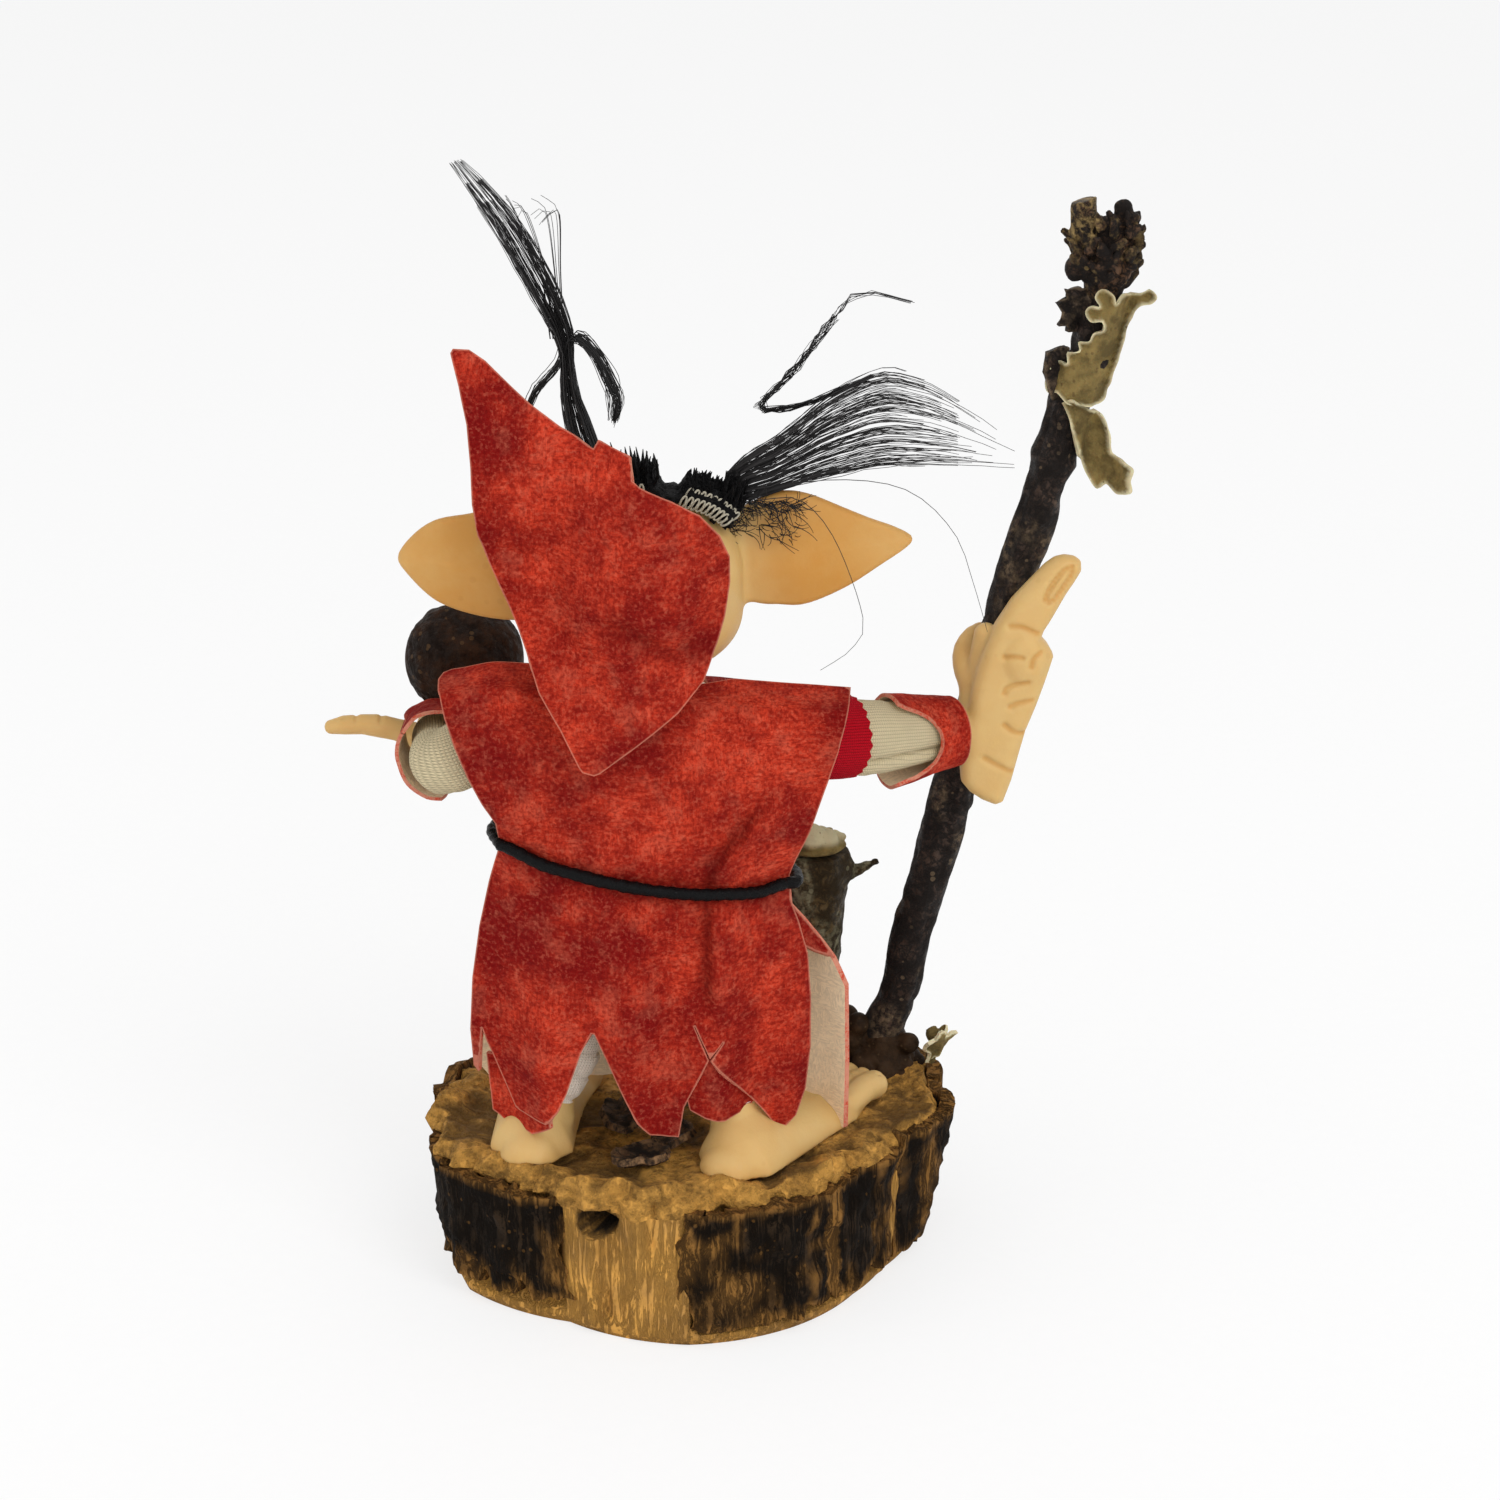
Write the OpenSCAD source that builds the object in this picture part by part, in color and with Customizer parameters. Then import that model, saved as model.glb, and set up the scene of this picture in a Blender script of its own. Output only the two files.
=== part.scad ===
// Elf figurine: a leather-clad elf on a slice of branch, with one hand on a twig staff.
// Millimetres, +Z up. The origin is the centre of the slice's underside, and the elf faces +Y.

/* [Base] */
// Width of the wood slice, across the figure
base_w = 70; // [66:1:80]
// Depth of the wood slice, front to back
base_d = 60; // [56:1:70]
// Thickness of the wood slice
base_h = 20; // [16:1:28]
// Thickness of the bark on the slice
bark_t = 2.2; // [1.6:0.1:3]
// Height of the stump beside the figure
stump_h = 30; // [20:1:36]
// Diameter of the stump
stump_d = 9.6; // [8:0.2:11]
// Diameter of the knot hole in the slice's side
knot_d = 3.6; // [2.4:0.2:4.4]

/* [Body] */
// Height of the hips above the slice
hip_h = 19; // [17:0.5:21]
// Height of the torso from hips to shoulders
torso_h = 41.5; // [40:0.5:44]
// Width of the torso
torso_w = 32; // [30:0.5:33]
// Depth of the torso
torso_d = 15; // [13:0.2:15.6]
// Diameter of a leg
leg_d = 8.4; // [7:0.2:9]
// Length of a foot
foot_l = 27; // [24:0.5:29]
// Width of a foot across the toes
foot_w = 12.4; // [10:0.2:13]
// Height of a foot at the ankle
foot_h = 5.6; // [5:0.1:5.8]

/* [Head] */
// Width of the head
head_w = 22; // [20:0.5:22.5]
// Height of the head
head_h = 22.1; // [21:0.1:24]
// Height of the crown above the middle of the ears
crown_h = 9.6; // [9:0.1:11]
// Length of an ear beyond the head
ear_l = 20.5; // [15:0.5:24]
// Height of an ear at its widest
ear_h = 14.5; // [10:0.5:16]
// Diameter of an eye bead
eye_d = 2.8; // [2:0.1:3.4]
// Width of the stitched hair band
band_w = 7; // [4:0.2:8]
// Thickness of the stitched hair band
band_t = 1.8; // [1:0.1:2.2]
// Length of the left hair tuft
left_tuft_l = 44; // [25:1:48]
// Length of the right hair tuft
right_tuft_l = 37; // [20:1:38]

/* [Arms] */
// Diameter of an arm at the elbow
arm_d = 9.2; // [8:0.2:9.6]
// Diameter of an arm at the wrist
wrist_d = 6.2; // [5.4:0.2:6.8]
// Length of the left upper arm
upper_arm_l = 9.6; // [9.2:0.2:12]
// Length of the left forearm
forearm_l = 16; // [14:0.5:19]
// Length of a leather cuff
cuff_l = 8; // [6:0.5:9]
// Flare of a cuff: its rim radius less its wrist radius
cuff_flare = 1.9; // [1:0.1:2.4]
// Width of the round cut in a cuff's rim
cuff_cut_w = 6; // [3:0.2:7]
// Length of the knitted undersleeve band
undersleeve_l = 3.6; // [2:0.2:4]
// Thickness of the knitted undersleeve band
undersleeve_t = 0.8; // [0.5:0.1:1]
// Length of the left palm
palm_l = 10; // [9:0.5:12]
// Diameter of a finger
finger_d = 2.5; // [1.8:0.1:2.8]
// Diameter of the carried nut
nut_d = 15; // [11:0.5:16]

/* [Clothes] */
// Thickness of the leather
leather_t = 0.8; // [0.5:0.1:1]
// Height of the tunic's hem above the slice
hem_h = 6; // [5.9:0.1:9]
// Width of the tunic at the shoulders
shoulder_w = 50; // [48:0.5:53]
// Width of the tunic at the waist
waist_w = 37; // [36:0.5:40]
// Width of the skirt's back panel at the hips
skirt_w = 43; // [41:0.5:46]
// Depth of the folds in the skirt
fold_d = 0.9; // [0:0.1:1.2]
// Diameter of the belt cord
belt_d = 1.7; // [1.2:0.1:2]
// Height of the hood's tip above the middle of the head
hood_tip_h = 27; // [22:0.5:32]

/* [Staff] */
// Diameter of the staff in the hand
staff_d = 5.2; // [4.4:0.1:5.6]
// Height of the grip above the slice
grip_h = 52; // [49:0.5:55]
// Length of the staff above the hand
staff_upper_l = 40; // [30:1:46]
// Length of the bud at the staff's top
bud_l = 12; // [8:0.5:14]
// Reach of the upper lichen plate from the staff
upper_lichen_l = 8; // [6:0.5:9]
// Width of the upper lichen plate along the staff
upper_lichen_w = 12.5; // [10:0.5:14]
// Reach of the lower lichen plate from the staff
lower_lichen_l = 5.5; // [4:0.5:6.5]
// Width of the lower lichen plate along the staff
lower_lichen_w = 8; // [6:0.5:9]
// Diameter of the peg at the staff's foot
peg_d = 4; // [3:0.1:4.4]
// Depth of the staff's hole in the slice
staff_hole = 10; // [6:0.5:13]
// Radius of the glue round the staff's foot
glue_r = 5; // [4:0.2:5.6]

/* [Wires and clearances] */
// Diameter of the spine wire and of the neck pin
spine_d = 2; // [1.6:0.1:2.4]
// Diameter of the limb wires
wire_d = 1.2; // [0.9:0.1:1.6]
// Depth of the leg wires in the slice
wire_hole = 9; // [6:0.5:13]
// Radial clearance of a wire in its hole
fit = 0.05; // [0.02:0.01:0.1]
// Clearance between neighbouring soft pieces
gap = 0.3; // [0.2:0.05:0.4]

/* [Hidden] */
$fn = 48;

X = [1, 0, 0];
Y = [0, 1, 0];
Z = [0, 0, 1];

// The body's upright axis, in the slice's plane
spine = [-5, -9, 0];
shoulder_h = hip_h + torso_h;
waist_h = hip_h + 18;
head_bottom = shoulder_h + 2.4;
head_mid = head_bottom + head_h - crown_h;
head_r = head_w / 2;
pin_top = head_mid - 2;

// Left arm, from the shoulder to the palm
left_shoulder = spine + [-torso_w / 2 - 1.2, 0, shoulder_h - 5.5];
upper_arm_dir = unit([-0.83, -0.05, -0.56]);
elbow = left_shoulder + upper_arm_l * upper_arm_dir;
elbow_r = arm_d / 2;
forearm_dir = unit([-2, 16, -0.8]);
wrist = elbow + forearm_l * forearm_dir;

// The staff, from its foot to the end above the hand
staff_r = staff_d / 2;
staff_foot = [24.8, 12, 0];
grip = [36.6, 8.5, grip_h];
grip_dir = unit([7, -1, 27.7]);
grip_low = grip - 13.5 * grip_dir;
grip_high = grip + 14.5 * grip_dir;
upper_dir = unit([10.2, -2, 38.6]);
staff_end = grip_high + staff_upper_l * upper_dir;
staff_out = unit(cross(Y, upper_dir));
glue_h = 5;

// Right arm, from the shoulder to the palm behind the staff
palm_t = 4.6;
palm_y = -(staff_r + gap + palm_t / 2);
right_wrist = grip + [-3.4, palm_y - 0.4, -1.6];
right_shoulder = spine + [torso_w / 2 + 1.5, -0.5, shoulder_h - 5.7];
right_dir = unit(right_wrist - right_shoulder);

// Leg wires run from the slice up into the torso
left_leg_low = [-19.6, -12, 0];
left_leg_high = [-11.5, -9, hip_h + 5];
right_leg_low = [7, -16, 0];
right_leg_high = [1.5, -9.5, hip_h + 5];
left_foot_dir = unit([0.1, 1, 0]);
right_foot_dir = unit([0.48, 0.88, 0]);

// The stump leans a little, from its foot to its sawn top
stump_foot = [14, 15.5, 0];
stump_top = [15.8, 14, stump_h];
// Bark chips between the feet: place, turn, length and width
chips = [
    [[-6, -17], 20, 7, 4], [[-2, -11], 65, 6, 3.4],
    [[-9, -6], 110, 7, 3.6], [[0, 4], 35, 6.4, 4]
];
chip_t = 1.2;

// Outline of the slice: angle and radius at the top and at the underside, on a 70 by 60 slice
top_outline = [
    [0, 34], [30, 35], [60, 33], [90, 30], [120, 31], [150, 34], [180, 35], [205, 34],
    [235, 28], [270, 27], [300, 27], [325, 26], [342, 29], [360, 34]
];
low_outline = [
    [0, 30.5], [30, 34], [60, 31], [90, 28], [120, 29], [150, 31], [180, 32], [205, 33],
    [235, 28], [270, 29], [300, 28], [325, 27], [342, 27.5], [360, 30.5]
];
// Bark plates: start angle, end angle, rise of the upper edge above the slice
bark_plates = [[185, 235, -2.4], [270, 340, -2], [345, 370, -0.8], [375, 440, 0], [90, 175, 0]];
bark_step = 5;

// Tunic by height: half depth at the middle, half depth at the side edges, and half width
seam_drop = 1.6;
tunic_rows = [
    [hem_h, 12.4, 2.4, skirt_w / 2 - 1.5], [hem_h + 9, 11, 2.2, skirt_w / 2],
    [waist_h - 12, 9.8, 1.8, skirt_w / 2 - 0.5], [waist_h - 5, 8.9, 1.4, waist_w / 2 + 1],
    [waist_h, 8.5, 1.2, waist_w / 2],
    [waist_h + 6, 8.6, 4.2, waist_w / 2 + 1.6], [shoulder_h - 10, 8.8, 6, shoulder_w / 2 - 2.8],
    [shoulder_h - 4, 8.6, 6, shoulder_w / 2 - 1.2], [shoulder_h, 6.4, 4.6, shoulder_w / 2 - 0.3],
    [shoulder_h + seam_drop, 0.2, 0.2, shoulder_w / 2]
];
depth_mid = [for (r = tunic_rows) [r[0], r[1]]];
depth_edge = [for (r = tunic_rows) [r[0], r[2]]];
half_width = [for (r = tunic_rows) [r[0], r[3]]];
// Steps across a panel from its left edge to its right edge, with the hem's lift at each
back_hem = [
    [-1, 1.2], [-0.88, 0.2], [-0.75, 0], [-0.6, 0.4], [-0.46, 1], [-0.32, 12], [-0.22, 5], [-0.1, 1],
    [0.02, 0], [0.14, 0], [0.27, 1], [0.38, 8], [0.43, 2], [0.56, 0.3], [0.7, 0], [0.85, 1], [1, 2.4]
];
front_hem = [
    [-1, 1], [-0.85, 0.5], [-0.7, 3], [-0.55, 8], [-0.4, 2], [-0.25, 0.5], [-0.1, 2], [0, 7],
    [0.1, 2], [0.25, 0.5], [0.4, 2], [0.55, 8], [0.7, 3], [0.85, 0.5], [1, 0]
];
front_narrowing = 8;
neck_u = 0.42;

// Hood rows from the tip to the tail: height from the head's middle, left, right, depth, edge depth
hood_rows = [
    [hood_tip_h, -21.6, -20.4, 2, 1.5], [hood_tip_h - 5, -20.8, -11.8, 5, 3.5],
    [hood_tip_h - 10.5, -20, -4.8, 8, 5], [11.5, -19.6, 4.4, 10.6, 6], [6.5, -19.4, 9, 12.2, 6],
    [1, -17.7, 10.2, 12.6, 6], [-5, -15.2, 9.4, 12.6, 7], [-10, -13.2, 7.4, 12.3, 9],
    [-15.5, -9.6, 2, 12.2, 11], [-20.5, -7.4, -4.3, 12.2, 12]
];
hood_steps = 8;

function unit(v) = v / norm(v);
function lerp(a, b, t) = a + (b - a) * t;
function last(v) = v[len(v) - 1];
function flat(g) = [for (row = g) each row];
function xy(v) = [v[0], v[1], 0];

// Sweeps and sheets, all as triangles
function tangent(p, i, loop) =
    loop
        ? unit(p[(i + 1) % len(p)] - p[(i + len(p) - 1) % len(p)])
        : unit(p[min(i + 1, len(p) - 1)] - p[max(i - 1, 0)]);
function ring(c, t, up, a, b, n) =
    let (s = unit(cross(up, t)), u = cross(t, s))
    [for (k = [0:n - 1]) c + a * cos(360 * k / n) * s + b * sin(360 * k / n) * u];
function clamp_floor(v, low) = [v[0], v[1], max(v[2], low)];

// A tube of elliptical rings along a path, with half axes a and b at each point
module sweep(p, a, b, n = 12, up = Z, loop = false, low = -1000) {
    m = len(p);
    rings = [for (i = [0:m - 1]) each ring(p[i], tangent(p, i, loop), up, a[i], b[i], n)];
    points = [for (v = concat(rings, [p[0], last(p)])) clamp_floor(v, low)];
    sides = [
        for (i = [0:m - (loop ? 1 : 2)]) for (k = [0:n - 1])
            let (j = (i + 1) % m, l = (k + 1) % n)
            each [[i * n + k, j * n + k, j * n + l], [i * n + k, j * n + l, i * n + l]]
    ];
    caps = loop ? [] : [
        for (k = [0:n - 1])
            let (l = (k + 1) % n, e = (m - 1) * n)
            each [[m * n, k, l], [m * n + 1, e + l, e + k]]
    ];
    polyhedron(loop ? [for (i = [0:m * n - 1]) points[i]] : points, concat(sides, caps));
}

function grid_at(g, r, c) = g[min(max(r, 0), len(g) - 1)][min(max(c, 0), len(g[0]) - 1)];
function grid_normal(g, r, c) =
    unit(cross(grid_at(g, r + 1, c) - grid_at(g, r - 1, c), grid_at(g, r, c + 1) - grid_at(g, r, c - 1)));

// A closed skin between two grids of points, the second on the outer side
module skin(inner, outer) {
    rows = len(inner);
    cols = len(inner[0]);
    n = rows * cols;
    layer = [
        for (r = [0:rows - 2]) for (c = [0:cols - 2])
            let (i = r * cols + c)
            each [[i, i + 1, i + cols + 1], [i, i + cols + 1, i + cols]]
    ];
    edge = concat(
        [for (c = [0:cols - 2]) [c + 1, c]],
        [for (c = [0:cols - 2]) let (i = n - cols + c) [i, i + 1]],
        [for (r = [0:rows - 2]) [r * cols, (r + 1) * cols]],
        [for (r = [0:rows - 2]) let (i = r * cols + cols - 1) [i + cols, i]]
    );
    polyhedron(concat(flat(inner), flat(outer)), concat(
        [for (f = layer) [f[0] + n, f[1] + n, f[2] + n]],
        [for (f = layer) [f[2], f[1], f[0]]],
        [for (e = edge) each [[e[0] + n, e[1] + n, e[1]], [e[0] + n, e[1], e[0]]]]
    ));
}

// A sheet of thickness t on the side that the rows and columns of its grid face
module sheet(g, t) {
    outer = [
        for (r = [0:len(g) - 1]) [for (c = [0:len(g[0]) - 1]) g[r][c] + t * grid_normal(g, r, c)]
    ];
    skin(g, outer);
}

// Places children made along +Z at a point and along a direction
module along(point, dir) {
    translate(point)
        rotate([0, acos(dir[2] / norm(dir)), atan2(dir[1], dir[0])])
            children();
}

// A straight wire, or with extra clearance all round, the hole for it
module rod(a, b, d, extra) {
    dir = unit(b - a);
    along(a - extra * dir, dir)
        cylinder(d = d + 2 * extra, h = norm(b - a) + 2 * extra);
}

module on_base() {
    translate([0, 0, base_h])
        children();
}

// The slice's outline at an angle and at a height given as a share of its thickness
function slice_r(angle, level) =
    let (turn = (angle % 360 + 360) % 360)
    lerp(lookup(turn, low_outline), lookup(turn, top_outline), level);
function slice_point(angle, z, extra) =
    let (r = slice_r(angle, min(1, z / base_h)))
    [(r * base_w / 70 + extra) * cos(angle), (r * base_d / 60 + extra) * sin(angle), z];
// The wood under the bark has upright sides and is a little wavy
function core_point(angle, extra) =
    let (r = min(slice_r(angle, 0), slice_r(angle, 1)), out = 0.3 * sin(5 * angle) - bark_t + extra)
    [(r * base_w / 70 + out) * cos(angle), (r * base_d / 60 + out) * sin(angle)];

module left_leg_wire(extra) {
    dir = unit(left_leg_high - left_leg_low);
    rod(left_leg_low - wire_hole * dir, left_leg_high, wire_d, extra);
}

module right_leg_wire(extra) {
    dir = unit(right_leg_high - right_leg_low);
    rod(right_leg_low - wire_hole * dir, right_leg_high, wire_d, extra);
}

module wood_slice() {
    knot = slice_point(245, 0.77 * base_h, 1);
    color("peru")
        difference() {
            linear_extrude(base_h)
                polygon([for (a = [0:bark_step:359]) core_point(a, 0)]);
            translate(xy(staff_foot) + [0, 0, base_h - staff_hole - fit])
                cylinder(d = peg_d + 2 * fit, h = staff_hole + 1);
            on_base()
                left_leg_wire(fit);
            on_base()
                right_leg_wire(fit);
            along(knot, xy(-knot))
                cylinder(d = knot_d, h = 6);
        }
}

module bark() {
    rows = 5;
    low = 0.8;
    color("darkslategray")
        for (plate = bark_plates) {
            angles = [plate[0]:bark_step:plate[1]];
            heights = [for (i = [0:rows]) lerp(low, base_h + plate[2], i / rows)];
            inner = [for (z = heights) [for (a = angles) concat(core_point(a, gap), z)]];
            outer = [
                for (z = heights) [
                    for (a = angles)
                        let (rough = 0.5 * sin(11 * a + 17 * z) + 0.4 * sin(23 * a - 31 * z))
                        slice_point(a, z, rough)
                ]
            ];
            skin(outer, inner);
        }
}

module bark_chips() {
    color("saddlebrown")
        on_base()
            for (chip = chips)
                translate(concat(chip[0], chip_t / 2))
                    rotate(chip[1])
                        cube([chip[2], chip[3], chip_t], center = true);
}

module stump() {
    radius = stump_d / 2;
    mids = [0, 0.1, 0.35, 0.6, 0.85, 1];
    swell = [1.12, 1.04, 0.98, 1.02, 1, 0.96];
    thorn = lerp(stump_foot, stump_top, 0.88) + [radius - 0.8, 0, 0];
    color("darkolivegreen")
        on_base() {
            sweep(
                [for (t = mids) lerp(stump_foot, stump_top, t)],
                radius * swell, radius * swell, 14, Y, low = 0
            );
            sweep([thorn, thorn + [1.8, 0, 0.2], thorn + [5, 0, 1.4]], [1.6, 1.1, 0.25], [1.5, 1, 0.25], 8);
        }
}

module stump_lichen() {
    radius = stump_d / 2;
    color("darkkhaki")
        on_base()
            translate(stump_top + [0, 0, gap + 0.25])
                rotate_extrude()
                    polygon([
                        [0, 0], [radius - 0.6, 0], [radius - 0.2, 0.5],
                        [radius - 1, 1.1], [1.6, 1.6], [0, 1.4]
                    ]);
}

// Staff points above the slice: the lower run is straight, the upper run leans out
staff_path = concat(
    [staff_foot, staff_foot + glue_h * Z],
    [for (t = [0.3, 0.5, 0.75]) lerp(staff_foot, grip_low, t)],
    [grip_low, grip, grip_high],
    [for (t = [0.25, 0.5, 0.56, 0.62, 0.8, 1]) lerp(grip_high, staff_end, t)],
    [staff_end + 1.5 * Z]
);
staff_radii = staff_r * [1, 1, 1.04, 0.98, 1.05, 1, 1, 1, 0.96, 0.94, 1.16, 0.94, 0.92, 0.88, 0.86];

module staff() {
    color("saddlebrown")
        on_base() {
            sweep(staff_path, staff_radii, staff_radii, 12, Y);
            translate(staff_foot - [0, 0, staff_hole])
                cylinder(d = peg_d, h = staff_hole + 2);
        }
}

module staff_glue() {
    color("dimgray")
        on_base()
            translate(staff_foot)
                rotate_extrude()
                    polygon([
                        [staff_r + fit, 0], [glue_r + 0.6, 0], [glue_r, 1.2],
                        [glue_r - 0.9, 2.2], [staff_r + 0.7, glue_h - 1.4], [staff_r + fit, glue_h - 1]
                    ]);
}

module staff_bud() {
    swell = staff_r * [0.86, 1.2, 1.55, 1.3, 0.7, 0.25];
    color("sienna")
        on_base()
            sweep(
                [for (t = [0, 0.12, 0.38, 0.65, 0.88, 1]) last(staff_path) + (gap / 2 + t * bud_l) * Z],
                swell, swell, 12, Y
            );
}

// A curved plate of scalloped outline that grows from a root in a direction
module frond(root, dir, reach, width, curl, lobes) {
    rows = 6;
    cols = 10;
    t = 0.7;
    side = unit(cross(Y, dir));
    grid = [
        for (i = [0:rows]) [
            for (k = [0:cols])
                let (
                    u = 2 * k / cols - 1,
                    v = i / rows,
                    spread = lerp(0.12, 1, sin(150 * v)) * width / 2,
                    edge = 1 + 0.16 * v * cos(180 * lobes * u)
                )
                root + reach * v * edge * dir + u * spread * side + curl * (u * u + v * v) * Y
        ]
    ];
    sheet(grid, t);
}

module staff_lichen_upper() {
    root = lerp(grip_high, staff_end, 0.8) + [staff_r + gap + 0.4, 0.35, 0];
    color("darkkhaki")
        on_base()
            frond(root, staff_out, upper_lichen_l, upper_lichen_w, -1.2, 3);
}

module staff_lichen_lower() {
    root = lerp(grip_high, staff_end, 0.42) + [staff_r + gap + 0.4, 0.35, 0];
    color("darkkhaki")
        on_base()
            frond(root, unit(staff_out - 0.3 * Z), lower_lichen_l, lower_lichen_w, -1, 2);
}

module staff_bark_flakes() {
    color("saddlebrown")
        on_base()
            for (t = [0.72, 0.9]) {
                root = lerp(grip_high, staff_end, t) - [staff_r + 2 * gap, -0.35, 0];
                frond(root, unit(0.5 * Z - staff_out), 3.2, 3.4, -0.4, 1);
            }
}

module base_lichen() {
    root = staff_foot + [glue_r + 1.4, -1, 0.8];
    color("darkkhaki")
        on_base()
            for (turn = [-50, 40])
                translate(root)
                    rotate(turn)
                        frond([0.5, 0, 0], unit([0.4, 0, 0.9]), 4, 4, -0.3, 2);
}

// A bare foot with a flat sole, from the heel to the ball, with its toes; out is the side of the small toe
module foot(heel, dir, out) {
    share = [0, 0.1, 0.3, 0.55, 0.78, 0.9];
    half = foot_w / 2 * [0.35, 0.68, 0.7, 0.82, 1, 0.9];
    tall = foot_h * [0.45, 0.8, 1, 0.8, 0.52, 0.42];
    side = cross(dir, Z);
    sweep([for (t = share) heel + t * foot_l * dir + 0.2 * foot_h * Z], half, 0.8 * tall, 14, Z, low = 0);
    for (k = [-2:2]) {
        r = foot_w * (k == -2 ? 0.14 : 0.1);
        root = heel + 0.84 * foot_l * dir - out * k * foot_w * 0.185 * side + 0.8 * r * Z;
        reach = (0.16 - 0.014 * k * k) * foot_l;
        path = [for (t = [0, 0.7, 1]) root + t * reach * dir];
        sweep(path, r * [0.9, 1, 0.4], r * [0.9, 1, 0.5], 8, low = 0);
    }
}

left_heel = left_leg_low - 0.14 * foot_l * left_foot_dir;
right_heel = right_leg_low - 0.16 * foot_l * right_foot_dir;

module left_foot() {
    color("burlywood")
        on_base()
            difference() {
                foot(left_heel, left_foot_dir, -1);
                left_leg_wire(fit);
            }
}

module right_foot() {
    color("burlywood")
        on_base()
            difference() {
                foot(right_heel, right_foot_dir, 1);
                right_leg_wire(fit);
            }
}

// A wrapped leg round its wire, from the foot up to the hips
module leg(low, high) {
    dir = unit(high - low);
    bottom = low + (foot_h + gap + 1.2) / dir[2] * dir;
    top = low + (hip_h - gap - 1.4) / dir[2] * dir;
    radii = leg_d / 2 * [0.6, 0.82, 1, 0.9, 0.6];
    sweep([for (t = [0, 0.15, 0.5, 0.85, 1]) lerp(bottom, top, t)], radii, radii, 12, Y);
}

module left_leg() {
    color("antiquewhite")
        on_base()
            difference() {
                leg(left_leg_low, left_leg_high);
                left_leg_wire(fit);
            }
}

module right_leg() {
    color("antiquewhite")
        on_base()
            difference() {
                leg(right_leg_low, right_leg_high);
                right_leg_wire(fit);
            }
}

module leg_wires() {
    color("gray")
        on_base() {
            left_leg_wire(0);
            right_leg_wire(0);
        }
}

// The upper arm wire runs from inside the torso to just short of the elbow ball
module left_arm_rod(extra) {
    rod(left_shoulder - 6 * upper_arm_dir, elbow - (elbow_r + 2 * gap) * upper_arm_dir, wire_d, extra);
}

module right_arm_rod(extra) {
    rod(right_shoulder - 5.5 * right_dir, right_wrist + 3 * right_dir, wire_d, extra);
}

module spine_rod(extra, top) {
    translate(spine + [0, 0, hip_h + 6 - extra])
        cylinder(d = spine_d + 2 * extra, h = top - hip_h - 6 + 2 * extra);
}

module torso() {
    level = [0, 0.06, 0.25, 0.43, 0.7, 0.87, 0.95, 1];
    wide = torso_w / 2 * [0.55, 0.88, 0.94, 0.82, 0.94, 1, 0.84, 0.5];
    deep = torso_d / 2 * [0.6, 0.9, 1, 0.88, 0.95, 0.92, 0.72, 0.5];
    color("antiquewhite")
        on_base()
            difference() {
                sweep([for (t = level) spine + (hip_h + t * torso_h) * Z], wide, deep, 20, Y);
                spine_rod(fit, shoulder_h + 2);
                left_leg_wire(fit);
                right_leg_wire(fit);
                left_arm_rod(fit);
                right_arm_rod(fit);
            }
}

module spine_wire() {
    color("gray")
        on_base()
            spine_rod(0, pin_top);
}

// A knitted band round an arm, as far from the shoulder as given
module undersleeve(shoulder, dir, from) {
    along(shoulder + from * dir, dir)
        difference() {
            cylinder(r = arm_d / 2 + gap + undersleeve_t, h = undersleeve_l);
            translate([0, 0, -1])
                cylinder(r = arm_d / 2 + gap, h = undersleeve_l + 2);
        }
}

module left_undersleeve() {
    color("crimson")
        on_base()
            undersleeve(left_shoulder, upper_arm_dir, 1.6);
}

module right_undersleeve() {
    color("crimson")
        on_base()
            undersleeve(right_shoulder, right_dir, 4.6);
}

module left_upper_arm() {
    radii = arm_d / 2 * [0.5, 0.85, 1, 0.95, 0.72];
    end = elbow - 0.7 * elbow_r * upper_arm_dir;
    color("beige")
        on_base()
            difference() {
                sweep([for (t = [0, 0.2, 0.5, 0.8, 1]) lerp(left_shoulder, end, t)], radii, radii, 14);
                translate(elbow)
                    sphere(r = elbow_r + gap);
                left_arm_rod(fit);
            }
}

module left_upper_arm_wire() {
    color("gray")
        on_base()
            left_arm_rod(0);
}

module right_arm() {
    radii = concat(arm_d / 2 * [0.5, 0.88, 1, 1, 0.86], [wrist_d / 2, wrist_d / 2 - 0.3]);
    share = [0, 0.07, 0.2, 0.45, 0.7, 0.88, 0.94];
    color("beige")
        on_base()
            difference() {
                sweep([for (t = share) lerp(right_shoulder, right_wrist, t)], radii, radii, 14);
                right_arm_rod(fit);
            }
}

module right_arm_wire() {
    color("gray")
        on_base()
            right_arm_rod(0);
}

// A flared leather cuff, wide towards the elbow, that ends at the wrist, with a round cut in its rim
module cuff(at_wrist, dir, cut_turn) {
    inner = wrist_d / 2 + gap;
    rim = inner + cuff_flare;
    along(at_wrist - cuff_l * dir, dir)
        difference() {
            rotate_extrude()
                polygon([[rim, 0], [rim + leather_t, 0], [inner + leather_t, cuff_l], [inner, cuff_l]]);
            rotate(cut_turn)
                translate([rim, 0, -1])
                    rotate([0, 90, 0])
                        cylinder(d = cuff_cut_w, h = 8, center = true);
        }
}

module right_cuff() {
    color("firebrick")
        on_base()
            cuff(lerp(right_shoulder, right_wrist, 0.96), right_dir, -60);
}

// A finger that goes round the staff and climbs a little, from the palm over to the far side
function finger_path(from, to, low, high, r) =
    [for (k = [0:5]) let (a = lerp(from, to, k / 5)) [r * cos(a), r * sin(a), lerp(low, high, k / 5)]];

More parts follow.
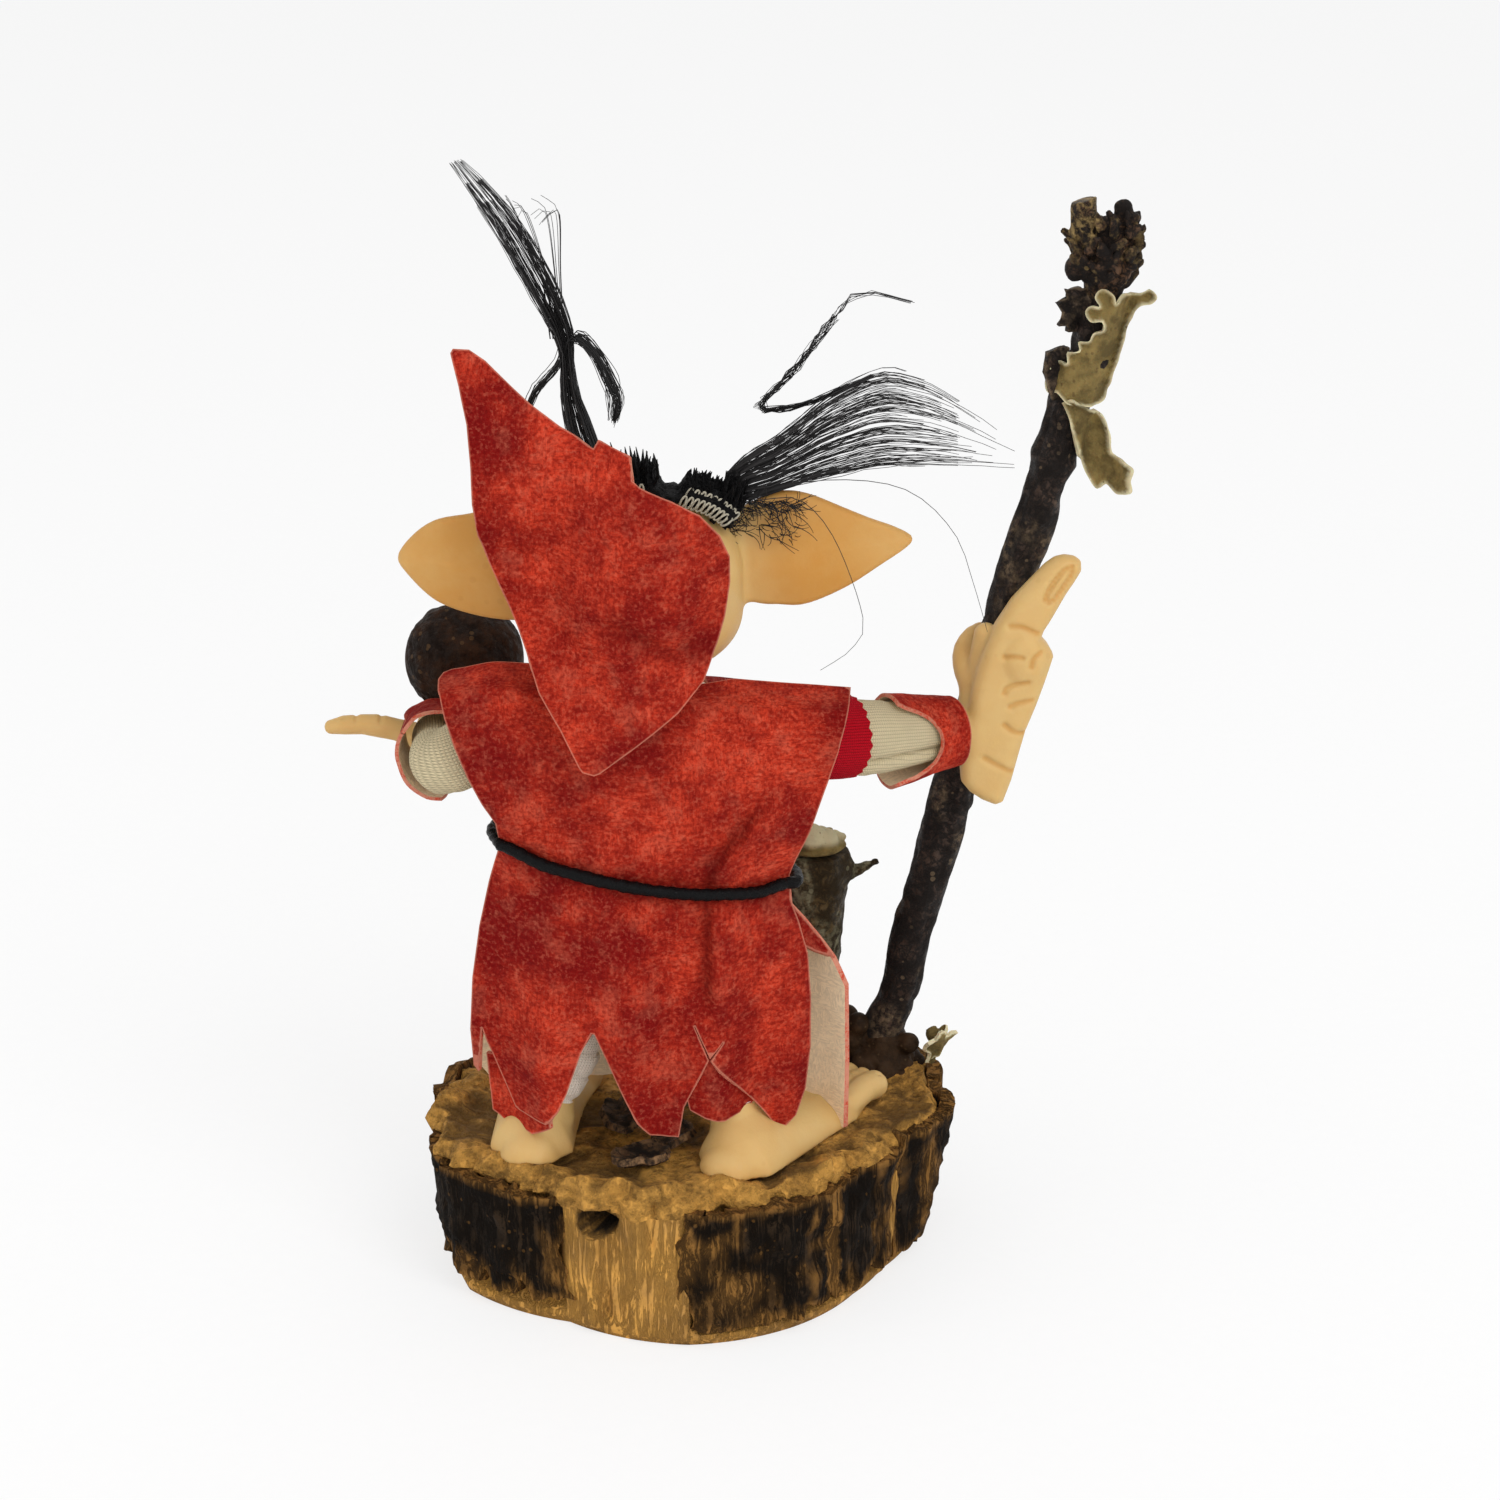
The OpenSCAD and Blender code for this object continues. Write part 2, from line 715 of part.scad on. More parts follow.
module right_hand() {
    around = staff_r + gap + finger_d / 2;
    thick = palm_t / 2;
    finger = finger_d / 2;
    palm_half = [1.6, 3.6, 4.6, 4.7, 4.2, 2.4];
    curl = finger * [1, 1.1, 1.1, 1.05, 1, 0.6];
    color("wheat")
        on_base()
            difference() {
                along(grip, grip_dir)
                    rotate(-atan2(grip_dir[1], grip_dir[0])) {
                        sweep(
                            [for (h = [-10, -7.5, -3, 2, 6, 8.6]) [0.6, palm_y, h]],
                            palm_half, thick * [0.5, 0.85, 1, 1, 0.9, 0.5], 12, Y
                        );
                        sweep(
                            [
                                [3, palm_y, 6], [4, palm_y - 0.2, 12],
                                [5, palm_y, 17], [6.2, palm_y + 0.6, 21.5]
                            ],
                            finger * [2, 2.2, 1.9, 0.8], finger * [1.3, 1.2, 1.1, 0.5], 8, Y
                        );
                        for (h = [-6, -2.6, 0.8, 4.2])
                            sweep(finger_path(-62, 95, h, h + 1.2, around), curl, curl, 8);
                        sweep(finger_path(-118, -245, 4.4, 9, around), 1.1 * curl, 1.1 * curl, 8);
                    }
                along(grip - 20 * grip_dir, grip_dir)
                    cylinder(d = staff_d + 2 * fit, h = 40);
                right_arm_rod(fit);
            }
}

// A tunic panel, on the back with side -1 and on the front with side 1
function skirt_fold(u, z) = fold_d * max(0, min(1, (waist_h - 3 - z) / 20)) * cos(720 * u + 40);
function panel_depth(u, z, share) =
    lerp(lookup(z, depth_mid), lookup(z, depth_edge), u * u) * share + skirt_fold(u, z);
function neck_depth(u) = max(0, 1 - (u / neck_u) * (u / neck_u));
function panel_point(u, z, side, narrow, share, lift) =
    let (
        seam = max(0, (z - shoulder_h) / seam_drop),
        w = lookup(z, half_width) - narrow * max(0, min(1, (z - waist_h) / 8)),
        depth = panel_depth(u, z, share) + seam * 5 * neck_depth(u),
        slope = -(u + 0.5 * u * u) * max(0, (z - waist_h) / 24)
    )
    [spine[0] + w * u, spine[1] + side * depth, z + slope + lift];

panel_levels = [
    shoulder_h + seam_drop, shoulder_h, shoulder_h - 4, shoulder_h - 10, waist_h + 10, waist_h + 5, waist_h,
    waist_h - 4, waist_h - 10, waist_h - 17, hem_h + 8, hem_h
];

// The hem's lift fades out on the way up to the hips
function panel_grid(hem, side, narrow, share) =
    [
        for (z = panel_levels) [
            for (h = hem)
                panel_point(h[0], z, side, narrow, share, h[1] * max(0, min(1, (hem_h + 16 - z) / 16)))
        ]
    ];

module tunic_back() {
    color("firebrick")
        on_base()
            sheet(panel_grid(back_hem, -1, 0, 1), leather_t);
}

module tunic_front() {
    grid = panel_grid(front_hem, 1, front_narrowing, 0.97);
    reversed = [for (row = grid) [for (k = [len(row) - 1:-1:0]) row[k]]];
    color("firebrick")
        on_base()
            sheet(reversed, leather_t);
}

// The belt lies on both panels and slopes down to the right
belt_out = leather_t + belt_d / 2 + 1.4 * gap;
function belt_height(x) = waist_h + 0.4 - 0.165 * (x - spine[0]);
function belt_point(u, side) =
    let (
        z = belt_height(spine[0] + u * waist_w / 2),
        bow = lookup(z, depth_mid) - lookup(z, depth_edge)
    )
    panel_point(u, z, side, 0, 1, 0) + belt_out * unit([2 * u * bow / lookup(z, half_width), side, 0]);
function belt_side(side) =
    let (z = belt_height(spine[0] + side * waist_w / 2))
    spine + [side * (lookup(z, half_width) + belt_out + 0.2), 0, z];
belt_path = concat(
    [for (k = [-7:7]) belt_point(k / 7, -1)],
    [belt_side(1)],
    [for (k = [7:-1:-7]) belt_point(k / 7, 1)],
    [belt_side(-1)]
);

module belt_cord() {
    radii = [for (p = belt_path) belt_d / 2];
    color("black")
        on_base()
            sweep(belt_path, radii, radii, 8, loop = true);
}

module belt_knot() {
    centre = belt_point(0, 1) + [0, belt_d + gap + 0.2, 0];
    color("black")
        on_base()
            translate(centre) {
                rotate([90, 0, 0])
                    rotate_extrude()
                        translate([belt_d * 0.62, 0])
                            circle(d = belt_d * 1.1);
                for (s = [-1, 1])
                    sweep(
                        [[s * 0.8, 0, -1], [s * 1.6, 0.2, -5], [s * 2.6, 0, -10]],
                        belt_d / 2 * [1, 1, 0.9], belt_d / 2 * [1, 1, 0.9], 8, Y
                    );
            }
}

// Head profile from the chin to the crown
head_profile = concat(
    [[0, crown_h - head_h]],
    [for (a = [-70:10:80]) [head_r * pow(cos(a), 0.8), (a < 0 ? head_h - crown_h : crown_h) * sin(a)]],
    [[0, crown_h]]
);
head_at = spine + head_mid * Z;

module ear(side) {
    root = [side * (head_r - 3), 2, 0];
    tip = [side * (head_r + ear_l), 2, 2.2];
    tall = ear_h / 2 * [0.5, 0.72, 0.95, 1, 0.8, 0.45, 0.06];
    thick = [2, 1.7, 1.5, 1.4, 1.2, 0.9, 0.3];
    sweep([for (t = [0, 0.16, 0.32, 0.48, 0.68, 0.86, 1]) lerp(root, tip, t)], thick, tall, 10);
}

function eye_at(s) = head_at + [s * 4.2, sqrt(pow(head_r * 0.99, 2) - 4.2 * 4.2) - eye_d * 0.3, 1.6];

module head() {
    color("burlywood")
        on_base()
            difference() {
                union() {
                    translate(head_at) {
                        rotate_extrude()
                            polygon(head_profile);
                        ear(-1);
                        ear(1);
                        sweep(
                            [
                                [0, head_r - 2, 3], [0, head_r + 0.4, 0.4],
                                [0, head_r + 1.6, -2.2], [0, head_r - 0.4, -3.4]
                            ],
                            [0.8, 1.3, 1.7, 0.8], [0.8, 1.2, 1.3, 0.6], 8, X
                        );
                    }
                }
                spine_rod(fit, pin_top + gap);
                for (s = [-1, 1])
                    translate(eye_at(s))
                        sphere(d = eye_d + 2 * fit);
            }
}

module eyes() {
    color("darkslategray")
        on_base()
            for (s = [-1, 1])
                translate(eye_at(s))
                    sphere(d = eye_d);
}

// The hair band lies over the crown from ear to ear, a little behind the middle
band_back = 1.6;
function crown(a, out) =
    head_at + [(head_r + out) * pow(sin(abs(a)), 0.8) * sign(a), -band_back, (crown_h + out) * cos(a)];

module hair_band() {
    angles = [-42:12:54];
    path = [for (a = angles) crown(a, band_t / 2 + gap + 0.2)];
    color("black")
        on_base()
            sweep(path, [for (a = angles) band_t / 2], [for (a = angles) band_w / 2], 10, Y);
}

// A tuft of hair that grows from the band
module tuft(root, bend, tip, wide, deep) {
    path = [for (t = [0, 0.2, 0.45, 0.7, 0.9, 1]) lerp(lerp(root, bend, t), lerp(bend, tip, t), t)];
    sweep(path, wide * [0.45, 0.9, 1, 0.8, 0.55, 0.2], deep * [0.6, 0.9, 1, 0.8, 0.5, 0.15], 10, Y);
}

module hair_left_tuft() {
    root = crown(-24, band_t + 2 * gap + 0.3) + [0, band_w / 3, 0];
    dir = unit([-18, 0, 37]);
    color("dimgray")
        on_base()
            tuft(root, root + 0.45 * left_tuft_l * unit([-10, 0, 30]), root + left_tuft_l * dir, 4.2, 2.4);
}

module hair_right_tuft() {
    root = crown(40, band_t + 2 * gap + 1.1) + [0, band_w / 3, 0];
    dir = unit([37, 0, 8]);
    color("dimgray")
        on_base()
            tuft(root, root + 0.45 * right_tuft_l * unit([30, 0, 13]), root + right_tuft_l * dir, 4.6, 2.4);
}

module hood() {
    grid = [
        for (row = hood_rows) [
            for (k = [0:hood_steps])
                let (
                    x = lerp(row[1], row[2], k / hood_steps),
                    bow = 0.06 * (head_r * head_r) / 121 * x * x,
                    crease = 0.3 * sin(540 * k / hood_steps + 14 * row[0])
                )
                head_at + [x, -max(row[4], row[3] + head_r - 11 - bow) - max(0, crease), row[0]]
        ]
    ];
    color("firebrick")
        on_base()
            sheet(grid, leather_t);
}

module left_wrist_rod(extra) {
    rod(wrist - 7 * forearm_dir, wrist + 4 * forearm_dir, wire_d, extra);
}

module left_forearm() {
    radii = [0.5 * elbow_r, 0.58 * elbow_r, 0.76 * elbow_r, wrist_d / 2, wrist_d / 2, wrist_d / 2 - 0.4];
    color("beige")
        on_base()
            difference() {
                union() {
                    translate(elbow)
                        sphere(r = elbow_r);
                    sweep(
                        [for (t = [0.1, 0.3, 0.5, 0.75, 0.92, 0.97]) elbow + t * forearm_l * forearm_dir],
                        radii, radii, 14
                    );
                }
                left_wrist_rod(fit);
            }
}

module left_cuff() {
    color("firebrick")
        on_base()
            cuff(lerp(elbow, wrist, 0.97), forearm_dir, -90);
}

palm_at = wrist + [0.4, palm_l * 0.52, -2.2];
palm_half_t = 1.7;
nut_r = nut_d / 2;
nut_at = palm_at + [2.2, 2.6, palm_half_t + gap + nut_r];

// The left palm lies flat under the nut, one finger points outwards, the others curl up beyond the nut
module left_hand() {
    finger = finger_d / 2;
    root = wrist + gap * forearm_dir;
    end = [nut_at[0], nut_at[1] + nut_r + finger + gap, palm_at[2]];
    palm = [
        root, root + 1.4 * forearm_dir, palm_at + [0, -palm_l * 0.15, 0],
        palm_at + [1, palm_l * 0.4, 0], palm_at + [1.2, palm_l * 0.5, 0.1]
    ];
    point = palm_at + [-2.6, -1.6, 0.3];
    color("wheat")
        on_base()
            difference() {
                union() {
                    sweep(palm, [2.5, 2.7, 4.6, 4.4, 3], [2.2, 2, palm_half_t, 1.5, 1], 12);
                    sweep(
                        [point, point + [-3.4, 0.2, 1], point + [-7.4, 0.2, 1.6], point + [-11.4, 0.2, 1.3]],
                        finger * [1.2, 1.1, 1, 0.55], finger * [1.2, 1.1, 1, 0.55], 8
                    );
                    for (k = [-1:1])
                        sweep(
                            [
                                palm_at + [1.1 + 2.9 * k, palm_l * 0.36, 0], end + [3.1 * k, -2.6, 0.4],
                                end + [3.3 * k, -0.4, 2.6], end + [3.3 * k, 0.3, 6.2]
                            ],
                            finger * [1.1, 1, 1, 0.6], finger * [1.1, 1, 1, 0.6], 8, X
                        );
                }
                left_wrist_rod(fit);
            }
}

module left_wrist_wire() {
    color("gray")
        on_base()
            left_wrist_rod(0);
}

module carried_nut() {
    color("saddlebrown")
        on_base()
            translate(nut_at)
                rotate_extrude()
                    polygon(concat(
                        [[0, -nut_r]],
                        [for (a = [-75:15:75]) nut_r * [cos(a), 0.97 * sin(a)]],
                        [[0, nut_r]]
                    ));
}

// The joints' places above the slice's underside, and the forearm's direction
echo(elbow = elbow + base_h * Z, wrist = wrist + base_h * Z, forearm_dir = forearm_dir);

wood_slice();
bark();
bark_chips();
stump();
stump_lichen();
staff();
staff_glue();
staff_bud();
staff_bark_flakes();
staff_lichen_upper();
staff_lichen_lower();
base_lichen();
left_foot();
right_foot();
left_leg();
right_leg();
leg_wires();
torso();
spine_wire();
left_undersleeve();
right_undersleeve();
left_upper_arm();
left_upper_arm_wire();
right_arm();
right_arm_wire();
right_cuff();
right_hand();
tunic_back();
tunic_front();
belt_cord();
belt_knot();
head();
eyes();
hair_band();
hair_left_tuft();
hair_right_tuft();
hood();
left_forearm();
left_cuff();
left_hand();
left_wrist_wire();
carried_nut();
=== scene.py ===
import math

import bpy
import numpy as np
from bpy.props import FloatProperty, FloatVectorProperty, IntProperty, PointerProperty
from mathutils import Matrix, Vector
from mathutils.geometry import delaunay_2d_cdt
from numpy import arange, array, asarray, broadcast_to, clip, concatenate, cos, full, hypot, interp, linspace
from numpy import maximum, minimum, pi, roll, sin, sqrt, stack, transpose, vstack, zeros
from numpy.linalg import norm


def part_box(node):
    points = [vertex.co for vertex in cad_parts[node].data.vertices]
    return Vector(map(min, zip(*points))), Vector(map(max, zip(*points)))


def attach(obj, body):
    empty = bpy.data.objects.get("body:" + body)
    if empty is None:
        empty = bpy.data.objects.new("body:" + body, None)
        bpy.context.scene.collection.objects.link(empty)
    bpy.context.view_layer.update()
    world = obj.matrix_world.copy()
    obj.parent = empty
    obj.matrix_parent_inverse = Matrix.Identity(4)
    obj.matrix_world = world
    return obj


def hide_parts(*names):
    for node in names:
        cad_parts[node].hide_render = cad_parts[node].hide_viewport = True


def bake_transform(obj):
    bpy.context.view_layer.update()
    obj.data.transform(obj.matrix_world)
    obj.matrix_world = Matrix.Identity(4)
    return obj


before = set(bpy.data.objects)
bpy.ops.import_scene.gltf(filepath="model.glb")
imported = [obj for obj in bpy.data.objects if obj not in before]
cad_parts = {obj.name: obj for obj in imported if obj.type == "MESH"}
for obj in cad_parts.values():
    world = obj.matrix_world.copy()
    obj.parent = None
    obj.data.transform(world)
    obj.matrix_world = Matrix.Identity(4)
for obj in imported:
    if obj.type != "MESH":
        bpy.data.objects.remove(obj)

bl_info = {
    "name": "Elf figurine looks",
    "version": (1, 0, 0),
    "blender": (4, 5, 0),
    "location": "3D View > Sidebar > Elf",
    "description": "Builds the leather, skin, hair, wood and lichen of an elf figurine over its CAD frame",
    "category": "Object",
}

# Lengths in this file are millimetres unless they say otherwise, in the frame's own axes
MM = 0.001
SHARP_ANGLE = math.radians(60)
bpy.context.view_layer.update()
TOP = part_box("wood_slice")[1].z / MM
SPINE = array([-5.0, -9.0, 0.0])
HEAD = array([-5.0, -9.0, 95.4])
ELBOW = array([-30.148, -9.479, 69.637])
WRIST = array([-32.130, 6.378, 68.845])
FOREARM = array([-0.123882, 0.991059, -0.0495529])
GRIP = array([36.6, 8.5, 72.0])


# Numbers

def xyz(x, y, z):
    """Points from their three parts"""
    return stack(np.broadcast_arrays(x, y, z), -1)


def unit(v):
    v = asarray(v, float)
    return v / norm(v)


def smooth(a, b, x):
    t = clip((x - a) / (b - a), 0, 1)
    return t * t * (3 - 2 * t)


def bell(x, width):
    return np.exp(-(x / width) ** 2)


PLACES = np.random.default_rng(11).permutation(256)
HEIGHTS = np.random.default_rng(12).uniform(-1, 1, 256)


def noise(p, size, seed=0):
    """Smooth noise from -1 to 1 at points p, with lumps about as wide as size"""
    q = asarray(p, float) / size + 17.31 * seed
    cell = np.floor(q).astype(int)
    f = q - cell
    w = f * f * (3 - 2 * f)
    total = zeros(q.shape[:-1])
    for corner in range(8):
        step = [(corner >> k) & 1 for k in range(3)]
        place = zeros(q.shape[:-1], int)
        share = np.ones(q.shape[:-1])
        for k in range(3):
            place = PLACES[(place + cell[..., k] + step[k]) & 255]
            share = share * (w[..., k] if step[k] else 1 - w[..., k])
        total += HEIGHTS[place] * share
    return total


def rough(p, size, levels=4, seed=0):
    """Noise of several sizes, each half as wide and half as high as the one before"""
    return sum(noise(p, size / 2 ** k, seed + k) / 2 ** k for k in range(levels))


def cracks(p, size, levels=3, seed=0):
    """Noise with sharp valleys, from 0 in a valley to about 1"""
    return sum(abs(noise(p, size / 2 ** k, seed + k)) / 2 ** k for k in range(levels))


def curve(points, count):
    """A smooth line of count points through the points given"""
    p = asarray(points, float)
    p = vstack([2 * p[0] - p[1], p, 2 * p[-1] - p[-2]])
    lengths = concatenate([[0], np.cumsum(norm(np.diff(p[1:-1], axis=0), axis=1))])
    s = interp(linspace(0, lengths[-1], count), lengths, arange(len(lengths)))
    i = minimum(s.astype(int), len(lengths) - 2)
    t = (s - i)[:, None]
    a, b, c, d = p[i], p[i + 1], p[i + 2], p[i + 3]
    return 0.5 * (
        2 * b + (c - a) * t + (2 * a - 5 * b + 4 * c - d) * t ** 2 + (3 * b - a - 3 * c + d) * t ** 3)


def table(rows, column, at):
    """A value read smoothly from rows that start with a falling or rising height"""
    rows = asarray(sorted(rows), float)
    line = curve(rows[:, [0, column]], 240)
    return interp(at, line[:, 0], line[:, 1])


# Meshes: each maker returns points, faces and a flat coordinate for each face corner

def quads(count, sides, loop=False):
    """Faces between rings of points"""
    faces = []
    for i in range(count if loop else count - 1):
        low, high = i * sides, (i + 1) % count * sides
        for k in range(sides):
            after = (k + 1) % sides
            faces.append((low + k, low + after, high + after, high + k))
    return faces


def caps(count, sides):
    """Faces from the first and the last ring to the two points that come after all the rings"""
    first, last = count * sides, (count - 1) * sides
    return [face for k in range(sides) for face in (
        (first, (k + 1) % sides, k), (first + 1, last + k, last + (k + 1) % sides))]


def tube(path, wide, deep=None, sides=24, up=(0, 0, 1), loop=False, relief=None):
    """A skin of rings along a path, closed at its ends, with an optional relief(points, along, round)"""
    path = asarray(path, float)
    m = len(path)
    wide = broadcast_to(wide, (m,))
    deep = wide if deep is None else broadcast_to(deep, (m,))
    ahead = roll(path, -1, 0) - roll(path, 1, 0)
    if not loop:
        ahead[0], ahead[-1] = path[1] - path[0], path[-1] - path[-2]
    ahead /= norm(ahead, axis=1)[:, None]
    side = np.cross(broadcast_to(up, (m, 3)), ahead)
    side /= norm(side, axis=1)[:, None]
    over = np.cross(ahead, side)
    turn = 2 * pi * arange(sides) / sides
    out = cos(turn)[None, :, None] * side[:, None] * wide[:, None, None]
    out = out + sin(turn)[None, :, None] * over[:, None] * deep[:, None, None]
    rings = path[:, None] + out
    steps = norm(np.diff(path, axis=0), axis=1)
    along = concatenate([[0], np.cumsum(steps)])
    if relief is not None:
        push = relief(rings, np.repeat(along[:, None], sides, 1), np.repeat(turn[None], m, 0))
        rings = rings + push[..., None] * out / norm(out, axis=2)[..., None]
    points = rings.reshape(-1, 3)
    girth = 2 * pi * max(wide.max(), deep.max()) / sides
    ends = [*along, along[-1] + norm(path[0] - path[-1])]
    flat = [spot for i in range(m if loop else m - 1) for k in range(sides) for spot in (
        (k * girth, ends[i]), ((k + 1) * girth, ends[i]), ((k + 1) * girth, ends[i + 1]),
        (k * girth, ends[i + 1]))]
    faces = quads(m, sides, loop)
    if not loop:
        points = vstack([points, rings[0].mean(0), rings[-1].mean(0)])
        faces += caps(m, sides)
        for k in range(sides):
            flat += [(k * girth, 0)] * 3 + [(k * girth, along[-1])] * 3
    return points, faces, array(flat)


def join(parts):
    """Several makers' results as one"""
    points, faces, flat, start = [], [], [], 0
    for p, f, uv in parts:
        points.append(p)
        faces += [tuple(start + i for i in face) for face in f]
        flat.append(uv)
        start += len(p)
    return vstack(points), faces, vstack(flat)


def inside(points, outline):
    """Which flat points lie within a closed outline"""
    a, b = outline, roll(outline, -1, 0)
    x, y = points[:, 0][:, None], points[:, 1][:, None]
    spans = (a[:, 1] > y) != (b[:, 1] > y)
    rise = np.where(b[:, 1] == a[:, 1], 1e-9, b[:, 1] - a[:, 1])
    return ((x < (b[:, 0] - a[:, 0]) * (y - a[:, 1]) / rise + a[:, 0]) & spans).sum(1) % 2 == 1


def pattern(outline, step):
    """Flat points and triangles that fill a closed outline"""
    outline = asarray(outline, float)
    rim = []
    for a, b in zip(outline, roll(outline, -1, 0)):
        count = max(1, int(round(norm(b - a) / step)))
        rim += [a + (b - a) * t / count for t in range(count)]
    rim = array(rim)
    low, high = rim.min(0), rim.max(0)
    rows = arange(low[1], high[1], step * 0.866)
    fill = [
        (x, y) for i, y in enumerate(rows)
        for x in arange(low[0] + (i % 2) * step / 2, high[0], step)
    ]
    fill = array(fill)
    fill = fill[inside(fill, rim)]
    near = array([np.min(((rim - p) ** 2).sum(1)) for p in fill])
    fill = fill[near > (0.55 * step) ** 2]
    flat = vstack([rim, fill])
    made = delaunay_2d_cdt([Vector(p) for p in flat], [], [list(range(len(rim)))], 1, 1e-6)
    return array([tuple(v) for v in made[0]]), [tuple(f) for f in made[2]]


def sheet(outline, step, place, thick):
    """A cut piece of sheet: place(flat) gives its outer face, and the thickness goes inwards. Each face is of
    the outer side, the reverse or the cut edge, and each point has its distance from the edge"""
    flat, faces = pattern(outline, step)
    outer = place(flat)
    corners = outer[array(faces)]
    area = np.cross(corners[:, 1] - corners[:, 0], corners[:, 2] - corners[:, 0])
    normal = np.zeros_like(outer)
    for k in range(3):
        np.add.at(normal, array(faces)[:, k], area)
    normal /= norm(normal, axis=1)[:, None] + 1e-12
    n = len(flat)
    used = {}
    for face in faces:
        for a, b in zip(face, face[1:] + face[:1]):
            used[(a, b)] = True
    rim = [(a, b) for a, b in used if (b, a) not in used]
    thick = broadcast_to(thick, (n,))
    border = flat[sorted({a for a, b in rim})]
    inset = sqrt([np.min(((border - p) ** 2).sum(1)) for p in flat])
    points = vstack([outer, outer - thick[:, None] * normal])
    back = [tuple(i + n for i in reversed(face)) for face in faces]
    edge = [(b, a, a + n, b + n) for a, b in rim]
    corner = [flat[i % n] for group in (faces, back, edge) for face in group for i in face]
    kind = [0] * len(faces) + [1] * len(back) + [2] * len(edge)
    return points, list(faces) + back + edge, array(corner), kind, np.tile(inset, 2)


class Clay:
    """A soft solid on a grid of distances, built up and carved with rounded joins"""

    def __init__(self, low, high, step):
        self.low, self.step = asarray(low, float), step
        counts = np.ceil((asarray(high, float) - self.low) / step).astype(int) + 1
        self.field = full(counts, 50.0, np.float32)

    def block(self, low, high):
        first = maximum(np.floor((asarray(low) - self.low) / self.step).astype(int), 0)
        last = minimum(np.ceil((asarray(high) - self.low) / self.step).astype(int) + 1, self.field.shape)
        part = tuple(slice(a, b) for a, b in zip(first, last))
        axes = [self.low[k] + self.step * arange(first[k], last[k]) for k in range(3)]
        return part, stack(np.meshgrid(*axes, indexing="ij"), -1)

    def mix(self, part, distance, soft, carve):
        old = -self.field[part] if carve else self.field[part]
        h = clip(0.5 + 0.5 * (distance - old) / soft, 0, 1)
        new = distance * (1 - h) + old * h - soft * h * (1 - h)
        self.field[part] = -new if carve else new

    def ball(self, centre, radii, soft=0.6, carve=False):
        centre, radii = asarray(centre, float), broadcast_to(radii, (3,))
        reach = radii + 2 * soft + 2 * self.step
        part, p = self.block(centre - reach, centre + reach)
        q = (p - centre) / radii
        k0, k1 = norm(q, axis=-1), norm(q / radii, axis=-1)
        self.mix(part, k0 * (k0 - 1) / maximum(k1, 1e-6), soft, carve)

    def limb(self, points, radii, soft=0.6, carve=False, flat=None, press=1.0):
        """Rounded segments through the points, pressed thinner along the direction flat"""
        points = asarray(points, float)
        radii = broadcast_to(radii, (len(points),))
        reach = radii.max() + 2 * soft + 2 * self.step
        part, p = self.block(points.min(0) - reach, points.max(0) + reach)
        if flat is not None:
            flat = unit(flat)
            middle = points.mean(0)
            p = p + (press - 1) * ((p - middle) @ flat)[..., None] * flat
            points = points + (press - 1) * ((points - middle) @ flat)[:, None] * flat
        best = full(p.shape[:-1], 50.0)
        for a, b, ra, rb in zip(points, points[1:], radii, radii[1:]):
            d = b - a
            t = clip(((p - a) @ d) / (d @ d), 0, 1)
            best = minimum(best, norm(p - a - t[..., None] * d, axis=-1) - (ra + (rb - ra) * t))
        self.mix(part, best, soft, carve)

    def shape(self, low, high, distance, soft=0.6, carve=False):
        part, p = self.block(low, high)
        self.mix(part, distance(p), soft, carve)

    def front(self, x, z):
        """The y at which the solid begins, seen along +Y at x and z"""
        i, k = round((x - self.low[0]) / self.step), round((z - self.low[2]) / self.step)
        row = self.field[i, :, k]
        j = int(np.argmax(row < 0))
        return self.low[1] + self.step * (j - 1 + row[j - 1] / (row[j - 1] - row[j]))

    def skin(self, relaxed=0.0):
        """Points, faces and flat coordinates of the surface, by surface nets"""
        f = self.field
        solid = f < 0
        counts = zeros(array(f.shape) - 1, int)
        corners = [(i, j, k) for i in (0, 1) for j in (0, 1) for k in (0, 1)]
        view = lambda a, c: a[tuple(slice(o, o + n - 1) for o, n in zip(c, f.shape))]
        for c in corners:
            counts += view(solid, c)
        live = (counts > 0) & (counts < 8)
        index = full(live.shape, -1)
        index[live] = arange(live.sum())
        total, hits = zeros((live.sum(), 3)), zeros(live.sum())
        for a in corners:
            for k in range(3):
                if a[k] == 0:
                    b = tuple(1 if i == k else a[i] for i in range(3))
                    fa, fb = view(f, a)[live], view(f, b)[live]
                    cross = (fa < 0) != (fb < 0)
                    t = fa[cross] / (fa[cross] - fb[cross])
                    spot = np.tile(array(a, float), (cross.sum(), 1))
                    spot[:, k] += t
                    total[cross] += spot
                    hits[cross] += 1
        points = self.low + self.step * (np.argwhere(live) + total / hits[:, None])
        faces = []
        for k in range(3):
            u, v = (k + 1) % 3, (k + 2) % 3
            ahead = [slice(1, -1)] * 3
            ahead[k] = slice(0, -1)
            beyond = list(ahead)
            beyond[k] = slice(1, None)
            here, there = solid[tuple(ahead)], solid[tuple(beyond)]
            for side in (True, False):
                spots = np.argwhere((here != there) & (here == side))
                spots[:, u] += 1
                spots[:, v] += 1
                quad = []
                for du, dv in ((0, 0), (-1, 0), (-1, -1), (0, -1)):
                    q = spots.copy()
                    q[:, u] += du
                    q[:, v] += dv
                    quad.append(index[q[:, 0], q[:, 1], q[:, 2]])
                quad = stack(quad, 1)
                faces += (quad if side else quad[:, ::-1]).tolist()
        flat = points[array(faces).reshape(-1)][:, [0, 2]]
        return relax(points, faces, relaxed) if relaxed else points, faces, flat


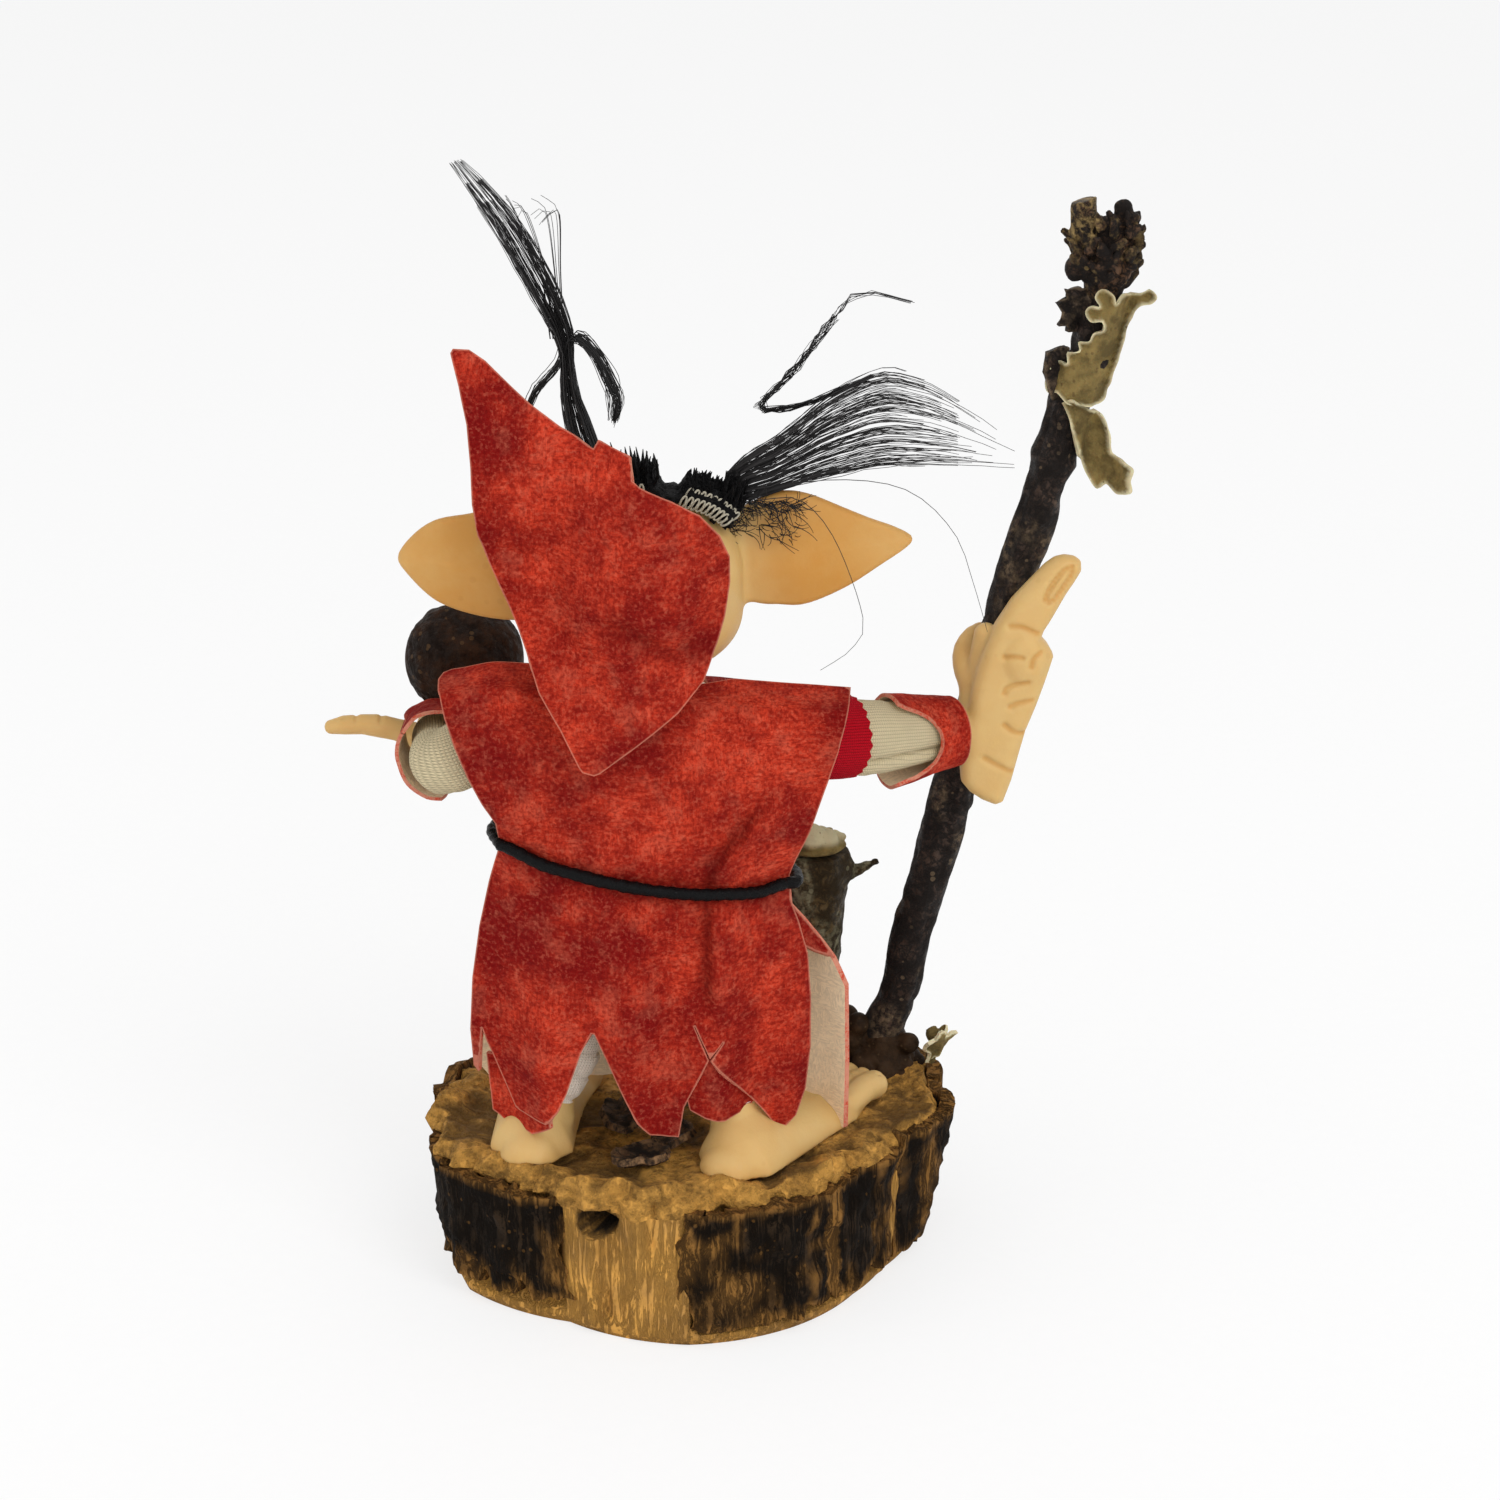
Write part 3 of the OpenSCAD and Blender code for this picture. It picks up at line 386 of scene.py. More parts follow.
def relax(points, faces, share):
    """Points moved by a share of the way to the middle of their neighbours"""
    faces = array(faces)
    a = faces.reshape(-1)
    b = roll(faces, -1, 1).reshape(-1)
    count = np.bincount(a, minlength=len(points)) + np.bincount(b, minlength=len(points))
    total = np.zeros_like(points)
    np.add.at(total, a, points[b])
    np.add.at(total, b, points[a])
    return points + share * (total / maximum(count, 1)[:, None] - points)


def add_piece(name, made, slot, finishes, stands_for="", body="base", **marks):
    """A mesh piece with its finishes and marks, which rides on a body and stands for CAD nodes"""
    points, faces, flat, *kind = made[:4]
    finishes = finishes.split()
    mesh = bpy.data.meshes.new(name)
    mesh.from_pydata((asarray(points) * MM).tolist(), [], faces)
    layer = mesh.uv_layers.new(name="flat")
    layer.data.foreach_set("uv", (asarray(flat) * MM).astype(np.float32).ravel())
    if len(finishes) > 1:
        mesh.polygons.foreach_set("material_index", asarray(kind[0], np.int32))
    for mark, values in marks.items():
        values = clip(values, 0, 1).astype(np.float32)
        mesh.attributes.new(mark, "FLOAT", "POINT").data.foreach_set("value", values)
    mesh.shade_smooth()
    mesh.set_sharp_from_angle(angle=SHARP_ANGLE)
    piece = bpy.data.objects.new(name, mesh)
    bpy.context.scene.collection.objects.link(piece)
    for finish in finishes:
        mesh.materials.append(FINISHES[finish]())
    if body:
        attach(piece, body)
    if stands_for:
        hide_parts(*stands_for.split())
    return piece


def add_leather(
        name, outline, step, place, thick, stands_for="", held="", body="base", crease=None):
    """A piece of leather cut to an outline; where something holds it, the outline's area is worked out and
    not used
    """
    made = sheet(outline, step, place, thick)
    # The crease mark is painted shade for the leather's folds
    marks = {"crease": crease(made[0][:, 0], made[0][:, 2])} if crease else {}
    piece = add_piece(
        name, made, "leather", "suede flesh_side cut_edge", stands_for, body, inset=made[4], **marks)
    if held:
        declare_sheet(outline)


# Colours and finishes

def srgb(*rgb):
    """Linear colour from 0 to 255 values as a screen shows them"""
    return tuple(((c / 255 + 0.055) / 1.055) ** 2.4 if c > 10 else c / 3294.6 for c in rgb)


def colour(name, description, *rgb):
    return FloatVectorProperty(
        name=name, description=description, subtype="COLOR", size=3, min=0, max=1, default=srgb(*rgb)
    )


def length(name, description, mm):
    return FloatProperty(
        name=name, description=description, default=mm * MM, min=0, unit="LENGTH", precision=5)


def power(name, description, watts):
    return FloatProperty(name=name, description=description, default=watts, min=0, unit="POWER")


class ElfLeather(bpy.types.PropertyGroup):
    """Leather of the tunic, the hood and the cuffs"""

    light: colour("Light nap", "Colour where the nap lies towards the light", 202, 60, 36)
    dark: colour("Dark nap", "Colour where the nap lies away from the light", 122, 12, 10)
    worn: colour("Worn nap", "Colour of the rubbed specks", 234, 138, 108)
    reverse: colour("Reverse", "Colour of the flesh side", 254, 228, 192)
    edge: colour("Cut edge", "Colour of the cut edges", 212, 140, 116)
    thickness: length("Thickness", "Thickness of the leather", 0.8)
    stroke: length("Stroke", "Width of the strokes in the nap", 0.5)


class ElfSkin(bpy.types.PropertyGroup):
    """Cast rubber of the head, hands and feet"""

    light: colour("Light", "Colour of the hands and the face", 208, 174, 114)
    # Besides the ears, this colour is painted shade in the hands' creases, under the left hand and along the
    # feet's bottom
    deep: colour("Deep", "Colour of the ears and the folds", 192, 136, 62)
    speck: colour("Speck", "Colour of the specks in the casting", 150, 96, 40)
    iris: colour("Iris", "Colour of the eyes", 96, 62, 30)


class ElfKnit(bpy.types.PropertyGroup):
    """Knitted sleeves and wrapped stuffing"""

    cream: colour("Cream", "Colour of the arms", 224, 208, 170)
    crimson: colour("Crimson", "Colour of the undersleeves", 200, 12, 34)
    wrap: colour("Wrap", "Colour of the cloth on the body and the legs", 246, 234, 220)
    stitch: length("Stitch", "Width of a knitted stitch", 0.45)


class ElfHair(bpy.types.PropertyGroup):
    """Hair, its band and the belt cord"""

    dark: colour("Hair", "Colour of the hair", 13, 12, 13)
    grey: colour("Grey hair", "Colour of the paler hairs", 58, 56, 56)
    thread: colour("Thread", "Colour of the loop stitches in the band", 214, 206, 184)
    cord: colour("Cord", "Colour of the waxed cord", 8, 8, 9)
    strand: length("Strand", "Diameter of a hair", 0.13)
    left_count: IntProperty(
        name="Left hairs", description="Hairs in the left tuft", default=110, min=20, max=900)
    right_count: IntProperty(
        name="Right hairs", description="Hairs in the right tuft", default=170, min=20, max=900)


class ElfWood(bpy.types.PropertyGroup):
    """Slice, bark, twigs, lichen, glue and nut"""

    stripped: colour("Stripped wood", "Colour of the bare sides", 170, 126, 66)
    crumb: colour("Crumbled wood", "Colour of the slice's top and rim", 220, 162, 76)
    bark: colour("Bark", "Colour of the bark", 50, 37, 24)
    worn_bark: colour("Worn bark", "Colour where the bark is rubbed through", 144, 102, 50)
    twig: colour("Twig", "Colour of the staff", 62, 47, 38)
    twig_dark: colour("Twig dark", "Colour in the staff's cracks", 24, 18, 15)
    stump: colour("Stump", "Colour of the stump", 84, 66, 36)
    lichen: colour("Lichen", "Colour of the lichen", 132, 112, 66)
    lichen_rim: colour("Lichen rim", "Colour of the lichen's edges", 216, 206, 168)
    glue: colour("Glue", "Colour of the set glue", 58, 42, 28)
    nut: colour("Nut", "Colour of the nutshell", 54, 34, 21)


class ElfStage(bpy.types.PropertyGroup):
    """Floor and light"""

    floor: colour("Floor", "Colour of the floor", 252, 252, 252)
    key: power("Key", "Power of the large soft lamp", 4.6)
    fill: power("Fill", "Power of the second soft lamp", 1.5)
    front: power("Front", "Power of the lamp beside the camera", 2.2)
    sky: FloatProperty(
        name="Sky", description="Strength of the even light from all round", default=0.72, min=0)


class ElfSettings(bpy.types.PropertyGroup):
    """All sizes and colours of the figurine's looks"""

    leather: PointerProperty(type=ElfLeather)
    skin: PointerProperty(type=ElfSkin)
    knit: PointerProperty(type=ElfKnit)
    hair: PointerProperty(type=ElfHair)
    wood: PointerProperty(type=ElfWood)
    stage: PointerProperty(type=ElfStage)


def settings():
    return bpy.context.scene.elf


FILLING = []


def fill_in(made, values):
    """A node's inputs linked or set, where a colour of three parts gets an alpha of 1"""
    for key, value in values.items():
        socket = made.inputs[key]
        if isinstance(value, bpy.types.NodeSocket):
            FILLING[-1].links.new(value, socket)
        else:
            socket.default_value = (*value[:3], 1.0) if socket.type == "RGBA" else value
    return made.outputs


def node(kind, values=None, **options):
    """A node in the tree that is being filled: its outputs"""
    made = FILLING[-1].nodes.new("ShaderNode" + kind)
    for key, value in options.items():
        setattr(made, key, value)
    return fill_in(made, values or {})


def calc(operation, a, b=0.0):
    return node("Math", {0: a, 1: b}, operation=operation)[0]


def times(a, b):
    return calc("MULTIPLY", a, b)


def plus(a, b):
    return calc("ADD", a, b)


def apart(a, b):
    return calc("ABSOLUTE", calc("SUBTRACT", a, b))


def spread(value, low, high, to_low=0.0, to_high=1.0):
    """A value moved from one range to another and held inside it"""
    values = {"Value": value, "From Min": low, "From Max": high, "To Min": to_low, "To Max": to_high}
    return node("MapRange", values, interpolation_type="SMOOTHSTEP")["Result"]


def mix(share, a, b):
    return node("Mix", {0: share, 6: a, 7: b}, data_type="RGBA")[2]


def noise_of(vector, detail=4.0, roughness=0.6, distortion=0.0):
    values = {
        "Vector": vector, "Scale": 1.0, "Detail": detail, "Roughness": roughness, "Distortion": distortion}
    return node("TexNoise", values)["Fac"]


def scaled(vector, size):
    """A position counted in steps of size"""
    return node("VectorMath", {0: vector, "Scale": calc("DIVIDE", 1.0, size)}, operation="SCALE")[0]


def stretched(vector, scale, turn=0.0):
    return node("Mapping", {"Vector": vector, "Scale": scale, "Rotation": (0, 0, turn)})[0]


def mark(name):
    return node("Attribute", attribute_name=name)["Fac"]


def tone(colour, share):
    """A darker or lighter colour"""
    return tuple(share * c for c in colour)


def group(size_label, size, colours=()):
    """Makes a shader node group of the function that fills it. It is built once, and placed by calling it"""
    def keep(fill):
        name = fill.__name__.capitalize()

        def build():
            tree = bpy.data.node_groups.new(name, "ShaderNodeTree")
            new_socket = tree.interface.new_socket
            new_socket("Vector", in_out="INPUT", socket_type="NodeSocketVector")
            new_socket(size_label, in_out="INPUT", socket_type="NodeSocketFloat").default_value = size
            for label in colours:
                new_socket(label, in_out="INPUT", socket_type="NodeSocketColor")
            FILLING.append(tree)
            source = tree.nodes.new("NodeGroupInput").outputs
            made = fill(*[source[label] for label in ("Vector", size_label, *colours)])
            for label in made:
                kind = "NodeSocketColor" if label == "Color" else "NodeSocketFloat"
                new_socket(label, in_out="OUTPUT", socket_type=kind)
            fill_in(tree.nodes.new("NodeGroupOutput"), made)
            FILLING.pop()

        def place(*values):
            if name not in bpy.data.node_groups:
                build()
            made = FILLING[-1].nodes.new("ShaderNodeGroup")
            made.node_tree = bpy.data.node_groups[name]
            return fill_in(made, dict(enumerate(values)))

        return place
    return keep


@group("Size", 0.004, ("Light", "Dark"))
def blotches(vector, size, light, dark):
    """Soft patches of two colours"""
    mask = spread(noise_of(scaled(vector, size), 6.0, 0.62), 0.36, 0.64)
    return {"Color": mix(mask, dark, light), "Mask": mask}


@group("Stroke", 0.0005)
def nap(vector, stroke):
    """Brushed strokes that change direction from place to place"""
    at = scaled(vector, stroke)
    one = noise_of(stretched(at, (0.9, 0.22, 0.9), 0.5), 5.0, 0.68, 1.4)
    two = noise_of(stretched(at, (0.22, 0.9, 0.9), -0.3), 5.0, 0.68, 1.4)
    share = spread(noise_of(stretched(at, (0.05, 0.05, 0.05)), 2.0, 0.5, 2.0), 0.42, 0.58)
    mixed = plus(times(one, share), times(two, calc("SUBTRACT", 1.0, share)))
    return {"Mask": spread(mixed, 0.4, 0.6), "Height": mixed}


@group("Stitch", 0.0004)
def stitches(vector, stitch):
    """Columns of knitted loops on flat coordinates"""
    at = node("SeparateXYZ", {0: scaled(vector, stitch)})
    row = plus(times(at["Y"], 1.3), apart(calc("FRACT", at["X"]), 0.5))
    wave, rib = [calc("ABSOLUTE", calc("SINE", times(turn, math.pi))) for turn in (row, at["X"])]
    height = times(calc("POWER", rib, 0.5), plus(0.35, wave))
    return {"Height": height, "Mask": spread(height, 0.15, 0.8)}


@group("Size", 0.001)
def fibres(vector, size):
    """Grain that runs along Z, with dark seams"""
    at = scaled(vector, size)
    long = noise_of(stretched(at, (1.0, 1.0, 0.12)), 6.0, 0.7, 0.6)
    lump = noise_of(stretched(at, (0.3, 0.3, 0.18)), 5.0, 0.65, 0.4)
    seam = spread(apart(long, 0.5), 0.0, 0.09)
    return {"Height": plus(times(seam, 0.5), lump), "Mask": times(seam, spread(lump, 0.3, 0.62))}


@group("Size", 0.0005)
def grit(vector, size):
    """Small sparse specks, and a fine grain for the bump"""
    at = scaled(vector, size)
    dots = node("TexVoronoi", {"Vector": at, "Scale": 1.0, "Randomness": 1.0})
    width = node("SeparateColor", {0: dots["Color"]})[0]
    speck = spread(calc("SUBTRACT", times(width, 0.32), dots["Distance"]), 0.0, 0.06)
    return {"Mask": times(speck, spread(width, 0.7, 0.95)), "Height": noise_of(at, 5.0, 0.7)}


FINISHES = {}


def finish(part):
    """Keeps a finish under its function's name, and makes its material once from that part of the settings"""
    def keep(build):
        name = build.__name__ + "_finish"

        def make():
            if name not in bpy.data.materials:
                material = bpy.data.materials.new(name)
                material.use_nodes = True
                FILLING.append(material.node_tree)
                place = node("TexCoord")
                build(place["Object"], place["UV"], getattr(settings(), part))
                FILLING.pop()
            return bpy.data.materials[name]

        FINISHES[build.__name__] = make
        return make
    return keep


def surface(base, roughness, specular=0.5, height=None, depth=0.0, strength=1.0, **more):
    """The shader's colour, roughness and bump, whose depth is in metres"""
    values = {"Base Color": base, "Roughness": roughness, "Specular IOR Level": specular}
    if height is not None:
        values["Normal"] = node("Bump", {"Height": height, "Distance": depth, "Strength": strength})[0]
    values.update({key.replace("_", " "): value for key, value in more.items()})
    fill_in(FILLING[-1].nodes["Principled BSDF"], values)


@finish("leather")
def suede(at, flat, own):
    patch = blotches(at, 0.011, own.light, own.dark)
    strokes, fine = nap(flat, own.stroke), nap(flat, own.stroke * 0.45)
    specks, dabs, stipple = blotches(flat, 0.0009), blotches(at, 0.0036), blotches(flat, 0.0005)
    rubbed = times(spread(stipple["Mask"], 0.5, 0.9), specks["Mask"])
    base = mix(spread(strokes["Mask"], 0, 1, 0.55, 1), own.dark, patch["Color"])
    for share, colour in (
            (spread(dabs["Mask"], 0.6, 0, 0, 0.4), own.dark),
            (spread(dabs["Mask"], 0.6, 1, 0, 0.09), own.worn),
            (spread(stipple["Mask"], 0.45, 0.1, 0, 0.4), tone(own.dark, 0.55)),
            (times(rubbed, 0.16), own.worn),
            # Painted shade along folds, the pleat and under the belt, from the crease mark
            (times(mark("crease"), 0.6), tone(own.dark, 0.5)),
            (spread(mark("inset"), 0.24, 0.06, 0, 0.5), own.edge)):
        base = mix(share, base, colour)
    height = plus(fine["Height"], times(strokes["Height"], 0.8))
    surface(base, spread(strokes["Mask"], 0, 1, 0.92, 0.74), 0.08, height, 0.00022, 0.8)


@finish("leather")
def flesh_side(at, flat, own):
    strokes, fuzz = nap(flat, own.stroke * 0.6), grit(flat, 0.0004)
    base = mix(strokes["Mask"], tone(own.reverse, 0.8), own.reverse)
    base = mix(times(fuzz["Mask"], 0.12), base, own.light)
    surface(base, spread(fuzz["Height"], 0.3, 0.7, 0.85, 0.98), 0.1, fuzz["Height"], 0.0002, 0.7)


@finish("leather")
def cut_edge(at, flat, own):
    fuzz, patch = grit(at, 0.0003), blotches(at, 0.0014, own.edge, own.light)
    base = mix(spread(fuzz["Height"], 0.4, 0.6), own.edge, patch["Color"])
    surface(base, spread(patch["Mask"], 0, 1, 0.95, 0.85), 0.1, fuzz["Height"], 0.0003, 0.8)


@finish("skin")
def rubber(at, flat, own):
    patch, specks, pores = blotches(at, 0.006), grit(at, 0.0016), grit(at, 0.00045)
    # The tint mark is real tint on the ears and lips, and painted shade on the hands and feet
    base = mix(plus(mark("tint"), times(patch["Mask"], 0.16)), own.light, own.deep)
    base = mix(times(specks["Mask"], 0.1), base, own.speck)
    height = plus(pores["Height"], patch["Mask"])
    surface(base, spread(patch["Mask"], 0, 1, 0.56, 0.42), 0.2, height, 0.00008, 0.5,
            Subsurface_Weight=0.22, Subsurface_Radius=(0.9, 0.5, 0.25), Subsurface_Scale=0.0022)


def glassy(at, inner, outer, size):
    """A glossy bead colour with rays and flecks"""
    rays = blotches(at, size, inner, outer)
    surface(rays["Color"], spread(rays["Mask"], 0, 1, 0.08, 0.14), Coat_Weight=0.6, Coat_Roughness=0.04)


@finish("skin")
def eye_white(at, flat, own):
    glassy(at, srgb(226, 214, 196), srgb(205, 186, 160), 0.0008)


@finish("skin")
def eye_iris(at, flat, own):
    glassy(at, tone(own.iris, 1.6), tone(own.iris, 0.5), 0.0003)


@finish("skin")
def eye_pupil(at, flat, own):
    glassy(at, srgb(18, 14, 12), srgb(8, 7, 7), 0.0006)


def knitted(at, flat, value, size, depth, hollow_shade):
    """Loops of one colour, with painted shade in the hollows between them, darker there by the given share"""
    loops, patch, fuzz = stitches(flat, size), blotches(at, 0.004), grit(at, 0.0003)
    base = mix(loops["Mask"], tone(value, hollow_shade), value)
    base = mix(times(patch["Mask"], 0.3), base, tone(value, 0.72))
    height = plus(loops["Height"], times(fuzz["Height"], 0.3))
    surface(base, spread(fuzz["Height"], 0.3, 0.7, 0.82, 0.95), 0.1, height, depth, 0.9)


@finish("knit")
def cream_knit(at, flat, own):
    knitted(at, flat, own.cream, own.stitch, 0.0002, 0.6)


@finish("knit")
def crimson_knit(at, flat, own):
    knitted(at, flat, own.crimson, own.stitch * 0.8, 0.0002, 0.35)


@finish("knit")
def wrapped_cloth(at, flat, own):
    knitted(at, flat, own.wrap, own.stitch, 0.0001, 0.8)


@finish("hair")
def waxed_cord(at, flat, own):
    grain, scuff = fibres(flat, 0.0004), blotches(at, 0.0012)
    base = mix(times(scuff["Mask"], 0.35), own.cord, tone(own.cord, 2.0))
    surface(base, spread(scuff["Mask"], 0, 1, 0.22, 0.36), 0.09, grain["Height"], 0.00008, 0.6)


@finish("hair")
def hair(at, flat, own):
    shade = plus(mark("shade"), times(noise_of(scaled(at, 0.003)), 0.2))
    surface(mix(shade, own.dark, own.grey), spread(shade, 0, 1, 0.45, 0.55), 0.15)


@finish("hair")
def band_weft(at, flat, own):
    weave, fuzz = stitches(flat, 0.0006), grit(at, 0.0004)
    # Painted shade in the hollows of the weave
    base = mix(weave["Mask"], tone(own.dark, 0.5), own.dark)
    base = mix(times(fuzz["Mask"], 0.4), base, own.grey)
    height = plus(weave["Height"], fuzz["Height"])
    surface(base, spread(fuzz["Height"], 0.3, 0.7, 0.6, 0.9), 0.15, height, 0.00025, 0.9)


@finish("hair")
def loop_thread(at, flat, own):
    twist = fibres(flat, 0.0002)
    base = mix(twist["Mask"], tone(own.thread, 0.55), own.thread)
    surface(base, spread(twist["Mask"], 0, 1, 0.9, 0.6), 0.5, twist["Height"], 0.00006, 0.8)


@finish("wood")
def stripped_wood(at, flat, own):
    grain, patch = fibres(at, 0.0011), blotches(at, 0.009, own.stripped, own.crumb)
    base = mix(spread(grain["Mask"], 0, 0.8, 0.25, 1), tone(own.crumb, 0.45), patch["Color"])
    # Painted shade, nearly black, in the knot hole and in the low spots of the top
    base = mix(mark("hole"), base, tone(own.crumb, 0.02))
    surface(base, spread(grain["Mask"], 0, 1, 0.95, 0.7), 0.25, grain["Height"], 0.0005, 0.9)


@finish("wood")
def crumbled_wood(at, flat, own):
    patch = blotches(at, 0.005, own.crumb, tone(own.crumb, 0.3))
    crumbs, fine = grit(at, 0.0011), blotches(at, 0.0012)
    base = mix(times(fine["Mask"], 0.6), patch["Color"], own.crumb)
    base = mix(spread(fine["Mask"], 0.35, 0, 0, 0.5), base, tone(own.crumb, 0.12))
    base = mix(times(crumbs["Mask"], 0.35), base, tone(own.crumb, 0.3))
    # Painted shade in the low spots of the crumbled top and in the knot hole
    base = mix(mark("hole"), base, tone(own.crumb, 0.16))
    height = plus(fine["Mask"], crumbs["Height"])
    surface(base, spread(fine["Mask"], 0, 1, 0.96, 0.75), 0.25, height, 0.0006, 0.9)


@finish("wood")
def bark_plate(at, flat, own):
    grain, crumbs = fibres(at, 0.0016), grit(at, 0.0009)
    patch = blotches(at, 0.005, own.bark, tone(own.bark, 0.3))
    base = mix(spread(grain["Mask"], 0, 0.75), tone(own.bark, 0.2), patch["Color"])
    worn = times(mark("worn"), spread(grain["Height"], 0.45, 0.95, 0.25, 1))
    base = mix(times(crumbs["Mask"], 0.3), mix(worn, base, own.worn_bark), own.worn_bark)
    height = plus(grain["Height"], crumbs["Height"])
    surface(base, spread(grain["Mask"], 0, 1, 0.92, 0.7), 0.1, height, 0.0006, 0.9)


def twiggy(at, flat, light, dark, pale, size):
    """Twig bark of two colours, pale where it is worn"""
    grain, lumps, dots = fibres(flat, size), blotches(at, 0.0026, light, dark), grit(at, 0.0012)
    base = mix(spread(grain["Mask"], 0, 0.8), dark, lumps["Color"])
    base = mix(times(mark("worn"), spread(dots["Height"], 0.4, 0.65)), base, pale)
    base = mix(times(dots["Mask"], 0.45), base, pale)
    height = plus(grain["Height"], dots["Height"])
    surface(base, spread(lumps["Mask"], 0, 1, 0.85, 0.5), 0.2, height, 0.0003, 0.8)


@finish("wood")
def staff_bark(at, flat, own):
    twiggy(at, flat, own.twig, own.twig_dark, srgb(128, 108, 84), 0.0012)


@finish("wood")
def bud_scales(at, flat, own):
    twiggy(at, flat, srgb(84, 60, 42), own.twig_dark, srgb(158, 132, 84), 0.0009)


@finish("wood")
def dry_leaf(at, flat, own):
    twiggy(at, flat, srgb(100, 74, 52), tone(own.twig_dark, 1.5), srgb(146, 112, 78), 0.0012)


@finish("wood")
def stump_bark(at, flat, own):
    twiggy(at, flat, own.stump, tone(own.stump, 0.3), srgb(138, 132, 104), 0.0014)


@finish("wood")
def lichen(at, flat, own):
    patch, dust = blotches(at, 0.003, own.lichen, tone(own.lichen, 0.42)), grit(at, 0.0007)
    base = mix(mark("rim"), patch["Color"], own.lichen_rim)
    base = mix(times(dust["Mask"], 0.6), base, srgb(84, 66, 40))
    height = plus(dust["Height"], patch["Mask"])
    surface(base, spread(dust["Height"], 0.3, 0.7, 0.8, 0.96), 0.2, height, 0.00022, 0.8,
            Subsurface_Weight=0.1, Subsurface_Scale=0.0008)


@finish("wood")
def lichen_under(at, flat, own):
    patch, dust = blotches(at, 0.002, own.lichen, tone(own.lichen, 0.3)), grit(at, 0.0006)
    base = mix(times(dust["Mask"], 0.5), patch["Color"], srgb(96, 78, 52))
    surface(base, spread(dust["Height"], 0.3, 0.7, 0.85, 0.97), 0.2, dust["Height"], 0.0002, 0.8)


@finish("wood")
def set_glue(at, flat, own):
    patch, dust = blotches(at, 0.0022, own.glue, tone(own.glue, 0.4)), grit(at, 0.0006)
    base = mix(times(dust["Mask"], 0.25), patch["Color"], srgb(110, 92, 66))
    surface(base, spread(dust["Height"], 0.35, 0.65, 0.45, 0.75), 0.06, patch["Mask"], 0.0002, 0.6)


@finish("wood")
def nutshell(at, flat, own):
    patch, dots = blotches(at, 0.0028, own.nut, tone(own.nut, 0.16)), grit(at, 0.0011)
    fine = blotches(at, 0.0009)
    base = mix(times(fine["Mask"], 0.5), patch["Color"], tone(own.nut, 0.4))
    base = mix(times(dots["Mask"], 0.2), base, srgb(140, 106, 70))
    height = plus(patch["Mask"], dots["Height"])
    surface(base, spread(fine["Mask"], 0, 1, 0.85, 0.6), 0.12, height, 0.0003, 0.9)


@finish("wood")
def bare_wire(at, flat, own):
    grain = fibres(at, 0.0003)
    base = mix(grain["Mask"], srgb(120, 116, 110), srgb(186, 184, 180))
    surface(base, spread(grain["Mask"], 0, 1, 0.5, 0.28), Metallic=1.0)


# Base, stump and staff

TOP_OUTLINE = [
    (0, 34), (30, 35), (60, 33), (90, 30), (120, 31), (150, 34), (180, 35), (205, 34), (235, 28), (270, 27),
    (300, 27), (325, 26), (342, 29)
]
LOW_OUTLINE = [
    (0, 30.5), (30, 34), (60, 31), (90, 28), (120, 29), (150, 31), (180, 32), (205, 33), (235, 28), (270, 29),
    (300, 28), (325, 27), (342, 27.5)
]
# Bark plates: first and last angle, rise above the slice, lowest height and the share that is rubbed through
BARK_PLATES = [
    (184, 236, -2.4, 2.8, 0.1), (269, 341, -2.2, 1.8, 0.35), (344, 371, -0.8, 1.2, 0.4),
    (374, 441, 0.0, 1.0, 0.4), (89, 176, 0.0, 1.0, 0.3)
]
STAFF_FOOT = array([24.8, 12.0, TOP])
STAFF_END = array([50.4, 6.0, 124.7])
STUMP_FOOT = array([14.0, 15.5, TOP])
STUMP_TOP = array([15.8, 14.0, TOP + 30])


def slice_r(angle, level):
    """Radius of the slice at an angle in degrees and at a share of its height"""
    low = interp(angle % 360, *transpose(LOW_OUTLINE), period=360)
    high = interp(angle % 360, *transpose(TOP_OUTLINE), period=360)
    return low + (high - low) * level


def bark_cover(angle):
    """How far an angle lies under the bark, from 0 to 1"""
    cover = np.zeros_like(angle)
    for first, last, *_ in BARK_PLATES:
        for turn in (-360, 0, 360):
            inner = minimum(angle + turn - first, last - angle - turn)
            cover = maximum(cover, smooth(0, 4, inner))
    return cover


def polar(angle, radius, z):
    a = np.radians(angle)
    return xyz(radius * cos(a), radius * sin(a), z)


WHITE = (1.0, 1.0, 1.0)


def looked_at():
    """1 for a ray that meets the stage straight from the camera, in a reflection or through glass"""
    path = node("LightPath")
    return calc(
        "MAXIMUM", path["Is Camera Ray"], calc("MAXIMUM", path["Is Glossy Ray"], path["Is Transmission Ray"]))


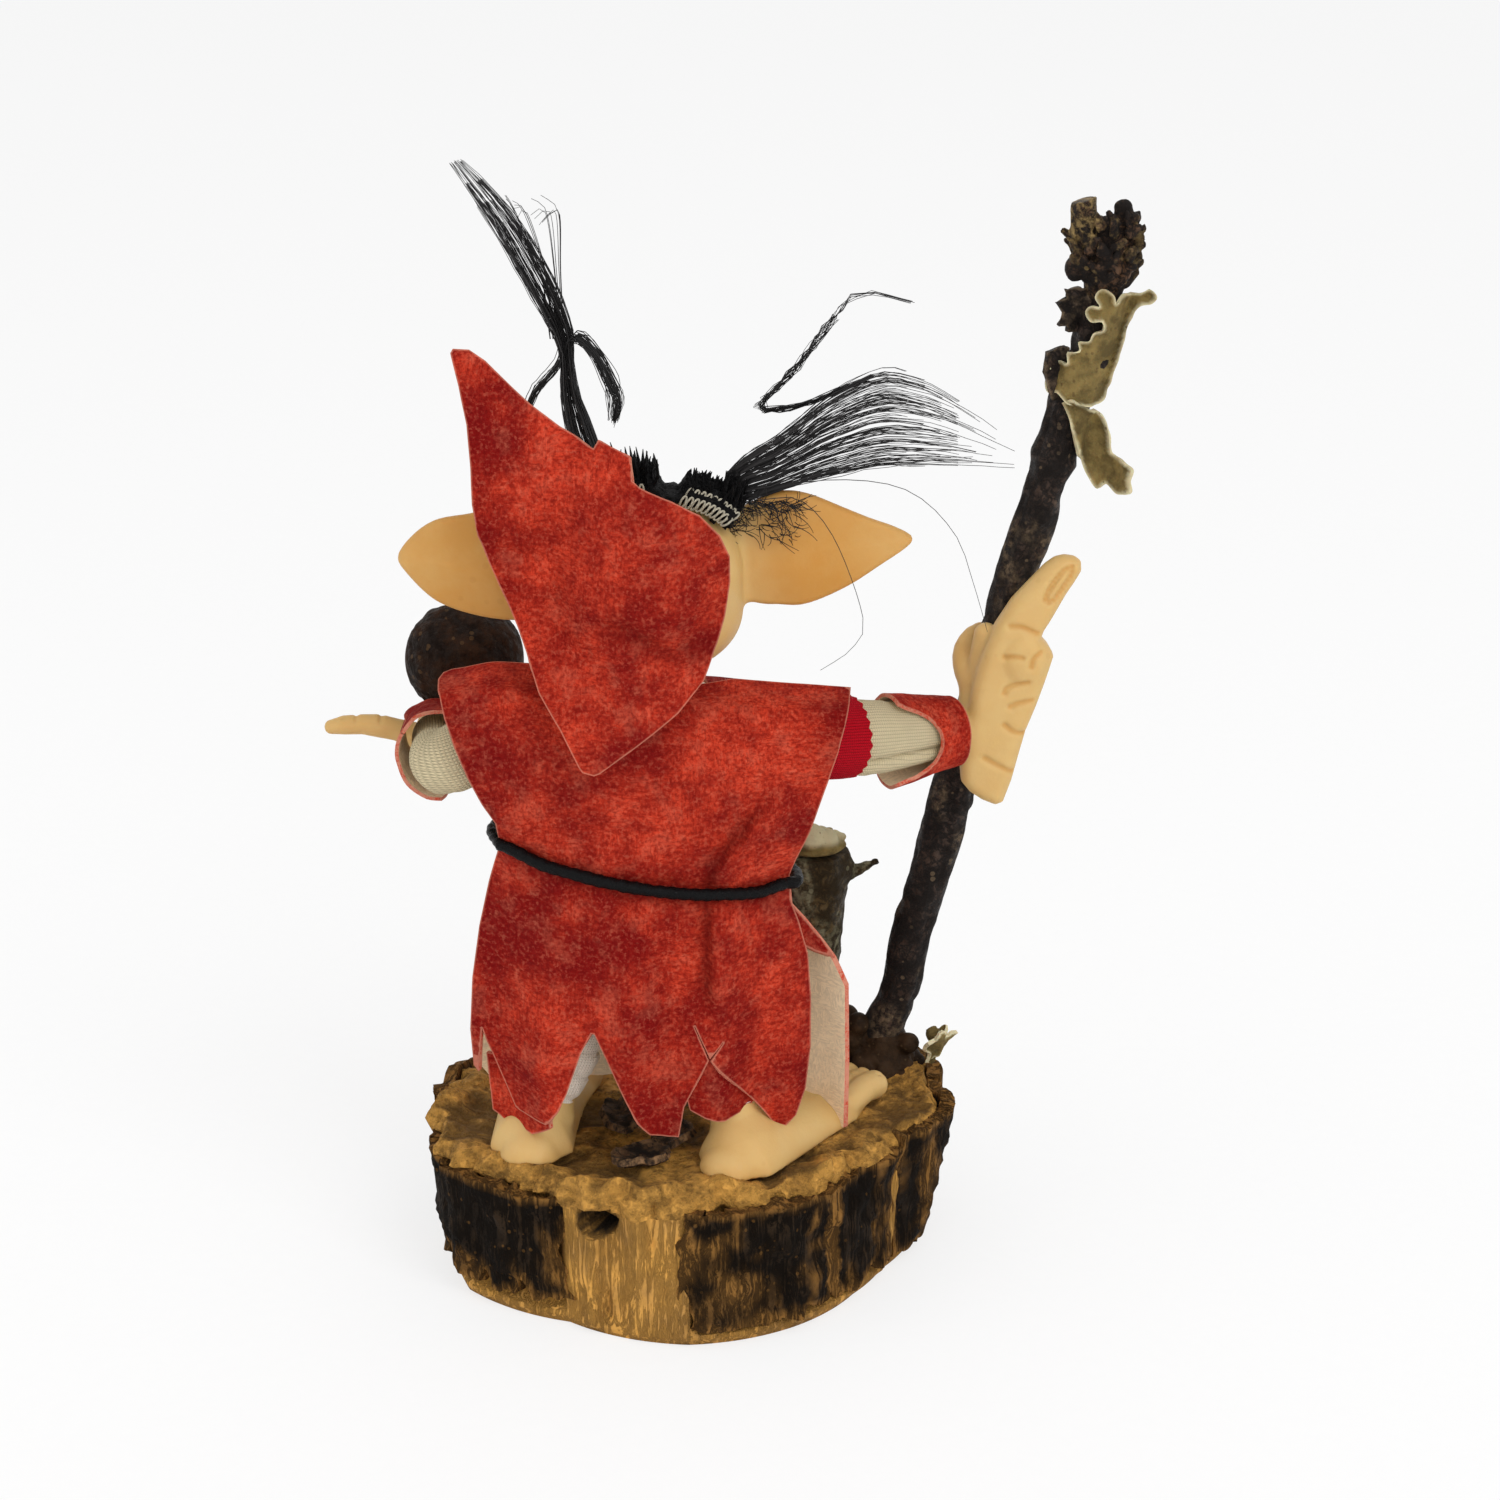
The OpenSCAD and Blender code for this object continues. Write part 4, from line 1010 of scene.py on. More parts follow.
class ELF_OT_stage(bpy.types.Operator):
    """Pale floor, soft light and the camera"""

    bl_idname = "elf.stage"
    bl_label = "Stage"

    def execute(self, context):
        own = settings().stage
        scene = context.scene
        scene.view_settings.view_transform = "Standard"
        mesh = bpy.data.meshes.new("floor")
        mesh.from_pydata([(-4, -4, 0), (4, -4, 0), (4, 4, 0), (-4, 4, 0)], [], [(0, 1, 2, 3)])
        floor = bpy.data.objects.new("floor", mesh)
        scene.collection.objects.link(floor)
        material = bpy.data.materials.new("floor_paper")
        material.use_nodes = True
        tree = material.node_tree
        FILLING.append(tree)
        paper = blotches(node("TexCoord")["Object"], 0.002, own.floor, tone(own.floor, 0.985))
        surface(paper["Color"], 0.9, 0.1)
        glow = node("Emission", {"Color": WHITE, "Strength": 1.0})[0]
        paper_shader = tree.nodes["Principled BSDF"].outputs[0]
        lit = node("MixShader", {0: times(looked_at(), 0.7), 1: paper_shader, 2: glow})[0]
        fill_in(tree.nodes["Material Output"], {"Surface": lit})
        FILLING.pop()
        mesh.materials.append(material)

        for name, power, size, at in (
                ("key", own.key, 0.6, (0.55, -0.75, 0.95)), ("fill", own.fill, 0.8, (-0.85, -0.4, 0.6)),
                ("front", own.front, 0.5, (0.2, -1.1, 0.4))):
            lamp = bpy.data.lights.new(name, "AREA")
            lamp.energy, lamp.size = power, size
            holder = bpy.data.objects.new(name, lamp)
            holder.location = at
            sight = Vector((0, 0, 0.07)) - holder.location
            holder.rotation_euler = sight.to_track_quat("-Z", "Y").to_euler()
            scene.collection.objects.link(holder)

        world = bpy.data.worlds.new("room")
        world.use_nodes = True
        FILLING.append(world.node_tree)
        strength = spread(looked_at(), 0, 1, own.sky, 1.0)
        fill_in(world.node_tree.nodes["Background"], {"Color": WHITE, "Strength": strength})
        FILLING.pop()
        scene.world = world

        lens = bpy.data.cameras.new("camera")
        lens.sensor_width, lens.lens = 36, 80.64
        camera = bpy.data.objects.new("camera", lens)
        camera.location = (0.0076, -0.39467, 0.21245)
        camera.rotation_euler = (math.radians(70), 0, 0)
        scene.collection.objects.link(camera)
        scene.camera = camera
        return {"FINISHED"}


def make_wood_slice():
    n = 300
    angle = arange(n) * 360 / n
    cover = bark_cover(angle)
    under = minimum(slice_r(angle, 0), slice_r(angle, 1)) - 2.6
    rings, hole_shades = [], []
    for z in concatenate([linspace(0, TOP - 1, 34), [TOP - 0.5]]):
        bare = slice_r(angle, z / TOP) - 1.0
        at = polar(angle, bare, z)
        fibre = 1.1 * rough(at * (1, 1, 0.16), 3.2, 4, 3) - 0.9 * bell(noise(at * (1, 1, 0.12), 5, 8), 0.12)
        ledge = smooth(TOP - 3.6, TOP - 2.4, z + 0.7 * rough(at, 4, 3, 7))
        radius = bare + fibre * smooth(0, 3, z) + (under - bare) * cover * (
            1 - minimum(ledge + smooth(2.8, 1.6, z), 1))
        radius -= smooth(TOP - 2.2, TOP, z) * (0.9 + 0.9 * rough(at, 3, 4, 5)) - 0.5 * ledge * rough(
            at, 1.5, 2, 10)
        radius -= 0.7 * smooth(1.2, 0, z)
        knot = hypot((angle - 244.5) * math.radians(27) / 2.3, (z - 15.5) / 1.6) + 0.15 * noise(at, 1.5, 9)
        radius -= 6.0 * smooth(1.1, 0.75, knot)
        # Painted shade inside the knot hole
        hole_shades.append(smooth(1.25, 1.0, knot))
        rings.append(polar(angle, radius, z))
    edge = hypot(rings[-1][:, 0], rings[-1][:, 1])
    for share in concatenate([[0.985, 0.965], linspace(0.94, 0.04, 34)]):
        at = polar(angle, edge * share, TOP)
        lumps = rough(at, 7, 5, 4) * 0.55 + 0.4 * rough(at, 2.4, 3, 12) - 0.6
        rim = smooth(0.8, 0.98, share)
        z = TOP + minimum(lumps, -0.02) + rim * (0.6 + 0.9 * rough(at, 4, 4, 6))
        rings.append(polar(angle, edge * share, z))
        # Painted shade in the low spots of the top
        hole_shades.append(smooth(-0.35, -0.9, lumps) * 0.8)
    rings = array(rings)
    count = len(rings)
    points = vstack([rings.reshape(-1, 3), [(0, 0, 0)], [(0, 0, TOP - 0.5)]])
    faces = quads(count, n) + caps(count, n)
    kind = [int(i >= 29) for i in range(count - 1) for _ in range(n)] + [0, 1] * n
    flat = points[[i for face in faces for i in face]][:, :2]
    add_piece(
        "slice_wood", (points, faces, flat, kind), "slice_wood", "stripped_wood crumbled_wood", "wood_slice",
              hole=concatenate([np.ravel(hole_shades), [0, 0]]))


class ELF_OT_wood_slice(bpy.types.Operator):
    """Slice of a branch with stripped, fibrous sides and a crumbled top"""

    bl_idname = "elf.wood_slice"
    bl_label = "Wood slice"

    def execute(self, context):
        make_wood_slice()
        return {"FINISHED"}


def make_bark():
    girth = 30.0
    for number, (first, last, rise, low, bare) in enumerate(BARK_PLATES):
        left, right = math.radians(first) * girth, math.radians(last) * girth
        across, up = linspace(left, right, 90), linspace(0, 1, 24)
        top = TOP + 0.2 + rise * (sin(linspace(0.2, pi - 0.2, 90)) if rise > 1 else 1.0)
        seat = xyz(across, full(90, 5.0 * number), zeros(90))
        lower = low + 1.7 * abs(rough(seat, 4, 4, 20)) + (
            2.6 * maximum(0, noise(seat, 1.9, 23)) if low > 2 else 0)
        upper = top - 1.1 * abs(rough(seat, 5, 4, 21))
        side = xyz(zeros(24), full(24, 7.0 * number), up * 20)
        start, end = left + 1.3 * rough(side, 6, 4, 22), right + 1.3 * rough(side, 6, 4, 24)
        outline = vstack([
            stack([across[1:-1], lower[1:-1]], 1),
            stack([end, lower[-1] + up * (upper[-1] - lower[-1])], 1),
            stack([across[1:-1], upper[1:-1]], 1)[::-1],
            stack([start, lower[0] + up * (upper[0] - lower[0])], 1)[::-1]
        ])

        def place(flat):
            angle, z = np.degrees(flat[:, 0] / girth), flat[:, 1]
            radius = slice_r(angle, clip(z / TOP, 0, 1))
            at = polar(angle, radius, z)
            edge = minimum(flat[:, 0] - left, right - flat[:, 0])
            plates = cracks(at * (1, 1, 0.6), 7, 3, 30)
            deep = 0.7 if number == 0 else 1.3
            relief = deep * (minimum(plates, 0.9) - 0.65) + 0.45 * rough(at, 2.4, 4, 33)
            return polar(angle, radius + relief - 0.7 * smooth(2.5, 0, edge), z)

        made = sheet(outline, 0.75, place, 2.0)
        points = made[0]
        depth = cracks(points * (1, 1, 0.6), 7, 3, 30)
        patch = smooth(0.0 - bare, 0.8 - bare, rough(points * (1, 1, 0.7), 4.5, 4, 36) - 0.25)
        strip = smooth(0.5, 0.0, abs(np.degrees(np.arctan2(points[:, 1], points[:, 0])) + 47) - 2.5) * (
            number == 1)
        valley = 0.4 * smooth(0.3, 0.1, depth) * (number > 0)
        worn = patch * smooth(0.2, 0.6, depth) + strip + valley + 0.9 * smooth(1.0, 0.2, made[4])
        add_piece(f"bark_plate_{number + 1}", made, "bark", "bark_plate", "" if number else "bark", worn=worn)


class ELF_OT_bark(bpy.types.Operator):
    """Bark plates with fissures and ragged edges round the slice, and curled bits of it between the feet"""

    bl_idname = "elf.bark"
    bl_label = "Bark"

    def execute(self, context):
        make_bark()
        make_bark_chips()
        return {"FINISHED"}


def sideways(turn, reach, high=0.0):
    """A step of that reach in a direction in radians, and up"""
    return array([reach * math.cos(turn), reach * math.sin(turn), high])


def ragged(width, height, seed, count=34, bite=0.16):
    """A torn outline about width by height"""
    turn = linspace(0, 2 * pi, count, endpoint=False)
    ring = xyz(cos(turn), sin(turn), full(count, seed * 3.1))
    reach = 1 + bite * 2 * rough(ring, 0.7, 4, seed)
    return stack([width / 2 * reach * cos(turn), height / 2 * reach * sin(turn)], 1)


def make_bark_chips():
    """Curled bark and leaf bits"""
    chips = [(-6, -17, 20, 7.6, 4.6), (-2, -11, 65, 6.6, 4), (-9, -6, 110, 7.4, 4.2), (0, 4, 35, 6.8, 4.4)]
    for number, (x, y, turn, wide, deep) in enumerate(chips):
        c, s = math.cos(math.radians(turn)), math.sin(math.radians(turn))

        def place(flat):
            u, v = flat.T
            lift = 0.16 * v ** 2 + 0.03 * u ** 2 + 0.4 * rough(xyz(u, v, 0 * u + number), 2.4, 3, 40)
            return xyz(x + c * u - s * v, y + s * u + c * v, TOP + 1.05 + lift)

        made = sheet(ragged(wide, deep, number + 2), 0.4, place, 0.9)
        worn = smooth(0.5, 0.1, made[4]) + 0.35 * (rough(made[0], 2, 2, 41) > 0.2)
        add_piece(
            f"bark_chip_{number + 1}", made, "bark", "dry_leaf", "" if number else "bark_chips", worn=worn)


def make_stump():
    path = STUMP_FOOT + linspace(0, 1, 70)[:, None] * (STUMP_TOP - STUMP_FOOT)
    share = linspace(0, 1, 70)
    radius = 4.8 * interp(share, [0, 0.08, 0.35, 0.6, 0.85, 1], [1.12, 1.04, 0.98, 1.02, 1, 0.96])

    def relief(at, along, turn):
        knob = norm(at - (20.4, 14.2, 47.0), axis=-1)
        groove = cracks(at * (1, 1, 0.3), 4, 3, 50)
        return 0.7 * groove - 0.55 + 0.2 * rough(at, 1.5, 3, 51) + 1.1 * bell(knob, 2.2)

    post = tube(path, radius, None, 56, (0, 1, 0), relief=relief)
    root = array([19.6, 14.2, 46.6])
    thorn = tube(
        curve([root - (1, 0, 0), root + (1.6, 0, 0.2), root + (3.2, 0, 0.9), root + (4.8, 0, 1.6)], 22),
                 interp(linspace(0, 1, 22), [0, 0.3, 0.7, 1], [1.5, 1.15, 0.6, 0.14]), None, 16,
                 relief=lambda at, along, turn: 0.22 * rough(at, 1.1, 3, 52))
    made = join([post, thorn])
    worn = smooth(0.1, 0.7, rough(made[0] * (1, 1, 0.5), 4, 3, 53)) * 0.8
    add_piece("stump_post", made, "stump_wood", "stump_bark", "stump", worn=worn)

    cap = Clay(STUMP_TOP - (7, 7, 1.5), STUMP_TOP + (7, 7, 7), 0.22)
    cap.ball(STUMP_TOP + (0, 0, 0.7), (4.3, 4.3, 0.85), 0.4)
    spots = np.random.default_rng(7)
    for _ in range(34):
        turn, reach = spots.uniform(0, 2 * pi), 4.0 * math.sqrt(spots.uniform())
        size = spots.uniform(0.5, 1.1)
        high = 1.0 + spots.uniform(0, 1.4) * (1.4 - reach / 4)
        cap.ball(STUMP_TOP + sideways(turn, reach, high), (size, size, 0.6 * size), 0.25)
    for x, y, z, size in (
            (-2.4, -1.6, 2.2, 1.8), (-0.2, -2.6, 2.6, 1.7), (1.8, -2.0, 1.9, 1.5), (-3.4, -2.6, 0.4, 1.6)):
        cap.ball(STUMP_TOP + (x, y, z), (size, size, 1.1 * size), 0.6)
    made = cap.skin(0.4)
    rim = smooth(STUMP_TOP[2] + 1.2, STUMP_TOP[2] + 2.4, made[0][:, 2]) * 0.7
    add_piece("stump_cap", made, "lichen", "lichen", "stump_lichen", rim=rim)


class ELF_OT_stump(bpy.types.Operator):
    """Dark twig post with a thorn and lichen on its top"""

    bl_idname = "elf.stump"
    bl_label = "Stump"

    def execute(self, context):
        make_stump()
        return {"FINISHED"}


def staff_line(count):
    """Middle line of the staff, from its foot to its top"""
    low, high = GRIP - 13.5 * unit((7, -1, 27.7)), GRIP + 14.5 * unit((7, -1, 27.7))
    steps = [STAFF_FOOT, STAFF_FOOT + (0.2, 0, 5)]
    steps += [STAFF_FOOT + t * (low - STAFF_FOOT) for t in (0.3, 0.5, 0.75)]
    steps += [low, GRIP, high]
    steps += [high + t * (STAFF_END - high) for t in (0.25, 0.5, 0.56, 0.62, 0.8, 1)]
    return curve(steps + [STAFF_END + (0, 0, 1.5)], count)


def make_staff():
    path = staff_line(240)
    share = linspace(0, 1, 240)
    size = 2.6 * interp(share, [0, 0.2, 0.48, 0.52, 0.66, 0.77, 0.79, 0.81, 0.9, 1],
                           [1.02, 1.04, 1.05, 1, 1, 0.95, 1.14, 0.95, 0.92, 0.86])
    knots = [
        (0.36, 0.6, 1.0), (0.45, 3.6, 0.8), (0.69, 1.4, 0.9), (0.73, 4.9, 1.1), (0.86, 2.4, 0.8),
        (0.92, 5.4, 0.9)
    ]
    held = bell(share - 0.5, 0.085)

    def relief(at, along, turn):
        push = 0.34 * rough(at * (1, 1, 0.45), 3.2, 4, 60) - 0.3 * bell(noise(at * (1, 1, 0.2), 3, 63), 0.16)
        push = push * (1 - 0.75 * held[:, None])
        far = along / along.max()
        for level, side, high in knots:
            gap = abs((turn - side + pi) % (2 * pi) - pi)
            push = push + high * bell(far - level, 0.012) * bell(gap, 0.5)
        return push

    made = tube(path, size, None, 32, (0, 1, 0), relief=relief)
    worn = smooth(0.15, 0.75, rough(made[0] * (1, 1, 0.6), 5, 3, 64)) * 0.7
    add_piece("staff_twig", made, "staff_wood", "staff_bark", "staff", worn=worn)

    foot = STAFF_END + (0, 0, 1.5)
    bud = Clay(foot - (8, 8, 3), foot + (8, 8, 14), 0.22)
    bud.limb([foot, foot + (0.1, 0, 3), foot + (0.1, 0, 6.2)], [2.4, 2.9, 2.4], 0.8)
    bud.limb(
        [foot + (-1.8, 0, 3.4), foot + (-2.7, -0.2, 7), foot + (-2.9, -0.3, 11.4)], [1.7, 1.6, 1.55], 0.5)
    bud.limb([foot + (1.7, 0, 4), foot + (2.4, 0, 7.4), foot + (1.9, -0.2, 9.6)], [1.7, 1.5, 1.1], 0.5)
    bud.ball(foot + (-3.6, -0.6, 2.4), (1.3, 1.4, 1.6), 0.4)
    spots = np.random.default_rng(21)
    for _ in range(110):
        turn, high = spots.uniform(0, 2 * pi), spots.uniform(0.4, 8.4)
        wide = interp(high, [0, 2, 4.5, 7, 9], [2.3, 3.1, 3.7, 3.5, 2.9])
        out = array([math.cos(turn), 0.85 * math.sin(turn), 0])
        base = foot + wide * out + (0, 0, high)
        tip = base + spots.uniform(0.9, 2.0) * unit(0.55 * out + (*spots.normal(0, 0.45, 2), 0.8))
        bud.limb([base, tip], [0.75, 0.45], 0.15, flat=out + spots.normal(0, 0.4, 3), press=2.0)
    low, high = foot + (-6, -4, 9), foot + (-0.9, 4, 14)
    bud.shape(low, high, lambda p: foot[2] + 10.6 + 0.3 * (p[..., 0] - foot[0] + 2.9) - p[..., 2], 0.15, True)
    points, faces, flat = bud.skin()
    points = points + 0.12 * rough(points, 0.9, 3, 66)[:, None] * unit((1, 1, 1))
    x, _, z = (points - foot).T
    sawn = smooth(9.2, 10.0, z - 0.3 * (x + 2.9)) * (x < -1)
    stub = 1.2 * smooth(5, 7.5, z) * (x < -1.2)
    worn = sawn + stub + 0.35 * (rough(points, 2, 3, 67) > 0.3)
    add_piece("staff_top", (points, faces, flat), "staff_wood", "bud_scales", "staff_bud", worn=worn)

    flakes = [
        [
            (47.1, 126.3), (45.6, 125.9), (45.9, 124.9), (44.8, 124.4), (45.3, 123.2), (44.9, 121.9),
            (46.0, 121.6), (46.2, 120.8), (48.4, 120.7), (48.9, 122.4), (48.8, 124.8), (48.3, 126.2)
        ],
        [
            (45.3, 119), (43.7, 118.4), (43.5, 115.9), (43.9, 113.8), (44.4, 112.4), (46.3, 112.3),
            (46.8, 114.8), (46.6, 117), (46.4, 118.9)
        ]
    ]
    for number, outline in enumerate(flakes):
        def place(flat):
            x, z = flat.T
            curl, dents = (0.35, 0.18) if number else (0.5, 0.5)
            lift = 0.6 * abs(47.0 - x) ** 1.2 * curl + dents * rough(xyz(x, z, 0 * x), 1.4, 3, 68)
            return xyz(x, 5.4 - lift, z)

        made = sheet(outline, 0.3, place, 0.7)
        worn = 0.7 * smooth(0.35, 0.1, made[4]) + 0.25 * (rough(made[0], 1.6, 2, 69) > 0.2)
        stands_for = "" if number else "staff_bark_flakes"
        add_piece(f"staff_flake_{number + 1}", made, "staff_wood", "staff_bark", stands_for, worn=worn)


class ELF_OT_staff(bpy.types.Operator):
    """Bent twig with knots, its bud and its loose bark flakes"""

    bl_idname = "elf.staff"
    bl_label = "Staff"

    def execute(self, context):
        make_staff()
        return {"FINISHED"}


def make_lichen():
    upper = [
        (48.6, 112.2), (47.1, 112.4), (46.3, 113.5), (45.3, 113.2), (45.1, 114.6), (45.9, 115.3),
        (45.4, 116.3), (46.2, 117.3), (47.3, 117.3), (47.4, 118.6), (48.7, 119), (48.6, 120.1),
        (49.8, 120.3), (50.2, 121.3), (51.5, 121.6), (51.2, 122.8), (50, 122.6), (49.3, 123.6),
        (49.8, 124.6), (50.9, 124.6), (50.3, 125.7), (51.2, 126.6), (52.6, 126), (53, 124.8), (54.1, 125.9),
        (55.7, 125.7), (57, 126.4), (57.9, 125.6), (57.3, 124.6), (56, 124.2), (55, 122.4), (54.4, 120.4),
        (53.9, 118.3), (53.2, 115.8), (52.2, 112.9), (50.4, 112)
    ]
    lower = [
        (46.4, 112.4), (47.8, 112.9), (49.2, 111.7), (50.7, 110.3), (51.4, 108.4), (51.7, 106.2),
        (52.8, 105.4), (53.9, 104.7), (53.6, 103.2), (53.7, 102), (52.4, 101.4), (51.2, 102.1),
        (50.2, 101.3), (49.2, 102.6), (48.5, 104), (47.9, 106), (47.2, 108), (46.5, 110.2)
    ]
    staff_x = lambda z: 40.2 + (z - 86) * 10.2 / 38.7

    def ruffle(flat, curl, seed):
        x, z = flat.T
        x = x - 1.4 * smooth(110, 114, z)
        spot = xyz(x, z, 0 * x)
        reach = x - staff_x(z)
        wrap = 3.2 * sqrt(maximum(1 - (reach / 3.2) ** 2, 0.09))
        free = maximum(abs(reach) - 2.8, 0)
        y = 8.0 - (z - 86) * 0.0517 - wrap - curl * free ** 2
        return xyz(x, y - 0.3 * rough(spot, 2.2, 3, seed) * smooth(1.5, 3, abs(reach)), z)

    for name, outline, node_name, curl, seed in (("staff_lichen_top", upper, "staff_lichen_upper", 0.04, 70),
                                                 ("staff_lichen_frond", lower, "staff_lichen_lower", 0.12,
                                                 74)):
        outline = [tuple(p) for p in curve(outline + outline[:1], 160)[:-1]]
        made = sheet(outline, 0.28, lambda flat: ruffle(flat, curl, seed), 0.5)
        points = made[0]
        lobes = 0.5 + 0.5 * noise(points, 1.3, seed + 3)
        points[:, 1] -= 1.5 * smooth(1.1, 0.0, made[4]) * lobes
        add_piece(name, made, "lichen", "lichen lichen_under lichen", node_name,
                  rim=smooth(0.4, 0.08, made[4]) * (0.4 + 0.8 * lobes))

    for number, (turn, tall, wide) in enumerate([(-50, 5.6, 5.2), (40, 4.8, 4.6)]):
        root = STAFF_FOOT + (6.4, -1, 0.8)
        ahead = sideways(math.radians(turn), 1)
        across = array([-ahead[1], ahead[0], 0])

        def place(flat):
            u, v = flat[:, 0], flat[:, 1] + tall / 2
            spot = xyz(u, v, 0 * u + number * 4)
            out = 0.5 + 0.55 * v + 0.5 * rough(spot, 1.8, 3, 78)
            wide = u * (0.25 + 0.15 * v)
            return root + out[:, None] * ahead + wide[:, None] * across + v[:, None] * array([0, 0, 0.95])

        made = sheet(ragged(wide, tall, 5 + number, 40, 0.2), 0.3, place, 0.5)
        add_piece(f"base_lichen_{number + 1}", made, "lichen", "lichen lichen_under lichen",
                  "" if number else "base_lichen", rim=smooth(0.4, 0.1, made[4]))


class ELF_OT_lichen(bpy.types.Operator):
    """Lobed lichen plates on the staff and by its foot"""

    bl_idname = "elf.lichen"
    bl_label = "Lichen"

    def execute(self, context):
        make_lichen()
        return {"FINISHED"}


def make_glue():
    blob = Clay(STAFF_FOOT - (11, 10, 1), STAFF_FOOT + (11, 10, 12), 0.3)
    blob.limb([STAFF_FOOT, STAFF_FOOT + (0.4, 0, 3.4)], [5.0, 3.3], 1.6)
    spots = np.random.default_rng(31)
    for _ in range(44):
        turn, reach = spots.uniform(0, 2 * pi), spots.uniform(2.6, 5.3)
        size = spots.uniform(0.5, 1.5)
        high = max(0.3, (5.2 - reach) * spots.uniform(0.5, 1.4))
        blob.ball(STAFF_FOOT + sideways(turn, reach, high), (size, size, 0.8 * size), 0.5)
    for turn, reach, high, size in (
            (195, 4.2, 4.2, 2.1), (160, 4.6, 6.2, 1.6), (215, 3.6, 6.8, 1.5), (330, 4.4, 4.0, 1.4)):
        blob.ball(STAFF_FOOT + sideways(math.radians(turn), reach, high), size, 0.9)
    for _ in range(18):
        turn, high = spots.uniform(0, 2 * pi), spots.uniform(0.6, 4)
        blob.ball(
            STAFF_FOOT + sideways(turn, 5.2 - 0.45 * high, high), spots.uniform(0.3, 0.6), 0.12, carve=True)
    blob.shape(
        STAFF_FOOT - (11, 10, 1), STAFF_FOOT + (11, 10, 0.4), lambda p: p[..., 2] - TOP + 0.3, 0.1, True)
    add_piece("staff_foot_glue", blob.skin(0.5), "glue", "set_glue", "staff_glue")


class ELF_OT_glue(bpy.types.Operator):
    """Lumpy set glue with bubbles round the staff's foot"""

    bl_idname = "elf.glue"
    bl_label = "Glue"

    def execute(self, context):
        make_glue()
        return {"FINISHED"}


# Feet, body, arms and hands

LEFT_SHOULDER = array([-22.2, -9.0, 75.0])
UPPER_ARM = unit((-0.83, -0.05, -0.56))
RIGHT_SHOULDER = array([12.5, -9.5, 73.6])
RIGHT_WRIST = array([33.2, 2.9, 70.4])
RIGHT_ARM = unit(RIGHT_WRIST - RIGHT_SHOULDER)
GRIP_DIR = unit((7, -1, 27.7))
NUT = array([-29.0, 14.2, 76.1])
FOOT_LENGTH, FOOT_WIDTH = 27, 12.4
LEGS = {"left": ((-19.6, -12, TOP), (-11.5, -9, TOP + 24)), "right": ((7, -16, TOP), (1.5, -9.5, TOP + 24))}


def make_feet():
    for name, aim, back in (("left", unit((0.1, 1, 0)), 0.14), ("right", unit((0.53, 0.85, 0)), 0.16)):
        ankle = array(LEGS[name][0], float)
        shin = unit(array(LEGS[name][1], float) - ankle)
        heel = ankle - back * FOOT_LENGTH * aim
        side = array([aim[1], -aim[0], 0])
        out = 1 if name == "right" else -1
        corners = array([heel + s * 28 * aim + t * 9 * side for s in (-0.1, 1.1) for t in (-1, 1)])
        low, high = corners.min(0) - (1, 1, 1), corners.max(0) + (1, 1, 13)
        clay = Clay(low, high, 0.33)
        share = [0, 0.06, 0.3, 0.55, 0.78, 0.92]
        half = 6.2 * array([0.62, 0.86, 0.86, 0.88, 1, 0.86])
        tall = 5.6 * array([0.6, 0.82, 0.92, 0.78, 0.56, 0.44])

        def body(p):
            along = (p - heel) @ aim
            across = (p - heel) @ side
            rise = p[..., 2] - TOP
            wide = interp(along / FOOT_LENGTH, share, half)
            high = interp(along / FOOT_LENGTH, share, tall)
            across = across - 0.6 * out * sin(clip(along / FOOT_LENGTH, 0, 1) * 3.1)
            end = maximum(maximum(-along + 0.3, along - 25), 0) / 3.0
            around = sqrt((across / wide) ** 2 + (maximum(rise, 0) / high) ** 2 + end ** 2)
            return (around - 1) * minimum(wide, high)

        clay.shape(low, high, body, 0.3)
        clay.limb([ankle + (0, 0, 2.5), ankle + 5.2 * shin, ankle + 8.2 * shin], [3.7, 3.1, 2.9], 2.2)
        for s in (-1, 1):
            clay.ball(ankle + 4.2 * shin + 2.6 * s * side, (0.9, 0.9, 1.0), 1.2)
        for k in range(-2, 3):
            r = FOOT_WIDTH * (0.15 if k == -2 else 0.125)
            root = heel + 0.86 * FOOT_LENGTH * aim - out * k * FOOT_WIDTH * 0.19 * side + array(
                [0, 0, 0.95 * r])
            reach = ((0.24 if out > 0 else 0.17) - 0.014 * k * k) * FOOT_LENGTH
            tip = root + reach * aim
            knuckle = root + 0.55 * reach * aim + (0, 0, 0.45)
            clay.limb([root - 2 * aim, knuckle, tip], [0.95 * r, 1.0 * r, 1.04 * r], 0.35)
            crease = [root + 0.6 * reach * aim + s * 0.8 * r * side + (0, 0, 1.1 * r) for s in (1, -1)]
            clay.limb(crease, 0.16, 0.2, carve=True)
            nail = tip + 0.28 * r * aim + array([0, 0, 0.78 * r])
            ring = [nail + 0.55 * r * (math.cos(a) * aim + math.sin(a) * side)
                    + array([0, 0, -0.12 * math.cos(a) * r])
                    for a in linspace(0, 2 * pi, 13)]
            clay.limb(ring, 0.14, 0.12, carve=True)
        for k in (-1, 0, 1):
            line = heel + 0.7 * FOOT_LENGTH * aim + k * 2.4 * side
            clay.limb([line + (0, 0, 3.2), line + 4 * aim + 0.25 * k * side + (0, 0, 2.3)], 0.5, 0.8)
        clay.shape(low, (*high[:2], TOP + 1.2), lambda p: p[..., 2] - TOP, 0.15, True)
        made = clay.skin(0.5)
        # Painted shade along the bottom of each foot, where it meets the slice, with random tint
        tint = 0.25 * smooth(TOP + 2.5, TOP, made[0][:, 2]) + 0.2 * smooth(0.1, 0.6, noise(made[0], 4, 80))
        add_piece(f"{name}_foot_cast", made, "skin", "rubber", f"{name}_foot", tint=tint)


class ELF_OT_feet(bpy.types.Operator):
    """Cast rubber feet with toes, nails and ankles"""

    bl_idname = "elf.feet"
    bl_label = "Feet"

    def execute(self, context):
        make_feet()
        return {"FINISHED"}


